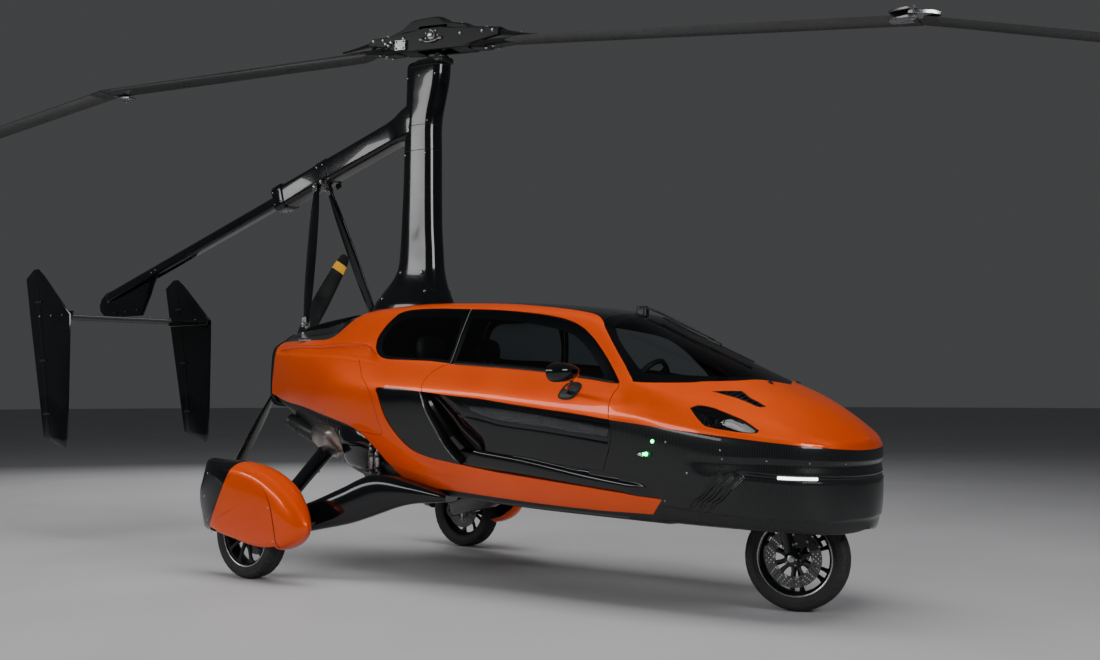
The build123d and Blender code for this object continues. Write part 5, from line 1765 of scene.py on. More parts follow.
def open_below(g, z=264, x0=-862, x1=-292):
    keep = []
    V = np.concatenate(g.v)
    for q, m in zip(g.f, g.m):
        c = V[list(q)].mean(0)
        hole = x0 < c[0] < x1 and c[2] < z and c[1] > -966
        if not hole:
            keep.append((q, m))
    g.f = [k[0] for k in keep]
    g.m = [k[1] for k in keep]
    return g


go = open_below(loft(rows, caps=False))
gi = open_below(loft(inn, caps=False, m=1))
lipr = loft([rows[0], inn[0]], caps=False, m=1)
spat = Geo()
spat.join(go).join(gi).join(open_below(lipr))


def finish_spat(g, who):
    o = g.make(who + "_wheel_fairing", "fuselage", [ORANGE, SATIN, BLACK], slot="orange_paint", replaces=["wheel_spats"] if who == "right" else (), sharp=40)
    me = o.data
    bm = bmesh.new()
    bm.from_mesh(me)
    bmesh.ops.remove_doubles(bm, verts=bm.verts, dist=0.0001)
    bmesh.ops.recalc_face_normals(bm, faces=[f for f in bm.faces if f.material_index == 0])
    c = Vector((-0.750, 0, 0.436))
    n = Vector((-0.404, 0, -0.252)).normalized().cross(Vector((0, 1, 0)))
    # the tail is black behind a slanted line
    pn = Vector((-0.848, 0, 0.530))
    bmesh.ops.bisect_plane(bm, geom=bm.verts[:] + bm.edges[:] + bm.faces[:], plane_co=c, plane_no=pn)
    for f in bm.faces:
        if f.material_index == 0 and (f.calc_center_median() - c).dot(pn) > 0:
            f.material_index = 2
    bm.to_mesh(me)
    bm.free()
    me.shade_smooth()
    me.set_sharp_from_angle(angle=math.radians(40))
    return o


for who in ("right", "left"):
    finish_spat(spat if who == "right" else spat.mirror(), who)
# seam and screws of the front cover of each fairing
det = Geo()


def on_spat(x, z, lift=0.4):
    p = np.array([x, z])
    d, _ = dist_to(np.array([p]), np.vstack([SP, SP[:1]]))
    ins = float(d[0])
    y = float(np.interp(ins, [0, 2, 7, 15, 26, 37, 55, 80, 120, 170], [-893, -918, -938, -954, -966, -974, -979.5, -983, -985, -986]))
    p = taper([(x, y, z)])[0]
    return p - (0, lift + 0.5, 0)


path = [(-668, 552), (-620, 574), (-540, 580), (-440, 545), (-356, 481), (-314, 406), (-288, 300), (-276, 215), (-272, 192)]
pp = spline(np.array(path, float), 6)
P = np.array([on_spat(x, z, 0.2) for x, z in pp])
det.join(tube(P, 1.3, 6, m=1))
for x, z in ((-530, 560), (-330, 400), (-300, 225), (-880, 560), (-925, 430), (-880, 300)):
    p = on_spat(x, z, 0.0)
    det.join(revolve([(0.01, 1.2), (4, 1.2), (5.2, 0.3), (5.4, -2)], n=14, axis=(0, -1, 0), origin=p, m=0))
    det.join(revolve([(0.01, 1.15), (1.8, 1.15), (1.8, 1.5), (2.2, 1.5)], n=6, axis=(0, -1, 0), origin=p, m=1))
dp = [on_spat(-0.404 * 0 + x, z, 0.3) for x, z in [(-750 + 0.530 * 1000 * t, 436 + 0.848 * 1000 * t) for t in np.linspace(-0.245, 0.235, 20)]]
det.join(tube(np.array(dp), 1.0, 6, m=1))
# a bracket from the arm to each fairing
det.join(xz(np.array([(-640, 470), (-520, 470), (-500, 500), (-500, 560), (-640, 570)]), -812, -806, bev=1.5, m=2))
det.join(tube([(-580, -800, 500), (-575, -775, 420), (-560, -760, 330)], 13, 12, m=2))
both(det).make("wheel_fairing_details", "fuselage", [STEEL, SEAM, SATIN], sharp=40)

# ------------------------------------------------------------------ engine bay

mf = Geo()
R = spline(np.array([(-962, -258, 832, 46, 38), (-940, -260, 826, 50, 42), (-900, -264, 814, 54, 47), (-860, -268, 800, 56, 50), (-800, -270, 780, 58, 52), (-740, -272, 760, 54, 50), (-690, -274, 746, 38, 38)], float), 5)
rings = []
for i, (x, y, z, a, b) in enumerate(R):
    d = unit(R[min(i + 1, len(R) - 1)][:3] - R[max(i - 1, 0)][:3])
    s = unit(np.cross((0, 0, 1), d))
    u = np.cross(d, s)
    rings.append([np.array((x, y, z)) + s * q[0] + u * q[1] for q in super_ring(a, b, 2.1, 36)])
mf.join(loft(rings))
# seam band along the shell and two straps
for t in (14, 26):
    t = min(t, len(rings) - 2)
    r0 = np.array(rings[t])
    c = r0.mean(0)
    d = unit(np.array(rings[t + 1]).mean(0) - c)
    band_ = [(c + (r0 - c) * k + d * o) for k, o in ((1.0, -8), (1.03, -7), (1.03, 7), (1.0, 8))]
    mf.join(loft(band_, caps=False, m=1))
# outlet pipe with an oval mouth
q = spline([(-950, -259, 829), (-972, -260, 836), (-990, -264, 843)], 5)
P, F = along(q)
rows = [p + np.array([f[:, 0] * u * 46 + f[:, 1] * v * 38 for u, v in super_ring(1, 1, 2, 28)]) for p, f in zip(P, F)]
rin = [p + np.array([f[:, 0] * u * 41 + f[:, 1] * v * 33 for u, v in super_ring(1, 1, 2, 28)]) for p, f in zip(P, F)]
mf.join(loft(rows + rin[::-1], caps=False, m=0))
mf.make("muffler_shell", "fuselage", [SATIN, TRIM], slot="engine_metal", replaces=["exhaust_muffler"], sharp=45, weld=0.02)

# bright shield over the silencer, and the dark bulge beside it
SHIELD = smooth_loop(SD((-865, 759), (-780, 782), (-701, 797), (-567, 814), (-454, 797), (-418, 745), (-395, 679), (-404, 634), (-472, 609), (-560, 610), (-634, 622), (-706, 660), (-781, 707)), corners=(0,))
SC_LINE = dense(SD((-850, 752), (-760, 700), (-660, 672), (-540, 668), (-410, 690)), 8)


def shield_push(UV):
    d, s = dist_to(UV, np.vstack([SHIELD, SHIELD[:1]]))
    return -33.0 + 74.0 * np.sqrt(np.clip(d / 130.0, 0, 1)) + groove(UV, SC_LINE, 9.0, 5.0)


shield = panel([SHIELD], thick=3, push=shield_push, m=(0, 0, None), step=15, bstep=9, lines=beside(SC_LINE, (-8, -3, 3, 8)))
both(shield).make("silencer_shield", "fuselage", HEATED, slot="engine_metal", sharp=60)
BULGE = smooth_loop(SD((-354, 822), (-216, 826), (-110, 785), (-72, 702), (-166, 589), (-308, 555), (-412, 588), (-398, 679)), corners=())


def bulge_push(UV):
    d, s = dist_to(UV, np.vstack([BULGE, BULGE[:1]]))
    return -38.0 + 62.0 * np.sqrt(np.clip(d / 150.0, 0, 1))


bulge = panel([BULGE], thick=3, push=bulge_push, m=(0, 0, None), step=15, bstep=9)
both(bulge).make("engine_bay_bulge", "fuselage", BLACK, slot="black_gloss", sharp=60)

# ------------------------------------------------------------------ mast

MASTP = np.array([(1440, -214, 292, 158), (1452, -212, 288, 156), (1478, -211, 282, 152), (1530, -208, 262, 144), (1580, -198, 234, 126), (1625, -184, 205, 109), (1680, -164, 172, 96), (1740, -152, 150, 88), (1850, -148, 139, 83), (1958, -148, 131, 81), (2182, -143, 122, 80), (2409, -139, 117, 79), (2560, -137, 114, 78), (2635, -130, 117, 78), (2731, -115, 129, 78), (2813, -103, 138, 79), (2900, -96, 142, 80), (2932, -95, 141, 78), (2946, -95, 135, 72), (2952, -95, 124, 62)], float)


def mast_ring(z, grow=0.0, n=64, power=2.9):
    xc, a, b = (float(np.interp(z, MASTP[:, 0], MASTP[:, k])) for k in (1, 2, 3))
    return np.array([(xc + u, v, z) for u, v in super_ring(a + grow, b + grow, power, n)])


RS = spline(MASTP, 4)
order = np.argsort(RS[:, 0])
RS = RS[order]
MASTP = RS
mast = Geo()
mast.join(loft([mast_ring(z) for z in RS[:, 0]], m=0))
for z in (2572, 2424, 2915):
    mast.join(loft([mast_ring(z - 2.0, -0.5), mast_ring(z - 1.6, 0.35), mast_ring(z + 1.6, 0.35), mast_ring(z + 2.0, -0.5)], caps=False, m=1))
# the fold line across the foot, with its hinge bolts
fold = []
for t in np.linspace(0, 1, 40):
    z = 1560 + 130 * smooth01(t) ** 0.8
    r = mast_ring(z, 0.5, 256)
    x = 70 - 200 * t
    k = np.argmin(np.abs(r[:, 0] - x) + (r[:, 1] > 0) * 1e4)
    fold.append(r[k])
mast.join(tube(spline(np.array(fold)[::4], 6), 1.7, 6, m=1))
mast.join(tube(spline((np.array(fold) * (1, -1, 1))[::4], 6), 1.7, 6, m=1))
for x, z in ((-30, 1592), (-350, 1560), (-66, 1705), (-235, 1712)):
    r = mast_ring(z, 0, 256)
    for s in (-1, 1):
        k = np.argmin(np.abs(r[:, 0] - x) + (r[:, 1] * s < 0) * 1e4)
        p = r[k]
        mast.join(revolve([(0.01, 5), (6, 5), (7.5, 4), (8, 2), (12, 1.6), (13, 0.6), (13, -4)], n=24, axis=(0, s, 0.15), origin=p, m=3))
        mast.join(revolve([(0.01, 5.1), (3.4, 5.1), (3.4, 5.5), (3.8, 5.5)], n=6, axis=(0, s, 0.15), origin=p, m=2))
for z, xs in ((2860, (-205, -98, 10)), (2592, (-215, -50)), (2404, (-220, -60))):
    r = mast_ring(z, 0, 256)
    for x in xs:
        for s in (-1, 1):
            k = np.argmin(np.abs(r[:, 0] - x) + (r[:, 1] * s < 0) * 1e4)
            mast.join(bolt(r[k] - (0, s * 1.0, 0), (0, s, 0), 5, 4.5, m=2, hexa=False))
# head plate with its bolts and the spindle's collar
mast.join(extrude(round_rect(204, 122, 18) + (-49, 0), 2930, 2960, m=3, bev=3))
for x in (-138, -98, -2, 38):
    for y in (-46, 46):
        mast.join(bolt((x, y, 2960), (0, 0, 1), 6, 7, m=2))
t32, y8 = math.radians(3.2), math.radians(8)
SPIN = np.array([math.sin(t32) * math.cos(y8), math.sin(t32) * math.sin(y8), math.cos(t32)])
SPAN = np.array([math.cos(t32) * math.cos(y8), math.cos(t32) * math.sin(y8), -math.sin(t32)])
MHEAD = place((-14, 0, 3085), SPIN, SPAN)
g = Geo()
g.join(revolve([(0.01, -128), (62, -128), (66, -124), (66, -112), (60, -106), (44, -104), (40, -98), (30, -94), (22, -92), (22, -37), (18, -35), (0.01, -35)], n=40, m=0))
for i in range(6):
    a = 2 * math.pi * i / 6
    g.join(bolt((55 * math.cos(a), 55 * math.sin(a), -110), (0, 0, 1), 5, 6, m=1))
gg = Geo()
gg.join(g, MHEAD)
gg.make("rotor_bearing_collar", "fuselage", [SATIN, STEEL], sharp=35)
mast.make("mast_skin", "fuselage", [BLACK, SEAM, STEEL, SATIN], slot="black_gloss", replaces=["mast"], sharp=50, weld=0.01)
foot = Geo()
foot.join(loft([mast_ring(1458, 26), mast_ring(1470, 16), mast_ring(1486, 5), mast_ring(1500, 0.6)], caps=False))
foot.make("mast_foot_seal", "fuselage", SEAL, sharp=60)

# ------------------------------------------------------------------ boom

BS = math.radians(16.3)
BD = np.array([math.cos(BS), 0, math.sin(BS)])
MB = place((-1410, 0, 2250), BD, (0, 1, 0))  # local x = +Y, y = up, z along the boom


def rr_ring(w, h, r, z, k=6):
    return np.array([(q[0], q[1], z) for q in round_rect(w, h, r, k)])


s = Geo()
rows = [rr_ring(100, 110, 24, -2), rr_ring(128, 146, 30, 0), rr_ring(138, 164, 33, 6), rr_ring(143, 171, 34, 16), rr_ring(143, 171, 34, 82), rr_ring(140, 166, 33, 92), rr_ring(126, 152, 31, 98), rr_ring(122, 148, 30, 104), rr_ring(122, 148, 30, 430)]
s.join(loft(rows, caps=False, m=0))
s.join(loft([rr_ring(122, 148, 30, 430), rr_ring(132, 158, 33, 434), rr_ring(132, 158, 33, 520), rr_ring(122, 148, 30, 524)], caps=False, m=0))
s.join(loft([rr_ring(122, 148, 30, 524), rr_ring(123, 149, 30, 900), rr_ring(124, 150, 30, 1080), rr_ring(132, 166, 34, 1150), rr_ring(150, 196, 40, 1210), rr_ring(152, 214, 42, 1262)], caps=False, m=0))
# the mouth of the sleeve with its wear strip
s.join(loft([rr_ring(100, 110, 24, -2), rr_ring(80, 84, 20, -1), rr_ring(77, 81, 19, 4), rr_ring(76, 80, 19, 90)], caps=False, m=1))
for z in (22, 76):
    for x, y, n in ((71.5, 40, (1, 0, 0)), (71.5, -40, (1, 0, 0)), (-71.5, 40, (-1, 0, 0)), (-71.5, -40, (-1, 0, 0)), (30, 85.5, (0, 1, 0)), (-30, 85.5, (0, 1, 0)), (30, -85.5, (0, -1, 0)), (-30, -85.5, (0, -1, 0))):
        s.join(bolt((x, y, z), n, 4.5, 4, m=2))
# clamp hardware under the sleeve, where the braces meet it
for x in (-1, 1):
    s.join(xz(np.array([(-20, -96), (20, -96), (26, -60), (26, -20), (-26, -20), (-26, -60)]), 0, 7, m=3, bev=1.5), place((x * 61.5, 0, 477), (0, 1, 0), (0, 0, 1)))
s.join(tube([(-78, -62, 470), (78, -62, 470)], 7, 14, m=2))
for x in (-1, 1):
    s.join(bolt((x * 78, -62, 470), (x, 0, 0), 9, 8, m=2))
    s.join(bolt((x * 66, 40, 450), (x, 0, 0), 5, 5, m=2))
    s.join(bolt((x * 66, 40, 504), (x, 0, 0), 5, 5, m=2))
s.join(tube([(-20, 76, 330), (-20, 82, 334), (-20, 82, 620), (-20, 76, 624)], 4.0, 8, m=2))
s2 = Geo()
s2.join(s, MB)
s2.make("boom_sleeve_shell", "fuselage", [BLACK, SEAL, STEEL, SATIN], slot="black_gloss", replaces=["boom_sleeve"], sharp=40)
# junction fairing between sleeve and mast
jf = Geo()
rows = []
for z, w, h in ((1110, 125, 151), (1160, 136, 172), (1220, 148, 202), (1280, 152, 214), (1330, 150, 216)):
    r = rr_ring(w, h, 40, z)
    rows.append(r)
jf.join(loft(rows, caps=False), MB)
jf.make("boom_root_fairing", "fuselage", BLACK, sharp=60)

t = Geo()
rows = [rr_ring(70, 74, 17, z) for z in (148, 0, -60, -500, -1000, -1500, -1950)] + [rr_ring(66, 70, 17, -1972), rr_ring(52, 56, 14, -1980)]
t.join(loft(rows[::-1], m=0))
for z in (-1350, -1400):
    t.join(bolt((35, 0, z), (1, 0, 0), 4.5, 3, m=1, hexa=False))
    t.join(bolt((-35, 0, z), (-1, 0, 0), 4.5, 3, m=1, hexa=False))
for x in (-1, 1):
    t.join(tube([(x * 34.2, 24, -60), (x * 34.2, 24, -1900)], 2.2, 6, m=2))
tb = Geo()
tb.join(t, MB)


def foil2(xf, xb, z, th, n=9, up=0.6, cam=0.0):
    """closed blade section in (chord, height), nose at xf, from the tail round the top"""
    c = xf - xb
    u = 1 - np.cos(np.linspace(0, math.pi / 2, n))
    y = 2.6 * th * (0.2969 * np.sqrt(u) - 0.126 * u - 0.3516 * u**2 + 0.2843 * u**3 - 0.1036 * u**4) * 1.923
    top = np.column_stack([xf - c * u, z + y * up + cam * (1 - (2 * u - 1) ** 2)])
    bot = np.column_stack([xf - c * u, z - y * (1 - up) + cam * (1 - (2 * u - 1) ** 2)])
    return np.vstack([top, bot[::-1][:-1]])


# the pylon that joins boom and tailplane: a thin swept fin, rounded at its edges
PY = [((-2700, 1874), (-3352, 1738), 26), ((-2726, 1820), (-3412, 1696), 26), ((-2764, 1760), (-3436, 1650), 25), ((-2800, 1690), (-3428, 1610), 24), ((-2846, 1620), (-3392, 1580), 22), ((-2888, 1558), (-3336, 1556), 20)]
rows = []
for a, b, w in PY:
    a, b = np.array(a, float), np.array(b, float)
    prof = foil2(0, 1, 0, 1.0, n=12, up=0.5)
    rows.append([(a[0] + (b[0] - a[0]) * (q[0]), q[1] * 2 * w * 0.95, a[1] + (b[1] - a[1]) * q[0]) for q in prof])
rows = [np.array(r) for r in rows]
tb.join(loft(rows, m=0))
for x, z in ((-2860, 1800), (-2990, 1770), (-3120, 1742), (-2940, 1600), (-3080, 1592), (-3220, 1588)):
    for sg in (-1, 1):
        tb.join(bolt((x, sg * 21, z), (0, sg, 0), 5, 6, m=1, hexa=False))
tb.make("tail_boom_tube", "tail", [BLACK, STEEL, SEAM], slot="black_gloss", replaces=["tail_boom"], sharp=40, weld=0.01)

tp = Geo()
rows = []
for y in np.linspace(-562, 562, 25):
    prof = foil2(-2876, -3418, 1538, 30, n=14, up=0.5)
    rows.append([(q[0], y, q[1]) for q in prof])
tp.join(loft(rows))
tp.join(tube([(-3268, -540, 1550.5), (-3268, 540, 1550.5)], 1.4, 6, m=1))
tp.join(tube([(-3268, -540, 1525.5), (-3268, 540, 1525.5)], 1.4, 6, m=1))
for y in (-520, -300, -120, 120, 300, 520):
    tp.join(revolve([(0.01, 1.6), (4, 1.6), (5, 0.6), (5, -4)], n=12, origin=(-2990, y, 1552.5), m=2))
tp.make("tailplane_skin", "tail", [BLACK, SEAM, STEEL], slot="black_gloss", replaces=["tailplane"], sharp=45, weld=0.01)

LEAD = [(1886, -3303), (1700, -3083), (1541, -2893), (1400, -2878), (1000, -2884), (693, -2886), (650, -2902), (634, -2914)]
TRAIL = [(1886, -3303), (1850, -3446), (1828, -3449), (1500, -3373), (1200, -3303), (900, -3233), (708, -3188), (634, -2914)]
LEAD = [(634, -2918), (650, -2902), (693, -2884), (1000, -2879), (1300, -2875), (1541, -2874), (1620, -2968), (1720, -3086), (1820, -3206), (1872, -3284)]
TRAIL = [(634, -2960), (664, -3070), (708, -3187), (1000, -3257), (1300, -3328), (1541, -3385), (1620, -3401), (1720, -3424), (1810, -3443), (1872, -3345)]
fin = Geo()
rows = []
for (z, xl), (z2, xt) in zip(LEAD, TRAIL):
    if abs(xl - xt) < 4:
        xt = xl - 6
    n = 12
    prof = foil2(0, 1, 0, 1, n=n, up=0.5)
    w = min(16.0, abs(xt - xl) * 0.09)
    rows.append([(xl + (xt - xl) * q[0], -582 + q[1] * w * 1.9, z + (z2 - z) * q[0]) for q in prof])
fin.join(loft([np.array(r) for r in rows]))
# rudder hinge line with three hinges
for sgn in (-1, 1):
    fin.join(tube([(-3112, -582 + sgn * 12.5, 722), (-3188, -582 + sgn * 14.5, 1200), (-3240, -582 + sgn * 13.5, 1500), (-3290, -582 + sgn * 10, 1800)], 1.5, 6, m=1))
for z, x in ((860, -3136), (1230, -3194), (1640, -3264)):
    fin.join(xz(np.array([(x - 34, z - 7), (x + 34, z - 7), (x + 34, z + 7), (x - 34, z + 7)]), -600, -564, m=2, bev=2))
# joint to the tailplane
fin.join(xz(np.array([(-2900, 1512), (-3360, 1512), (-3380, 1566), (-2880, 1566)]), -568, -556, m=0, bev=3))
for x in (-2960, -3100, -3240):
    fin.join(bolt((x, -597, 1538), (0, -1, 0), 5, 3.5, m=3, hexa=False))
both(fin).make("tail_fin_skins", "tail", [BLACK, SEAM, SATIN, STEEL], slot="black_gloss", replaces=["tail_fins"], sharp=45, weld=0.01)

# ------------------------------------------------------------------ braces under the boom

br = Geo()
A0, B0 = np.array((-1006, -52, 2290.0)), np.array((-812, -305, 1404.0))
d = unit(B0 - A0)
L = np.linalg.norm(B0 - A0)
rows = []
for t, a, b in ((0.0, 18, 14), (0.03, 22, 15), (0.08, 26, 15), (0.18, 34, 15), (0.5, 40, 16), (0.8, 34, 15), (0.9, 26, 15), (0.95, 21, 15), (0.97, 19, 14)):
    c = A0 + d * L * t
    F = frame_at(d, (1, 0, 0))
    # a streamlined leg: blunt to the front, thin behind
    ring = [(u if u > 0 else u * 1.0, v * (1.0 if u > 0 else 1 - 0.55 * (-u / a))) for u, v in super_ring(a, b, 2.1, 32)]
    rows.append([c + F[:, 0] * u + F[:, 1] * v for u, v in ring])
rr = np.array(rows)
rr = np.transpose(np.array([spline(rr[:, k], 4) for k in range(rr.shape[1])]), (1, 0, 2))
br.join(loft(rr, m=0))
F = frame_at(d, (1, 0, 0))
for c, up in ((A0 + d * 6, -1), (B0 - d * 22, 1)):
    for k in (-1, 1):
        rows = [[c + F[:, 0] * u + F[:, 1] * (k * 15 + v * 3) + d * w for u, v in round_rect(2 * a, 2, 0.9, 1)] for w, a in ((-34, 15), (-20, 19), (16, 19), (28, 13))]
        br.join(loft(rows, m=1))
    br.join(tube([c - F[:, 1] * 26 + d * 10 * up, c + F[:, 1] * 26 + d * 10 * up], 8, 14, m=1))
    for k in (-1, 1):
        br.join(bolt(c + F[:, 1] * k * 24 + d * 10 * up, F[:, 1] * k, 10, 7, m=1))
# foot on the deck
uv = pl(-812, 300)
p, n = at(uv), surf_n([uv])[0]
br.join(loft([[p + n * h + np.array((u, v, 0)) for u, v in super_ring(a, b, 3.2, 24)] for h, a, b in ((-6, 46, 30), (3, 46, 30), (9, 38, 22), (16, 24, 13), (44, 15, 10), (52, 9, 6))], m=1))
for x, y in ((-34, -18), (34, -18), (-34, 18), (34, 18)):
    br.join(bolt(p + n * 4 + np.array((x, y, -x * 0.0)), n, 5, 6, m=1))
both(br).make("boom_brace_legs", "fuselage", [BLACK, STEEL], slot="black_gloss", replaces=["boom_braces"], sharp=40)

# ------------------------------------------------------------------ rotor head

hub = Geo()


def prof_uw(pts, v0, v1, m=0, bev=3.0):
    """an outline in span and height, thick across the head"""
    M = np.eye(4)
    M[:3, :3] = np.column_stack([(1, 0, 0), (0, 0, 1), (0, -1, 0)])
    return extrude(np.array(pts, float), -v1, -v0, M, m=m, bev=bev)


# side plates of the teeter bar
for v in (-1, 1):
    a, b = sorted((v * 52, v * 78))
    hub.join(prof_uw([(-455, -34), (-330, -52), (-250, -82), (-150, -86), (150, -86), (236, -86), (262, -70), (380, -48), (455, -34), (455, 0), (380, 14), (130, 34), (60, 44), (-60, 44), (-130, 34), (-380, 4), (-455, -10)], a, b, m=0, bev=4))
    for u in (-420, -350, -200, 200, 350, 420):
        hub.join(bolt((u, v * 78, -6), (0, v, 0), 8, 7, m=1))
    hub.join(revolve([(12.4, -2), (28, -2), (30, 0), (30, 6), (24, 10), (12.4, 10)], n=32, axis=(0, v, 0), origin=(0, v * 78, 0), m=1))
for u in (-1, 1):
    hub.join(box(*sorted((u * 122, u * 236)), -52, 52, -84, 20, m=0))
    hub.join(box(*sorted((u * 236, u * 450)), -52, 52, -30, 18, m=0))
    hub.join(extrude(round_rect(66, 60, 8) + (u * 215, 0), -40, 44, m=1, bev=3))
    for v in (-20, 20):
        hub.join(bolt((u * 215, v, 44), (0, 0, 1), 6, 7, m=1))
# angular cap over the head
CAP = [(-440, -34), (-395, -10), (-300, 26), (-215, 58), (-172, 92), (-150, 103), (-110, 108), (-40, 113), (25, 115), (46, 110), (60, 96), (84, 82), (150, 70), (222, 60), (238, 46), (262, 36), (420, 22), (452, 10), (452, 3), (262, 20), (130, 42), (112, 46), (112, 20), (98, 20), (98, 62), (-98, 62), (-98, 20), (-114, 20), (-118, 42), (-205, 34), (-300, 6), (-395, -26), (-436, -44)]


def cap_half(pts):
    P = resample(np.array(pts, float), 14)
    rows = []
    for v, k in ((-74, 5.0), (-70, 2.0), (-60, 0.3), (-30, 0.0), (0, 0), (30, 0.0), (60, 0.3), (70, 2.0), (74, 5.0)):
        q = inset(P, k) if k > 0 else P
        drop = 0.0 if abs(v) < 50 else -(abs(v) - 50) * 0.45
        rows.append([(a, v, b + (drop if b > -60 else 0)) for a, b in q])
    return rows


rows = cap_half(CAP)
hub.join(loft([np.array(r) for r in rows], caps=False, m=2))
for r, rev in ((rows[0], False), (rows[-1], True)):
    r = np.array(r)
    L2 = r[:, [0, 2]]
    V, Fc, idx = mesh2d([L2], 22)
    A = np.column_stack([V[:, 0], np.full(len(V), r[0, 1]), V[:, 1]])
    hub.join(Geo().add(A, Fc[:, ::-1] if rev else Fc, 2))
for u, w in ((-90, 109), (-20, 113)):
    for v in (-38, 38):
        hub.join(bolt((u, v, w), (0, 0, 1), 4.5, 3.0, m=1, hexa=False))
for u, w, nn in ((-255, 43, (-0.36, 0, 1)), (-350, 7, (-0.36, 0, 1)), (180, 65, (0.14, 0, 1)), (340, 29, (0.08, 0, 1))):
    for v in (-34, 34):
        hub.join(bolt((u, v, w - 1), nn, 4.5, 4, m=1, hexa=False))
# blade grips: a barrel with bolts, tapering out along the blade
for u in (-1, 1):
    rows = []
    for x, a, b, c in ((240, 50, 44, -30), (250, 64, 57, -32), (300, 68, 61, -33), (352, 68, 61, -34), (366, 62, 52, -34), (430, 60, 48, -35), (500, 56, 38, -40), (580, 50, 28, -47), (640, 46, 23, -53), (680, 44, 22, -56)):
        q = super_ring(a, b, 2.8, 32)
        rows.append([(u * x, v, c + w) for v, w in q])
    R = np.transpose(np.array([spline(np.array([row[k] for row in rows]), 3) for k in range(32)]), (1, 0, 2))
    if u < 0:
        R = R[:, ::-1]
    hub.join(loft(R, m=0))
    for x in (350, 400):
        for v in (-36, 36):
            hub.join(bolt((u * x, v * 0.8, 24 if x < 380 else 15), (0, 0, 1), 8, 8, m=1))
            hub.join(bolt((u * x, v * 0.8, -92 if x < 380 else -84), (0, 0, -1), 8, 6, m=1))
    for x in (490, 560):
        hub.join(bolt((u * x, 0, -4 if x < 500 else -18), (0, 0, 1), 7, 6, m=1))
# machined blocks and fittings on the cheeks
for q in (1, -1):
    M = place((0, 0, 0), (0, 0, 1), (q, 0, 0))
    hub.join(box(-249, -176, -94, -79, -76, -18, m=1), M)
    for x, z in ((-238, -66), (-187, -66), (-238, -28), (-187, -28)):
        hub.join(bolt((x, -94, z), (0, -1, 0), 4, 5, m=0), M)
    for x, z in ((-322, -30), (-300, -42), (-282, -24)):
        hub.join(revolve([(0.01, 0), (9, 0), (10, 2), (10, 12), (7, 14), (7, 22), (0.01, 23)], n=6, axis=(0, -1, 0), origin=(x, -74, z), m=1), M)
    hub.join(tube(spline([(-300, -92, -42), (-330, -96, -60), (-380, -90, -62), (-430, -74, -56)], 6), 4.5, 8, m=0), M)
    for k in range(7):
        a_ = 2 * math.pi * k / 7
        hub.join(bolt((44 * math.cos(a_), -78, 34 * math.sin(a_) - 4), (0, -1, 0), 5, 5, m=1), M)
# hydraulic fittings beside the head
for v in (-1, 1):
    hub.join(tube(spline([(-60, v * 84, -26), (-30, v * 90, -40), (20, v * 90, -38), (60, v * 84, -22)], 6), 5.5, 10, m=1))
    hub.join(revolve([(0.01, 0), (11, 0), (11, 16), (8, 18), (0.01, 18)], n=6, axis=(1, 0, 0), origin=(-78, v * 84, -22), m=1))
    hub.join(revolve([(0.01, 0), (11, 0), (11, 16), (8, 18), (0.01, 18)], n=6, axis=(1, 0, 0), origin=(58, v * 84, -22), m=1))
G2 = Geo()
G2.join(hub, MHEAD)
G2.make("rotor_head_assembly", "rotor_hub", [HEADB, STEEL, HEADB], slot="black_trim", replaces=["rotor_hub"], sharp=32)
tw = Geo()
tw.join(extrude(round_rect(84, 76, 12), -62, 30, m=0, bev=4))
tw.join(revolve([(12.6, 0), (24, 0), (26, 3), (26, 8), (12.6, 8)], n=28, axis=(0, 1, 0), origin=(0, 38, 0), m=1))
tw.join(revolve([(12.6, 0), (24, 0), (26, 3), (26, 8), (12.6, 8)], n=28, axis=(0, -1, 0), origin=(0, -38, 0), m=1))
tw.join(tube([(0, -92, 0), (0, 92, 0)], 11.9, 24, m=1))
for v in (-1, 1):
    tw.join(revolve([(0.01, 0), (18, 0), (20, 2), (20, 10), (16, 12), (0.01, 12)], n=6, axis=(0, v, 0), origin=(0, v * 89, 0), m=1))
tw.join(revolve([(22.5, -66), (40, -66), (44, -62), (44, -50), (22.5, -50)], n=36, m=1))
G2 = Geo()
G2.join(tw, MHEAD)
G2.make("rotor_tower_block", "rotor_tower", [CAST, STEEL], slot="steel", replaces=["rotor_tower"], sharp=35)

# blades
DI, DO = math.tan(math.radians(2.2)), math.tan(math.radians(10.6))
ROOTZ = -64.0
ZF = ROOTZ - (2800 - 480) * DI


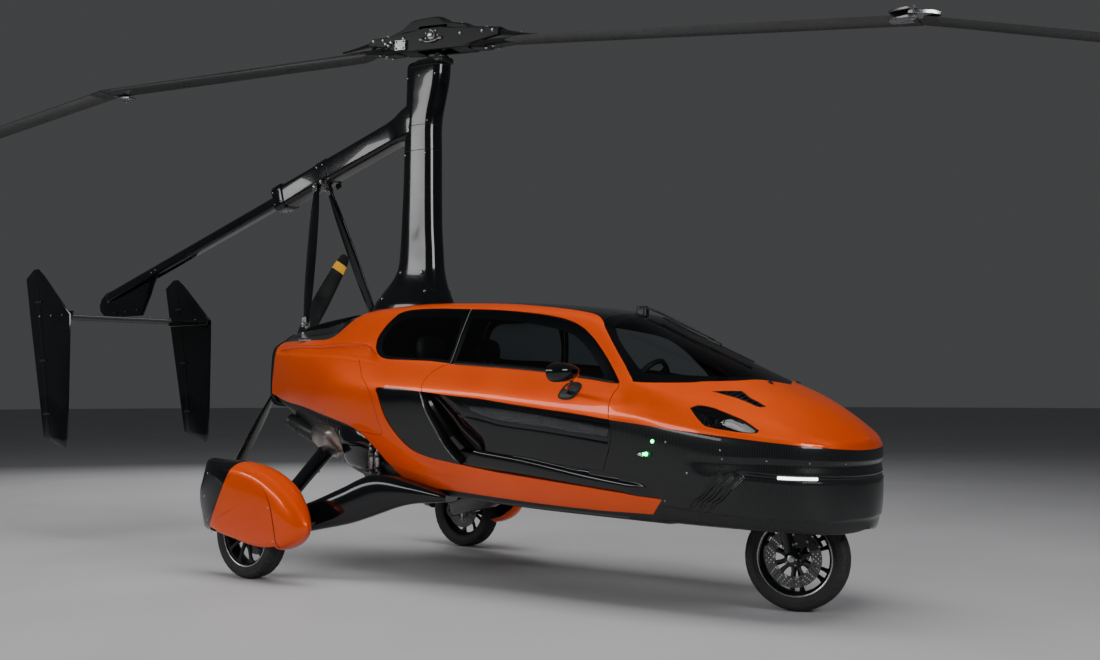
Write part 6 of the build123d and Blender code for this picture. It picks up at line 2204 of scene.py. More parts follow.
def blade_part(kind):
    g = Geo()
    if kind == "root":
        st = [(470, 34, -40, 40), (500, 50, -70, 42), (560, 60, -110, 41), (640, 62, -142, 40), (760, 62, -150, 38), (1300, 62, -150, 36), (2000, 62, -150, 36), (2796, 62, -150, 36)]
        rows = []
        for x, f, b, th in st:
            z = ROOTZ - (x - 480) * DI
            rows.append([(x, q[0], q[1]) for q in foil2(f, b, z, th, n=12, up=0.58)])
        R = np.transpose(np.array([spline(np.array([row[k] for row in rows]), 3) for k in range(len(rows[0]))]), (1, 0, 2))
        g.join(loft(R, m=0))
        # fold fitting: two eyes, cheek plates and bolts
        for z0, z1 in ((ZF + 14, ZF + 26), (ZF - 26, ZF - 14)):
            eye = np.array([(2792, -90), (2720, -90), (2684, -100), (2680, -150), (2700, -176), (2776, -203), (2800, -204), (2816, -197), (2824, -180), (2816, -163), (2800, -156), (2792, -150)])
            g.join(extrude(eye, z0, z1, m=1, bev=1.5))
        g.join(tube([(2800, -180, ZF - 32), (2800, -180, ZF + 32)], 8, 18, m=1))
        for s in (-1, 1):
            g.join(revolve([(0.01, 0), (13, 0), (14, 1), (14, 7), (12, 8), (0.01, 8)], n=6, axis=(0, 0, s), origin=(2800, -180, ZF + s * 27), m=1))
        for x in (2700, 2730, 2762):
            for s in (-1, 1):
                g.join(bolt((x, -112 - (x - 2700) * 0.2, ZF + (2796 - x) * DI * 0 + s * 26), (0, 0, s), 5, 5, m=1))
        g.join(loft([[(x, q[0] * 1.02 if q[0] > 0 else q[0], ZF + (2796 - x) * DI + (q[1] - ZF) * k) for q in foil2(62, -150, ZF, 36, n=12, up=0.58)] for x, k in ((2700, 1.0), (2702, 1.09), (2790, 1.09), (2795, 1.0))], caps=True, m=2))
    else:
        st = [(2804, 56, -140, 30), (3500, 56, -140, 28), (4300, 56, -140, 26), (5100, 56, -140, 23), (5300, 55, -138, 22), (5350, 50, -134, 18), (5374, 34, -120, 9)]
        rows = []
        for x, f, b, th in st:
            z = ZF - (x - 2800) * DO
            rows.append([(x, q[0], q[1]) for q in foil2(f, b, z, th, n=12, up=0.58)])
        R = np.transpose(np.array([spline(np.array([row[k] for row in rows]), 3) for k in range(len(rows[0]))]), (1, 0, 2))
        g.join(loft(R, m=0))
        eye = np.array([(2808, -90), (2880, -90), (2914, -100), (2918, -130), (2890, -170), (2824, -203), (2800, -204), (2784, -197), (2776.5, -180), (2784, -163), (2800, -156), (2808, -150)])
        g.join(extrude(eye, ZF - 8.5, ZF + 8.5, m=1, bev=1.5))
        g.join(loft([[(x, q[0] * 1.02 if q[0] > 0 else q[0], ZF - (x - 2800) * DO + (q[1] - ZF) * k) for q in foil2(56, -140, ZF, 30, n=12, up=0.58)] for x, k in ((2806, 1.0), (2811, 1.1), (2900, 1.1), (2902, 1.0))], caps=True, m=2))
        for x in (2836, 2870, 2900):
            g.join(bolt((x, -116, ZF + 9), (0, 0, 1), 5, 5, m=1))
    return g


HT = np.diag([-1.0, -1.0, 1.0, 1.0])
for who, M in (("front", MHEAD), ("rear", MHEAD @ HT)):
    for kind, body in (("root", "rotor_hub"), ("tip", who + "_blade_tip")):
        G2 = Geo()
        G2.join(blade_part(kind), M)
        G2.make(who + "_blade_" + kind + "_skin", body, [BLADE, STEEL, SATIN], slot="black_blade", replaces=[who + "_blade_" + kind], sharp=40, weld=0.01)

# ------------------------------------------------------------------ propeller

PA = math.radians(56.3)
MP = np.eye(4)
MP[:3, :3] = np.column_stack([(0, math.cos(PA), math.sin(PA)), np.cross((1, 0, 0), (0, math.cos(PA), math.sin(PA))), (1, 0, 0)])
MP[:3, 3] = (-1300, 0, 1195)
pr = Geo()
for s in (1, -1):
    T = np.diag([1.0 * s, 1.0 * s, 1.0, 1.0])
    st = [(60, 42, 40, 56), (110, 54, 38, 50), (160, 74, 35, 44), (220, 90, 31, 39), (330, 105, 26, 32), (480, 111, 21, 25), (620, 104, 17, 20), (740, 93, 14, 17), (820, 80, 11, 15), (856, 66, 9, 14), (872, 46, 6, 14), (876, 22, 4, 14)]
    rows, mats = [], []
    S = spline(np.array(st, float), 4)
    for r, c, th, tw in S:
        a = math.radians(tw)
        q = foil2(c * 0.42, -c * 0.58, 0, th, n=10, up=0.62, cam=th * 0.1)
        rows.append([(r, v * math.sin(a) - u * math.cos(a), u * math.sin(a) + v * math.cos(a)) for u, v in q[::-1]])
    g = loft([np.array(r) for r in rows], m=0)
    V = np.concatenate(g.v)
    g.m = [1 if 738 < V[list(q)].mean(0)[0] < 800 else 0 for q in g.f]
    pr.join(g, T)
    # root ferrule
    pr.join(revolve([(30, 38), (33, 40), (33, 74), (29, 84), (24, 88)], n=28, axis=(1, 0, 0), m=2), T)
pr.join(revolve([(25.3, -46), (60, -46), (72, -42), (75, -34), (75, 34), (72, 42), (60, 46), (25.3, 46)], n=48, m=3))
pr.join(revolve([(0.01, -84), (10, -82), (22, -74), (30, -60), (34, -46)], n=32, m=3))
for i in range(6):
    a = 2 * math.pi * (i + 0.5) / 6
    pr.join(bolt((52 * math.cos(a), 52 * math.sin(a), -46), (0, 0, -1), 6, 7, m=2))
    pr.join(bolt((52 * math.cos(a), 52 * math.sin(a), 46), (0, 0, 1), 6, 6, m=2))
G2 = Geo()
G2.join(pr, MP)
G2.make("propeller_blades", "propeller", [BLADE, YELLOW, STEEL, SATIN], slot="black_blade", replaces=["propeller"], sharp=40, weld=0.01)

# ------------------------------------------------------------------ mirrors, wiper and side lights

mi = Geo()
rows = []
for t in np.linspace(0, 1, 22):
    x = 1498 + 96 * t
    k = math.sqrt(max(0.0, 1 - (max(0, t - 0.12) / 0.90) ** 2.3))
    a, b = 97 * k + 0.5, 45 * k + 0.5
    if t < 0.05:
        a, b = a * (0.955 + t), b * (0.93 + t)
    rows.append([(x, -838 + u - 4 * t, 1106 + v * (1.0 - 0.16 * u / 97.0) + 3 * t) for u, v in super_ring(a, b, 2.3, 44)])
R = np.array(rows)
mi.join(loft(R, caps=False, m=0))
# bezel and the glass set back inside it
bez = [(1498, 0.955, 0.93), (1495.5, 0.93, 0.90), (1497, 0.90, 0.86), (1504, 0.89, 0.85)]
rr = [[(x, -838 + u, 1106 + v * (1.0 - 0.16 * u / 97.0)) for u, v in super_ring(97 * fa, 45 * fb, 2.3, 44)] for x, fa, fb in bez]
mi.join(loft(rr[::-1], caps=False, m=1))
rr = [[(1504, -838 + u, 1106 + v * (1.0 - 0.16 * u / 97.0)) for u, v in super_ring(97 * f * 0.89, 45 * f * 0.85, 2.3, 44)] for f in (1.0, 0.6, 0.2, 0.01)]
mi.join(loft(rr, caps=False, m=2))
# the stalk, flattened, with a ball at the head, on a plinth
stalk = spline(np.array([(1524, -778, 1082), (1518, -764, 1060), (1486, -734, 1046), (1430, -680, 1036), (1384, -620, 1028), (1352, -580, 1022), (1338, -556, 1018)], float), 7)
mi.join(tube(stalk, np.interp(np.linspace(0, 1, len(stalk)), [0, 0.3, 0.8, 1], [10, 8.5, 10, 14]), 18, m=0, flat=0.8))
uv = sd(1334, 1022)
p, n = at(uv), surf_n([uv])[0]
M = place(p, n, (1, 0, 0))
dia = np.array([(-62, -28), (-44, -44), (6, -44), (34, -30), (64, 26), (46, 42), (-10, 42), (-32, 30)], float)
dia = resample(smooth_loop([np.array(q) for q in dia], corners=(), n=6), 7)
mi.join(loft([np.column_stack([dia * k, np.full(len(dia), h)]) for h, k in ((-3, 1.0), (4, 1.0), (7.5, 0.95), (10, 0.82), (12, 0.45))], m=3), M)
mi.join(revolve([(0.01, 22), (10, 21), (15, 16), (17, 10), (17, 4)], n=24, m=3), M)
for who in ("right", "left"):
    (mi if who == "right" else mi.mirror()).make(who + "_mirror_housing", who + "_door", [BLACK, SATIN, CHROME, SATIN], slot="black_gloss", replaces=[who + "_mirror"], sharp=40, weld=0.01)

wp = Geo()
top = np.array([1400.0, 0, 1437])
path = []
for x in np.linspace(1440, 2060, 24):
    uv = pl(x, 2)
    q = at(uv, 22 if x < 2040 else 16)
    path.append((q[0], 0, q[2]))
path = np.array(path)
# main arm: a flat bar above the glass, from the pivot block at the top of the screen
arm = np.vstack([[(1398, 0, path[0][2] + 24), (1424, 0, path[0][2] + 20)], path[2:15] + (0, 0, 12)])
wp.join(tube(spline(arm, 3), np.interp(np.linspace(0, 1, len(spline(arm, 3))), [0, 0.1, 0.5, 1], [10, 9, 6.5, 4.5]), 12, m=0, flat=0.55))
for s in (-1, 1):
    a2 = np.vstack([[(1404, s * 12, path[0][2] + 20)], path[2:12] + (0, s * 7, 16)])
    wp.join(tube(spline(a2, 3), 2.6, 8, m=1))
wp.join(loft([[(1404 + u, v, path[0][2] + h) for u, v in super_ring(a, b, 4.0, 28)] for h, a, b in ((-24, 30, 24), (8, 30, 24), (14, 28, 22), (24, 27, 20), (27, 24, 18), (28, 14, 10))], m=0))
wp.join(tube([(1398, -26, path[0][2] + 16), (1398, 26, path[0][2] + 16)], 7, 16, m=0))
# the blade: a spine with a rubber lip, and its bridge
for x0, x1, w, h, m in ((1520, 2062, 7.5, 4, 0), (1526, 2058, 2.2, -9, 2)):
    sel = path[(path[:, 0] > x0) & (path[:, 0] < x1)] - (0, 0, 8)
    wp.join(tube(sel + (0, 0, h), w, 8, m=m, flat=0.6))
mid = path[14]
wp.join(loft([[(mid[0] + x, q[0], mid[2] + q[1] - x * 0.46) for q in round_rect(22, 18, 4, 2)] for x in (-34, 34)], m=0))
wp.make("wiper_arm", "fuselage", [SATIN, STEEL, RUBBER], slot="black_trim", replaces=["wiper"], sharp=40)

nv = Geo()
uv = sd(1768, 734)
p, n = at(uv), surf_n([uv])[0]
M = place(p, n, (1, 0, 0))
nv.join(loft([np.column_stack([super_ring(a, b, 2.4, 36), np.full(36, h)]) for h, a, b in ((-3, 40, 20), (3, 40, 20), (5, 37, 17))], m=0), M)
cover = Geo()
cover.join(loft([np.column_stack([super_ring(a, b, 2.2, 36) + (c, 0), np.full(36, h)]) for h, a, b, c in ((5, 36, 16.5, 0), (14, 34, 15.5, 0.5), (22, 30, 13.5, 1), (30, 22, 10, 2), (34, 12, 6, 3), (35.5, 0.5, 0.5, 3))], caps=False), M)
led = Geo()
led.join(revolve([(0.01, 20), (5, 19), (8, 15), (9, 10), (9, 4)], n=20), M @ place((12, 0, 0)))
case = Geo()
case.join(loft([[(x, u, 15 + v) for u, v in super_ring(a, b, 2.2, 24)] for x, a, b in ((-33, 1, 1), (-30, 6, 5), (-20, 10, 9), (-8, 12, 11), (0, 12, 11), (2, 8, 8))]), M)
mk = Geo()
uv2 = sd(1812, 792)
p2, n2 = at(uv2), surf_n([uv2])[0]
M2 = place(p2, n2, (1, 0, 0))
mk.join(revolve([(0.01, 6), (6, 5.5), (8, 3), (8.5, -2)], n=20), M2)
both(nv).make("side_light_base", "fuselage", SATIN, replaces=["navigation_lights"], slot="lamp_glass", sharp=40)
both(cover).make("side_light_cover", "fuselage", LENS, sharp=60)
both(case).make("side_light_reflector", "fuselage", CHROME, sharp=60)
for g, who, mm in ((led, "right", GREEN_LED), (led.mirror(), "left", RED_LED)):
    g.make(who + "_side_light", "fuselage", mm, sharp=60)
for g, who, mm in ((mk, "right", GREEN_LED), (mk.mirror(), "left", RED_LED)):
    g.make(who + "_marker_light", "fuselage", mm, sharp=60)

# ------------------------------------------------------------------ engine bay and cabin tub


def finish_node(name, m):
    o = nodes[name]
    o.data.materials.clear()
    o.data.materials.append(m)


finish_node("engine_block", CAST)
finish_node("cabin_tub", CARPET)
en = Geo()
for x, z, h, r in ((-92, 622, 140, 19), (-34, 628, 110, 17), (-62, 700, 60, 11), (-70, 548, 90, 16)):
    c = at(sd(x, z), -12)
    ax = unit((0.10, -0.16, 1))
    en.join(revolve([(0.01, -h / 2), (r * 0.7, -h / 2), (r, -h / 2 + 5), (r, -6), (r * 1.14, -4), (r * 1.14, 4), (r, 6), (r, h / 2 - 7), (r * 0.8, h / 2), (r * 0.45, h / 2 + 3), (r * 0.45, h / 2 + 16), (0.01, h / 2 + 16)], n=24, axis=ax, origin=c, m=0))
    for k in (-0.3, 0.28):
        en.join(revolve([(r + 0.2, -6), (r + 2.6, -5), (r + 2.6, 5), (r + 0.2, 6)], n=24, axis=ax, origin=c + ax * h * k, m=1))
        en.join(bolt(c + ax * h * k - (0, r + 2, 0), (0, -1, 0), 3.5, 5, m=0))
c = at(sd(-70, 600), -22)
en.join(tube([c + (-60, 6, 8), c + (60, -8, 14)], 7, 10, m=2))
c0_, c1_ = at(sd(-92, 570), -16), at(sd(-200, 520), -4)
en.join(tube(spline([c0_, (c0_ + c1_) / 2 + (0, -14, -6), c1_], 8), 6, 10, m=3))
both(en).make("engine_bay_fittings", "fuselage", [STEEL, SATIN, CAST, RUBBER, BLACK], slot="engine_metal", sharp=38)

# ------------------------------------------------------------------ seats

LEA = LEATHER


def cushion_mesh(rows, n=44, power=3.6):
    """closed rounded form from cross-sections (centre, half width, half thickness, axes)"""
    out = []
    for c, sx, sy, X, Y in rows:
        ring = super_ring(sx, sy, power, n)
        out.append([np.array(c, float) + np.array(X, float) * u + np.array(Y, float) * v for u, v in ring])
    return loft(out, uvs=False)


def soften(name, g, cap, mats, fill, body="fuselage", seams=None):
    """pads are blown up a little by cloth pressure, then sewn channels are pressed in"""
    V = np.concatenate(g.v) * 0.001
    me = bpy.data.meshes.new(name)
    me.from_pydata(V.tolist(), [], g.f)
    o = bpy.data.objects.new(name, me)
    bpy.context.scene.collection.objects.link(o)
    bm = bmesh.new()
    bm.from_mesh(me)
    bmesh.ops.remove_doubles(bm, verts=bm.verts, dist=0.0001)
    bmesh.ops.recalc_face_normals(bm, faces=bm.faces)
    bm.to_mesh(me)
    bm.free()
    rm = o.modifiers.new("remesh", "REMESH")
    rm.mode = "VOXEL"
    rm.voxel_size = 0.012
    dg = bpy.context.evaluated_depsgraph_get()
    new = bpy.data.meshes.new_from_object(o.evaluated_get(dg))
    o.modifiers.clear()
    o.data = new
    base = np.array([v.co[:] for v in new.vertices])
    cl = o.modifiers.new("cloth", "CLOTH")
    cl.settings.quality = 4
    cl.settings.mass = 0.3
    cl.settings.use_pressure = True
    cl.settings.uniform_pressure_force = 4.0
    cl.settings.effector_weights.gravity = 0.0
    cl.settings.tension_stiffness = 25
    cl.settings.compression_stiffness = 25
    cl.settings.bending_stiffness = 0.6
    sc = bpy.context.scene
    for f in range(1, 15):
        sc.frame_set(f)
    dg = bpy.context.evaluated_depsgraph_get()
    ev = o.evaluated_get(dg)
    now = np.array([v.co[:] for v in ev.data.vertices])
    if now.shape == base.shape and np.isfinite(now).all():
        d = now - base
        L = np.linalg.norm(d, axis=1, keepdims=True)
        now = base + d * np.minimum(1, cap * 0.001 / np.maximum(L, 1e-9))
    else:
        now = base
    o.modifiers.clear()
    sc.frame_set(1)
    me = o.data
    me.vertices.foreach_set("co", now.astype(np.float32).ravel())
    me.update()
    sub = o.modifiers.new("sub", "SUBSURF")
    sub.levels = 1
    sub.render_levels = 1
    dg = bpy.context.evaluated_depsgraph_get()
    fin = bpy.data.meshes.new_from_object(o.evaluated_get(dg))
    o.modifiers.clear()
    o.data = fin
    V = np.array([v.co[:] for v in fin.vertices]) * 1000
    N = np.array([v.normal[:] for v in fin.vertices])
    idx = np.zeros(len(fin.polygons), np.int32)
    if seams is not None:
        V, region = seams(V, N)
        fin.vertices.foreach_set("co", (V * 0.001).astype(np.float32).ravel())
        for i, p in enumerate(fin.polygons):
            idx[i] = int(round(float(np.mean([region[k] for k in p.vertices])) + 1e-6))
    fin.materials.clear()
    for m in mats:
        fin.materials.append(m)
    fin.polygons.foreach_set("material_index", idx)
    fin.update()
    fin.shade_smooth()
    o.data.name = name
    return o


def mirrored(o, name):
    me = o.data.copy()
    V = np.array([v.co[:] for v in me.vertices])
    V[:, 1] *= -1
    me.vertices.foreach_set("co", V.astype(np.float32).ravel())
    me.flip_normals()
    me.update()
    q = bpy.data.objects.new(name, me)
    bpy.context.scene.collection.objects.link(q)
    return q


def seat_seams(V, N):
    # fore-and-aft channels on the insert, a welt along the bolsters
    region = np.zeros(len(V))
    w = np.abs(V[:, 1] + 240)
    top = (N[:, 2] > 0.55) & (w < 118) & (V[:, 0] > 352) & (V[:, 0] < 790)
    region[top] = 1
    ch = np.abs(((V[:, 0] - 360) / 62.0) % 1.0 - 0.5)
    V = V.copy()
    k = top & (w < 112)
    V[k] -= N[k] * (7.0 * smooth01((ch[k] - 0.36) / 0.14))[:, None]
    b = np.abs(w - 118)
    k = (N[:, 2] > 0.3)
    V[k] -= N[k] * (8.0 * smooth01(1 - b[k] / 11.0))[:, None]
    return V, region


def back_seams(V, N):
    region = np.zeros(len(V))
    w = np.abs(V[:, 1] + 240)
    front = (N[:, 0] > 0.5) & (w < 112) & (V[:, 2] > 800) & (V[:, 2] < 1120)
    region[front] = 1
    ch = np.abs(((V[:, 2] - 800) / 58.0) % 1.0 - 0.5)
    V = V.copy()
    k = front & (w < 106)
    V[k] -= N[k] * (7.0 * smooth01((ch[k] - 0.36) / 0.14))[:, None]
    b = np.abs(w - 112)
    k = (N[:, 0] > 0.3)
    V[k] -= N[k] * (7.0 * smooth01(1 - b[k] / 11.0))[:, None]
    return V, region


X, Z = (0, 1, 0), (0, 0, 1)
rows = [((346, -240, 700), 150, 34, X, Z), ((356, -240, 700), 172, 48, X, Z), ((400, -240, 698), 180, 52, X, Z), ((520, -240, 696), 182, 50, X, Z), ((660, -240, 700), 180, 52, X, Z), ((760, -240, 703), 176, 50, X, Z), ((800, -240, 698), 168, 42, X, Z), ((814, -240, 694), 146, 26, X, Z)]
base_geo = cushion_mesh(rows)
# the seat's side bolsters stand above its middle
V = np.concatenate(base_geo.v)
w = np.abs(V[:, 1] + 240)
V[:, 2] += np.where(V[:, 2] > 700, 14 * smooth01((w - 96) / 50) - 12 * smooth01(1 - w / 110), 0)
base_geo.v = [V]
so = soften("right_seat_cushion", base_geo, 12, [LEA, CLOTH], 0.7, seams=seat_seams)
rows = []
for z, x, a, b in ((672, 300, 150, 30), (690, 292, 168, 42), (760, 270, 178, 48), (860, 242, 180, 50), (960, 216, 178, 50), (1060, 190, 170, 48), (1130, 172, 150, 44), (1162, 164, 128, 36), (1174, 160, 104, 20)):
    rows.append(((x, -240, z), a, b, (0, -1, 0), (1, 0, 0.26)))
bg = cushion_mesh(rows)
V = np.concatenate(bg.v)
w = np.abs(V[:, 1] + 240)
mid = np.interp(V[:, 2], [672, 1174], [300, 160])
V[:, 0] += np.where(V[:, 0] > mid, 16 * smooth01((w - 92) / 52) - 10 * smooth01(1 - w / 108), 0)
bg.v = [V]
sb = soften("right_seat_back", bg, 12, [LEA, CLOTH], 0.7, seams=back_seams)
rows = [((156, -240, 1196), 70, 24, (0, -1, 0), (1, 0, 0.1)), ((156, -240, 1204), 92, 34, (0, -1, 0), (1, 0, 0.1)), ((154, -240, 1240), 100, 40, (0, -1, 0), (1, 0, 0.1)), ((148, -240, 1290), 96, 36, (0, -1, 0), (1, 0, 0.1)), ((142, -240, 1314), 78, 24, (0, -1, 0), (1, 0, 0.1)), ((140, -240, 1320), 60, 12, (0, -1, 0), (1, 0, 0.1))]
sh = soften("right_headrest", cushion_mesh(rows), 8, [LEA], 0.8)
for o, nm, first in ((so, "left_seat_cushion", True), (sb, "left_seat_back", False), (sh, "left_headrest", False)):
    q = mirrored(o, nm)
    for k in (o, q):
        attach(k, "fuselage")
    if first:
        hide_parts("seats")
st = Geo()
# seat pan, side shells, headrest posts and rails
st.join(loft([[(x, -240 + q[0], z + q[1]) for q in round_rect(w, h, 12, 3)] for x, w, z, h in ((306, 330, 628, 46), (420, 344, 626, 50), (700, 340, 630, 48), (798, 320, 640, 36))], m=0))
for y in (-372, -108):
    st.join(loft([[(x + q[0], y + 6 * (1 if y > -240 else -1), z + q[1]) for q in round_rect(20, 26, 6, 2)] for x, z in ((300, 650), (300, 660))], m=0))
    st.join(box(318, 790, y - 14, y + 14, 560, 582, m=1))
    for x in (340, 760):
        st.join(box(x - 22, x + 22, y - 10, y + 10, 582, 612, m=0))
    st.join(box(330, 780, y - 20, y + 20, 534, 560, m=0))
for y in (-270, -210):
    st.join(tube([(160, y, 1150), (156, y, 1216)], 5.5, 12, m=1))
# belt over the back and across the pad
belt = spline(np.array([(150, -340, 1172), (196, -336, 1166), (232, -330, 1060), (282, -320, 900), (330, -318, 768), (352, -322, 716)], float), 6)
P, F = along(belt)
rows = [[p + np.array((0, 1, 0)) * u + np.array((1, 0, 0.26)) * v for u, v in ((-23, 0), (23, 0), (23, 2), (-23, 2))] for p in P + (24, 0, 6)]
st.join(loft(rows, m=2))
st.join(box(345, 372, -352, -326, 742, 800, m=0))
st.join(box(348, 369, -350, -328, 792, 806, m=3))
RED = mat("belt_button", (0.6, 0.03, 0.02), 0.45, var=0.1)
both(st).make("seat_frames_and_belts", "fuselage", [SATIN, STEEL, WEBBING, RED], sharp=35, bevel=0.0)

# ------------------------------------------------------------------ dashboard and controls

da = Geo()
DP = [(1768, 902), (1700, 986), (1640, 1034), (1560, 1058), (1470, 1070), (1420, 1072), (1388, 1062), (1366, 1034), (1372, 1004), (1398, 960), (1404, 908), (1440, 880), (1560, 828), (1640, 846), (1720, 876)]
DP = resample(spline(np.array(DP, float), 5, closed=True), 14)
c = DP.mean(0)
rows = []
for y in np.linspace(-396, 396, 37):
    e = abs(y) / 396.0
    k = 1 - 0.20 * smooth01((e - 0.9) / 0.1)
    q = (DP - c) * k + c
    hump = 10.0 * np.exp(-(((y - 235) / 120.0) ** 2)) - 6 * np.exp(-((y / 90.0) ** 2))
    top = smooth01((q[:, 1] - 1010) / 50) * smooth01((1560 - q[:, 0]) / 150)
    rows.append(np.column_stack([q[:, 0] - 8 * top * np.exp(-(((y - 235) / 120.0) ** 2)), np.full(len(q), y), q[:, 1] + hump * top]))
da.join(loft(rows, m=0))
# binnacle hood, two screens and vents facing the occupants
for y, w, h, z in ((235, 210, 92, 1012), (20, 170, 104, 1006), (-210, 190, 60, 1010)):
    M = place((1366, y, z), unit((-0.94, 0, 0.34)), (0, 1, 0))
    da.join(loft([np.column_stack([round_rect(w + a, h + a, 10, 4), np.full(20, hh)]) for a, hh in ((14, -14), (14, 4), (8, 7), (0, 7), (-2, 2))], caps=False, m=1), M)
    da.join(extrude(round_rect(w - 2, h - 2, 8, 4), -4, 2.2, m=2), M)
for y in (-340, -110, 120, 350):
    M = place((1372, y, 1020), unit((-0.95, 0, 0.30)), (0, 1, 0))
    da.join(revolve([(24, -12), (31, -8), (33, 2), (29, 6), (24, 2)], n=32, m=1), M)
    for k in range(-3, 4):
        wv = math.sqrt(max(0, 24**2 - (k * 6.5) ** 2))
        da.join(box(-wv, wv, k * 6.5 - 1, k * 6.5 + 1, -8, 0, m=1), M)
# glare cover over the main display
rows = [[(1352 + x, 235 + y, 1070 + z + 16 * math.exp(-((y / 90.0) ** 2))) for x, z in ((0, 0), (60, 4), (110, -6), (110, -12), (60, -3), (0, -6))] for y in np.linspace(-130, 130, 15)]
da.join(loft(rows, m=1))
da.make("dashboard_shell", "fuselage", [mat("dash_skin", (0.020, 0.020, 0.021), 0.75, var=0.15, bump=0.5, bscale=900), SATIN, DISPLAY], slot="black_trim", replaces=["dashboard"], sharp=40)
col = Geo()
col.join(revolve([(0.01, 0), (30, 0), (34, 8), (34, 70), (26, 84), (18, 90), (0.01, 92)], n=28, axis=unit((-0.87, 0, 0.49)), origin=(1384, 235, 994)))
for s in (-1, 1):
    col.join(tube([(1352, 235 + s * 26, 1012), (1346, 235 + s * 110, 1022)], 6, 10))
pd = Geo()
for y in (-300, -180, 180, 300):
    pd.join(tube(spline([(1700, y, 760), (1640, y, 700), (1620, y, 640)], 5), 8, 10))
    pd.join(box(1604, 1614, y - 34, y + 34, 590, 668, m=1))
con = Geo()
rows = []
for x, z, w in ((330, 640, 64), (420, 676, 70), (700, 690, 72), (980, 700, 74), (1200, 760, 84), (1340, 900, 96)):
    rows.append([(x, q[0], (z + 540) / 2 + q[1]) for q in round_rect(w, z - 540, 18, 4)])
con.join(loft(rows, m=0))
con.join(tube(spline([(560, 0, 690), (556, 0, 760), (540, 0, 800)], 6), 9, 12, m=1))
con.join(revolve([(0.01, 22), (12, 20), (19, 8), (19, -8), (12, -20), (8, -22)], n=24, axis=(0, 0, 1), origin=(540, 0, 812), m=1))
mk = Geo().join(col).join(pd)
mk.make("steering_column_and_pedals", "fuselage", [SATIN, ALLOY], sharp=40)
con.make("centre_console", "fuselage", [LINER, SATIN], sharp=40, weld=0.01)

MS = np.eye(4)
z_ = unit((-0.87, 0, 0.49))
MS[:3, :3] = frame_at(z_, (0, 1, 0))
MS[:3, 3] = (1290, 235, 1047)
a33 = math.radians(33)
R33 = np.eye(4)
R33[:2, :2] = [[math.cos(a33), -math.sin(a33)], [math.sin(a33), math.cos(a33)]]
sw = Geo()
a = np.linspace(0, 2 * math.pi, 73)[:-1]
rows = []
for t in np.append(a, a[0]):
    o = np.array([math.cos(t), math.sin(t) * 0.985, 0])
    flat = 1 - 0.07 * smooth01((-math.sin(t) - 0.86) / 0.14)
    thick = 13.5 + 1.6 * math.exp(-(((abs(math.sin(t)) - 0.25) / 0.2) ** 2))
    rows.append([o * 150 * flat + o * thick * math.cos(b) + np.array([0, 0, 1]) * thick * math.sin(b) for b in np.linspace(0, 2 * math.pi, 15)[:-1]])
sw.join(loft(rows, caps=False, m=0))
for ang in (0, 180, 270):
    t = math.radians(ang)
    M = place((0, 0, 0), (0, 0, 1), (math.cos(t), math.sin(t), 0))
    rr = [[(x, q[0], z + q[1]) for q in round_rect(w, h, min(w, h) * 0.35, 3)] for x, w, h, z in ((34, 56, 22, -6), (70, 36, 16, -4), (110, 26, 13, -2), (140, 24, 13, 0))]
    sw.join(loft(rr, m=1), M)
sw.join(loft([np.column_stack([super_ring(aa, bb, 2.8, 36), np.full(36, h)]) for h, aa, bb in ((-24, 30, 30), (-20, 42, 42), (-6, 50, 48), (6, 50, 46), (13, 42, 38), (16, 24, 22), (17, 2, 2))], m=2))
for x in (-82, 82):
    sw.join(loft([np.column_stack([round_rect(24, 14, 4, 3) + (x, 0), np.full(16, h)]) for h in (3, 7.5)], m=1))
G2 = Geo()
G2.join(sw, MS @ R33)
G2.make("steering_wheel_rim", "steering_wheel", [LEATHER, SATIN, LINER], slot="black_trim", replaces=["steering_wheel"], sharp=45, weld=0.01)

# trim behind the seats
par = Geo()
ring = []
for k in range(0, 7 * NT + 1, 3):
    p = SURF[int(float(s_of(-205)) / SMAX * (NS - 1)), k]
    ring.append((p[0], p[1], p[2]))
ring = np.array(ring)
c = np.array([-205, 0, 950.0])
half_ = (ring - c) * (1, 0.92, 0.94) + c
L2 = np.vstack([half_[:, 1:], (half_[:, 1:] * (-1, 1))[::-1][1:-1]])
V, Fc, idx = mesh2d([resample(L2, 40)], 60)
A = np.column_stack([np.full(len(V), -205.0), V[:, 0], V[:, 1]])
par.join(Geo().add(A, Fc, 0))
A2 = A.copy()
A2[:, 0] += 4
par.join(Geo().add(A2, Fc[:, ::-1], 0))
par.make("rear_partition_trim", "fuselage", CARPET, sharp=60)

# ------------------------------------------------------------------ camera, floor and light

cam_data = bpy.data.cameras.new("camera")
cam_data.lens = 1273.289 / 1100 * 36.0
cam_data.sensor_width = 36.0
cam_data.sensor_fit = "HORIZONTAL"
cam_data.clip_start = 0.05
cam_data.clip_end = 200
cam = bpy.data.objects.new("camera", cam_data)
bpy.context.scene.collection.objects.link(cam)
az, el, roll = math.radians(37.7051), math.radians(2.5725), math.radians(-0.0756)
fwd = Vector((-math.sin(az) * math.cos(el), math.cos(az) * math.cos(el), math.sin(el)))
q = fwd.to_track_quat("-Z", "Y")
cam.rotation_euler = (q.to_matrix() @ Matrix.Rotation(roll, 3, "Z")).to_euler()
cam.location = (5.00960, -5.44073, 1.03933)
bpy.context.scene.camera = cam


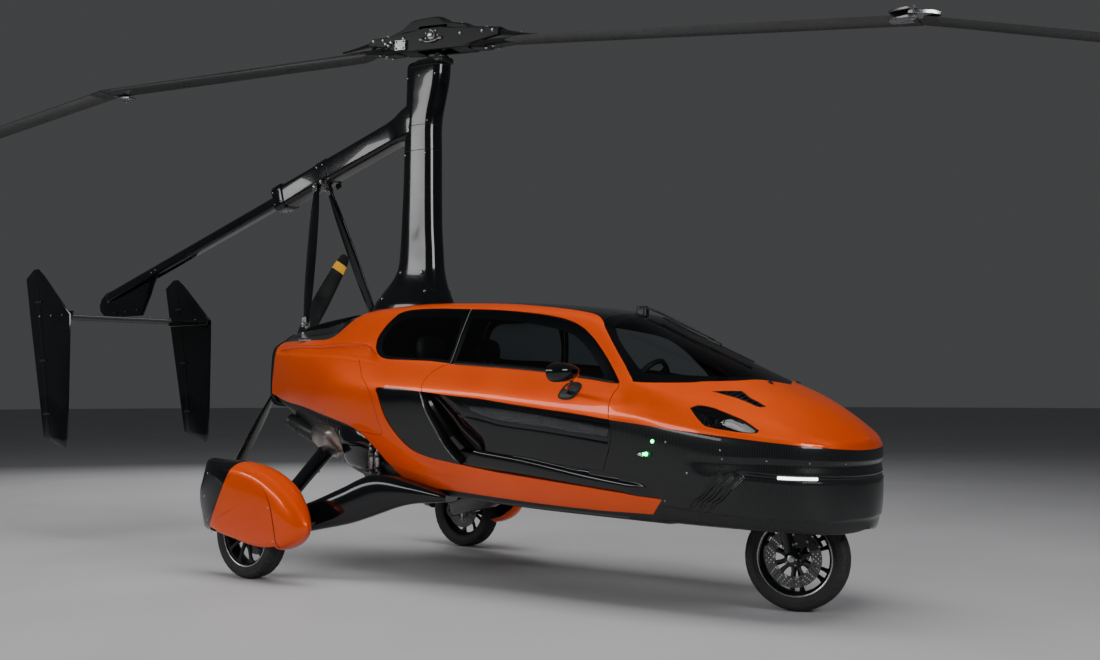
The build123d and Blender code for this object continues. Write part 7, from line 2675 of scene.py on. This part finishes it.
def stage_mesh(name, V, F, m, smooth=True):
    me = bpy.data.meshes.new(name)
    me.from_pydata([tuple(v) for v in V], [], F)
    me.materials.append(m)
    if smooth:
        me.shade_smooth()
    o = bpy.data.objects.new(name, me)
    bpy.context.scene.collection.objects.link(o)
    return o


FLOOR = mat("pale_floor", (0.40, 0.40, 0.41), 0.55, var=0.03, vscale=0.6, rvar=0.05)
a = np.radians(np.linspace(0, 360, 97)[:-1])
rows = []
for r, z in [(0.00002, 0), (6, 0), (12, 0), (20, 0), (32, 0), (46, 0), (60, 0)]:
    rows.append([(r * math.cos(t) - 0, r * math.sin(t), z) for t in a])
V = [p for r in rows for p in r]
n = len(a)
F = [(i * n + j, i * n + (j + 1) % n, (i + 1) * n + (j + 1) % n, (i + 1) * n + j) for i in range(len(rows) - 1) for j in range(n)]
stage_mesh("floor", V, F, FLOOR)


def area(name, loc, target, size, power, col=(1, 1, 1), sy=None):
    d = bpy.data.lights.new(name, "AREA")
    d.energy = power
    d.color = col
    d.shape = "RECTANGLE"
    d.size = size
    d.size_y = sy or size
    o = bpy.data.objects.new(name, d)
    o.location = loc
    o.rotation_euler = (Vector(target) - Vector(loc)).to_track_quat("-Z", "Y").to_euler()
    bpy.context.scene.collection.objects.link(o)
    return o


area("overhead", (0.3, -0.6, 6.2), (0.3, 0, 0), 9.0, 430, sy=3.2).visible_glossy = False
area("side_bank", (3.4, -8.5, 4.4), (0.6, 0, 0.9), 5.0, 230, sy=1.6).visible_glossy = False
area("side_strip", (-3.8, -8.4, 4.0), (0.2, 0, 0.9), 8.0, 250, sy=1.5)
area("nose_bank", (8.5, -1.5, 4.0), (1.0, 0, 0.9), 4.0, 230, sy=1.6)
area("rear_bank", (-7.5, 5.0, 4.8), (-0.5, 0, 1.2), 5.0, 330, sy=2.0).visible_glossy = False
w = bpy.data.worlds.new("studio")
w.use_nodes = True
w.node_tree.nodes["Background"].inputs["Color"].default_value = (0.46, 0.47, 0.48, 1)
w.node_tree.nodes["Background"].inputs["Strength"].default_value = 0.13
bpy.context.scene.world = w
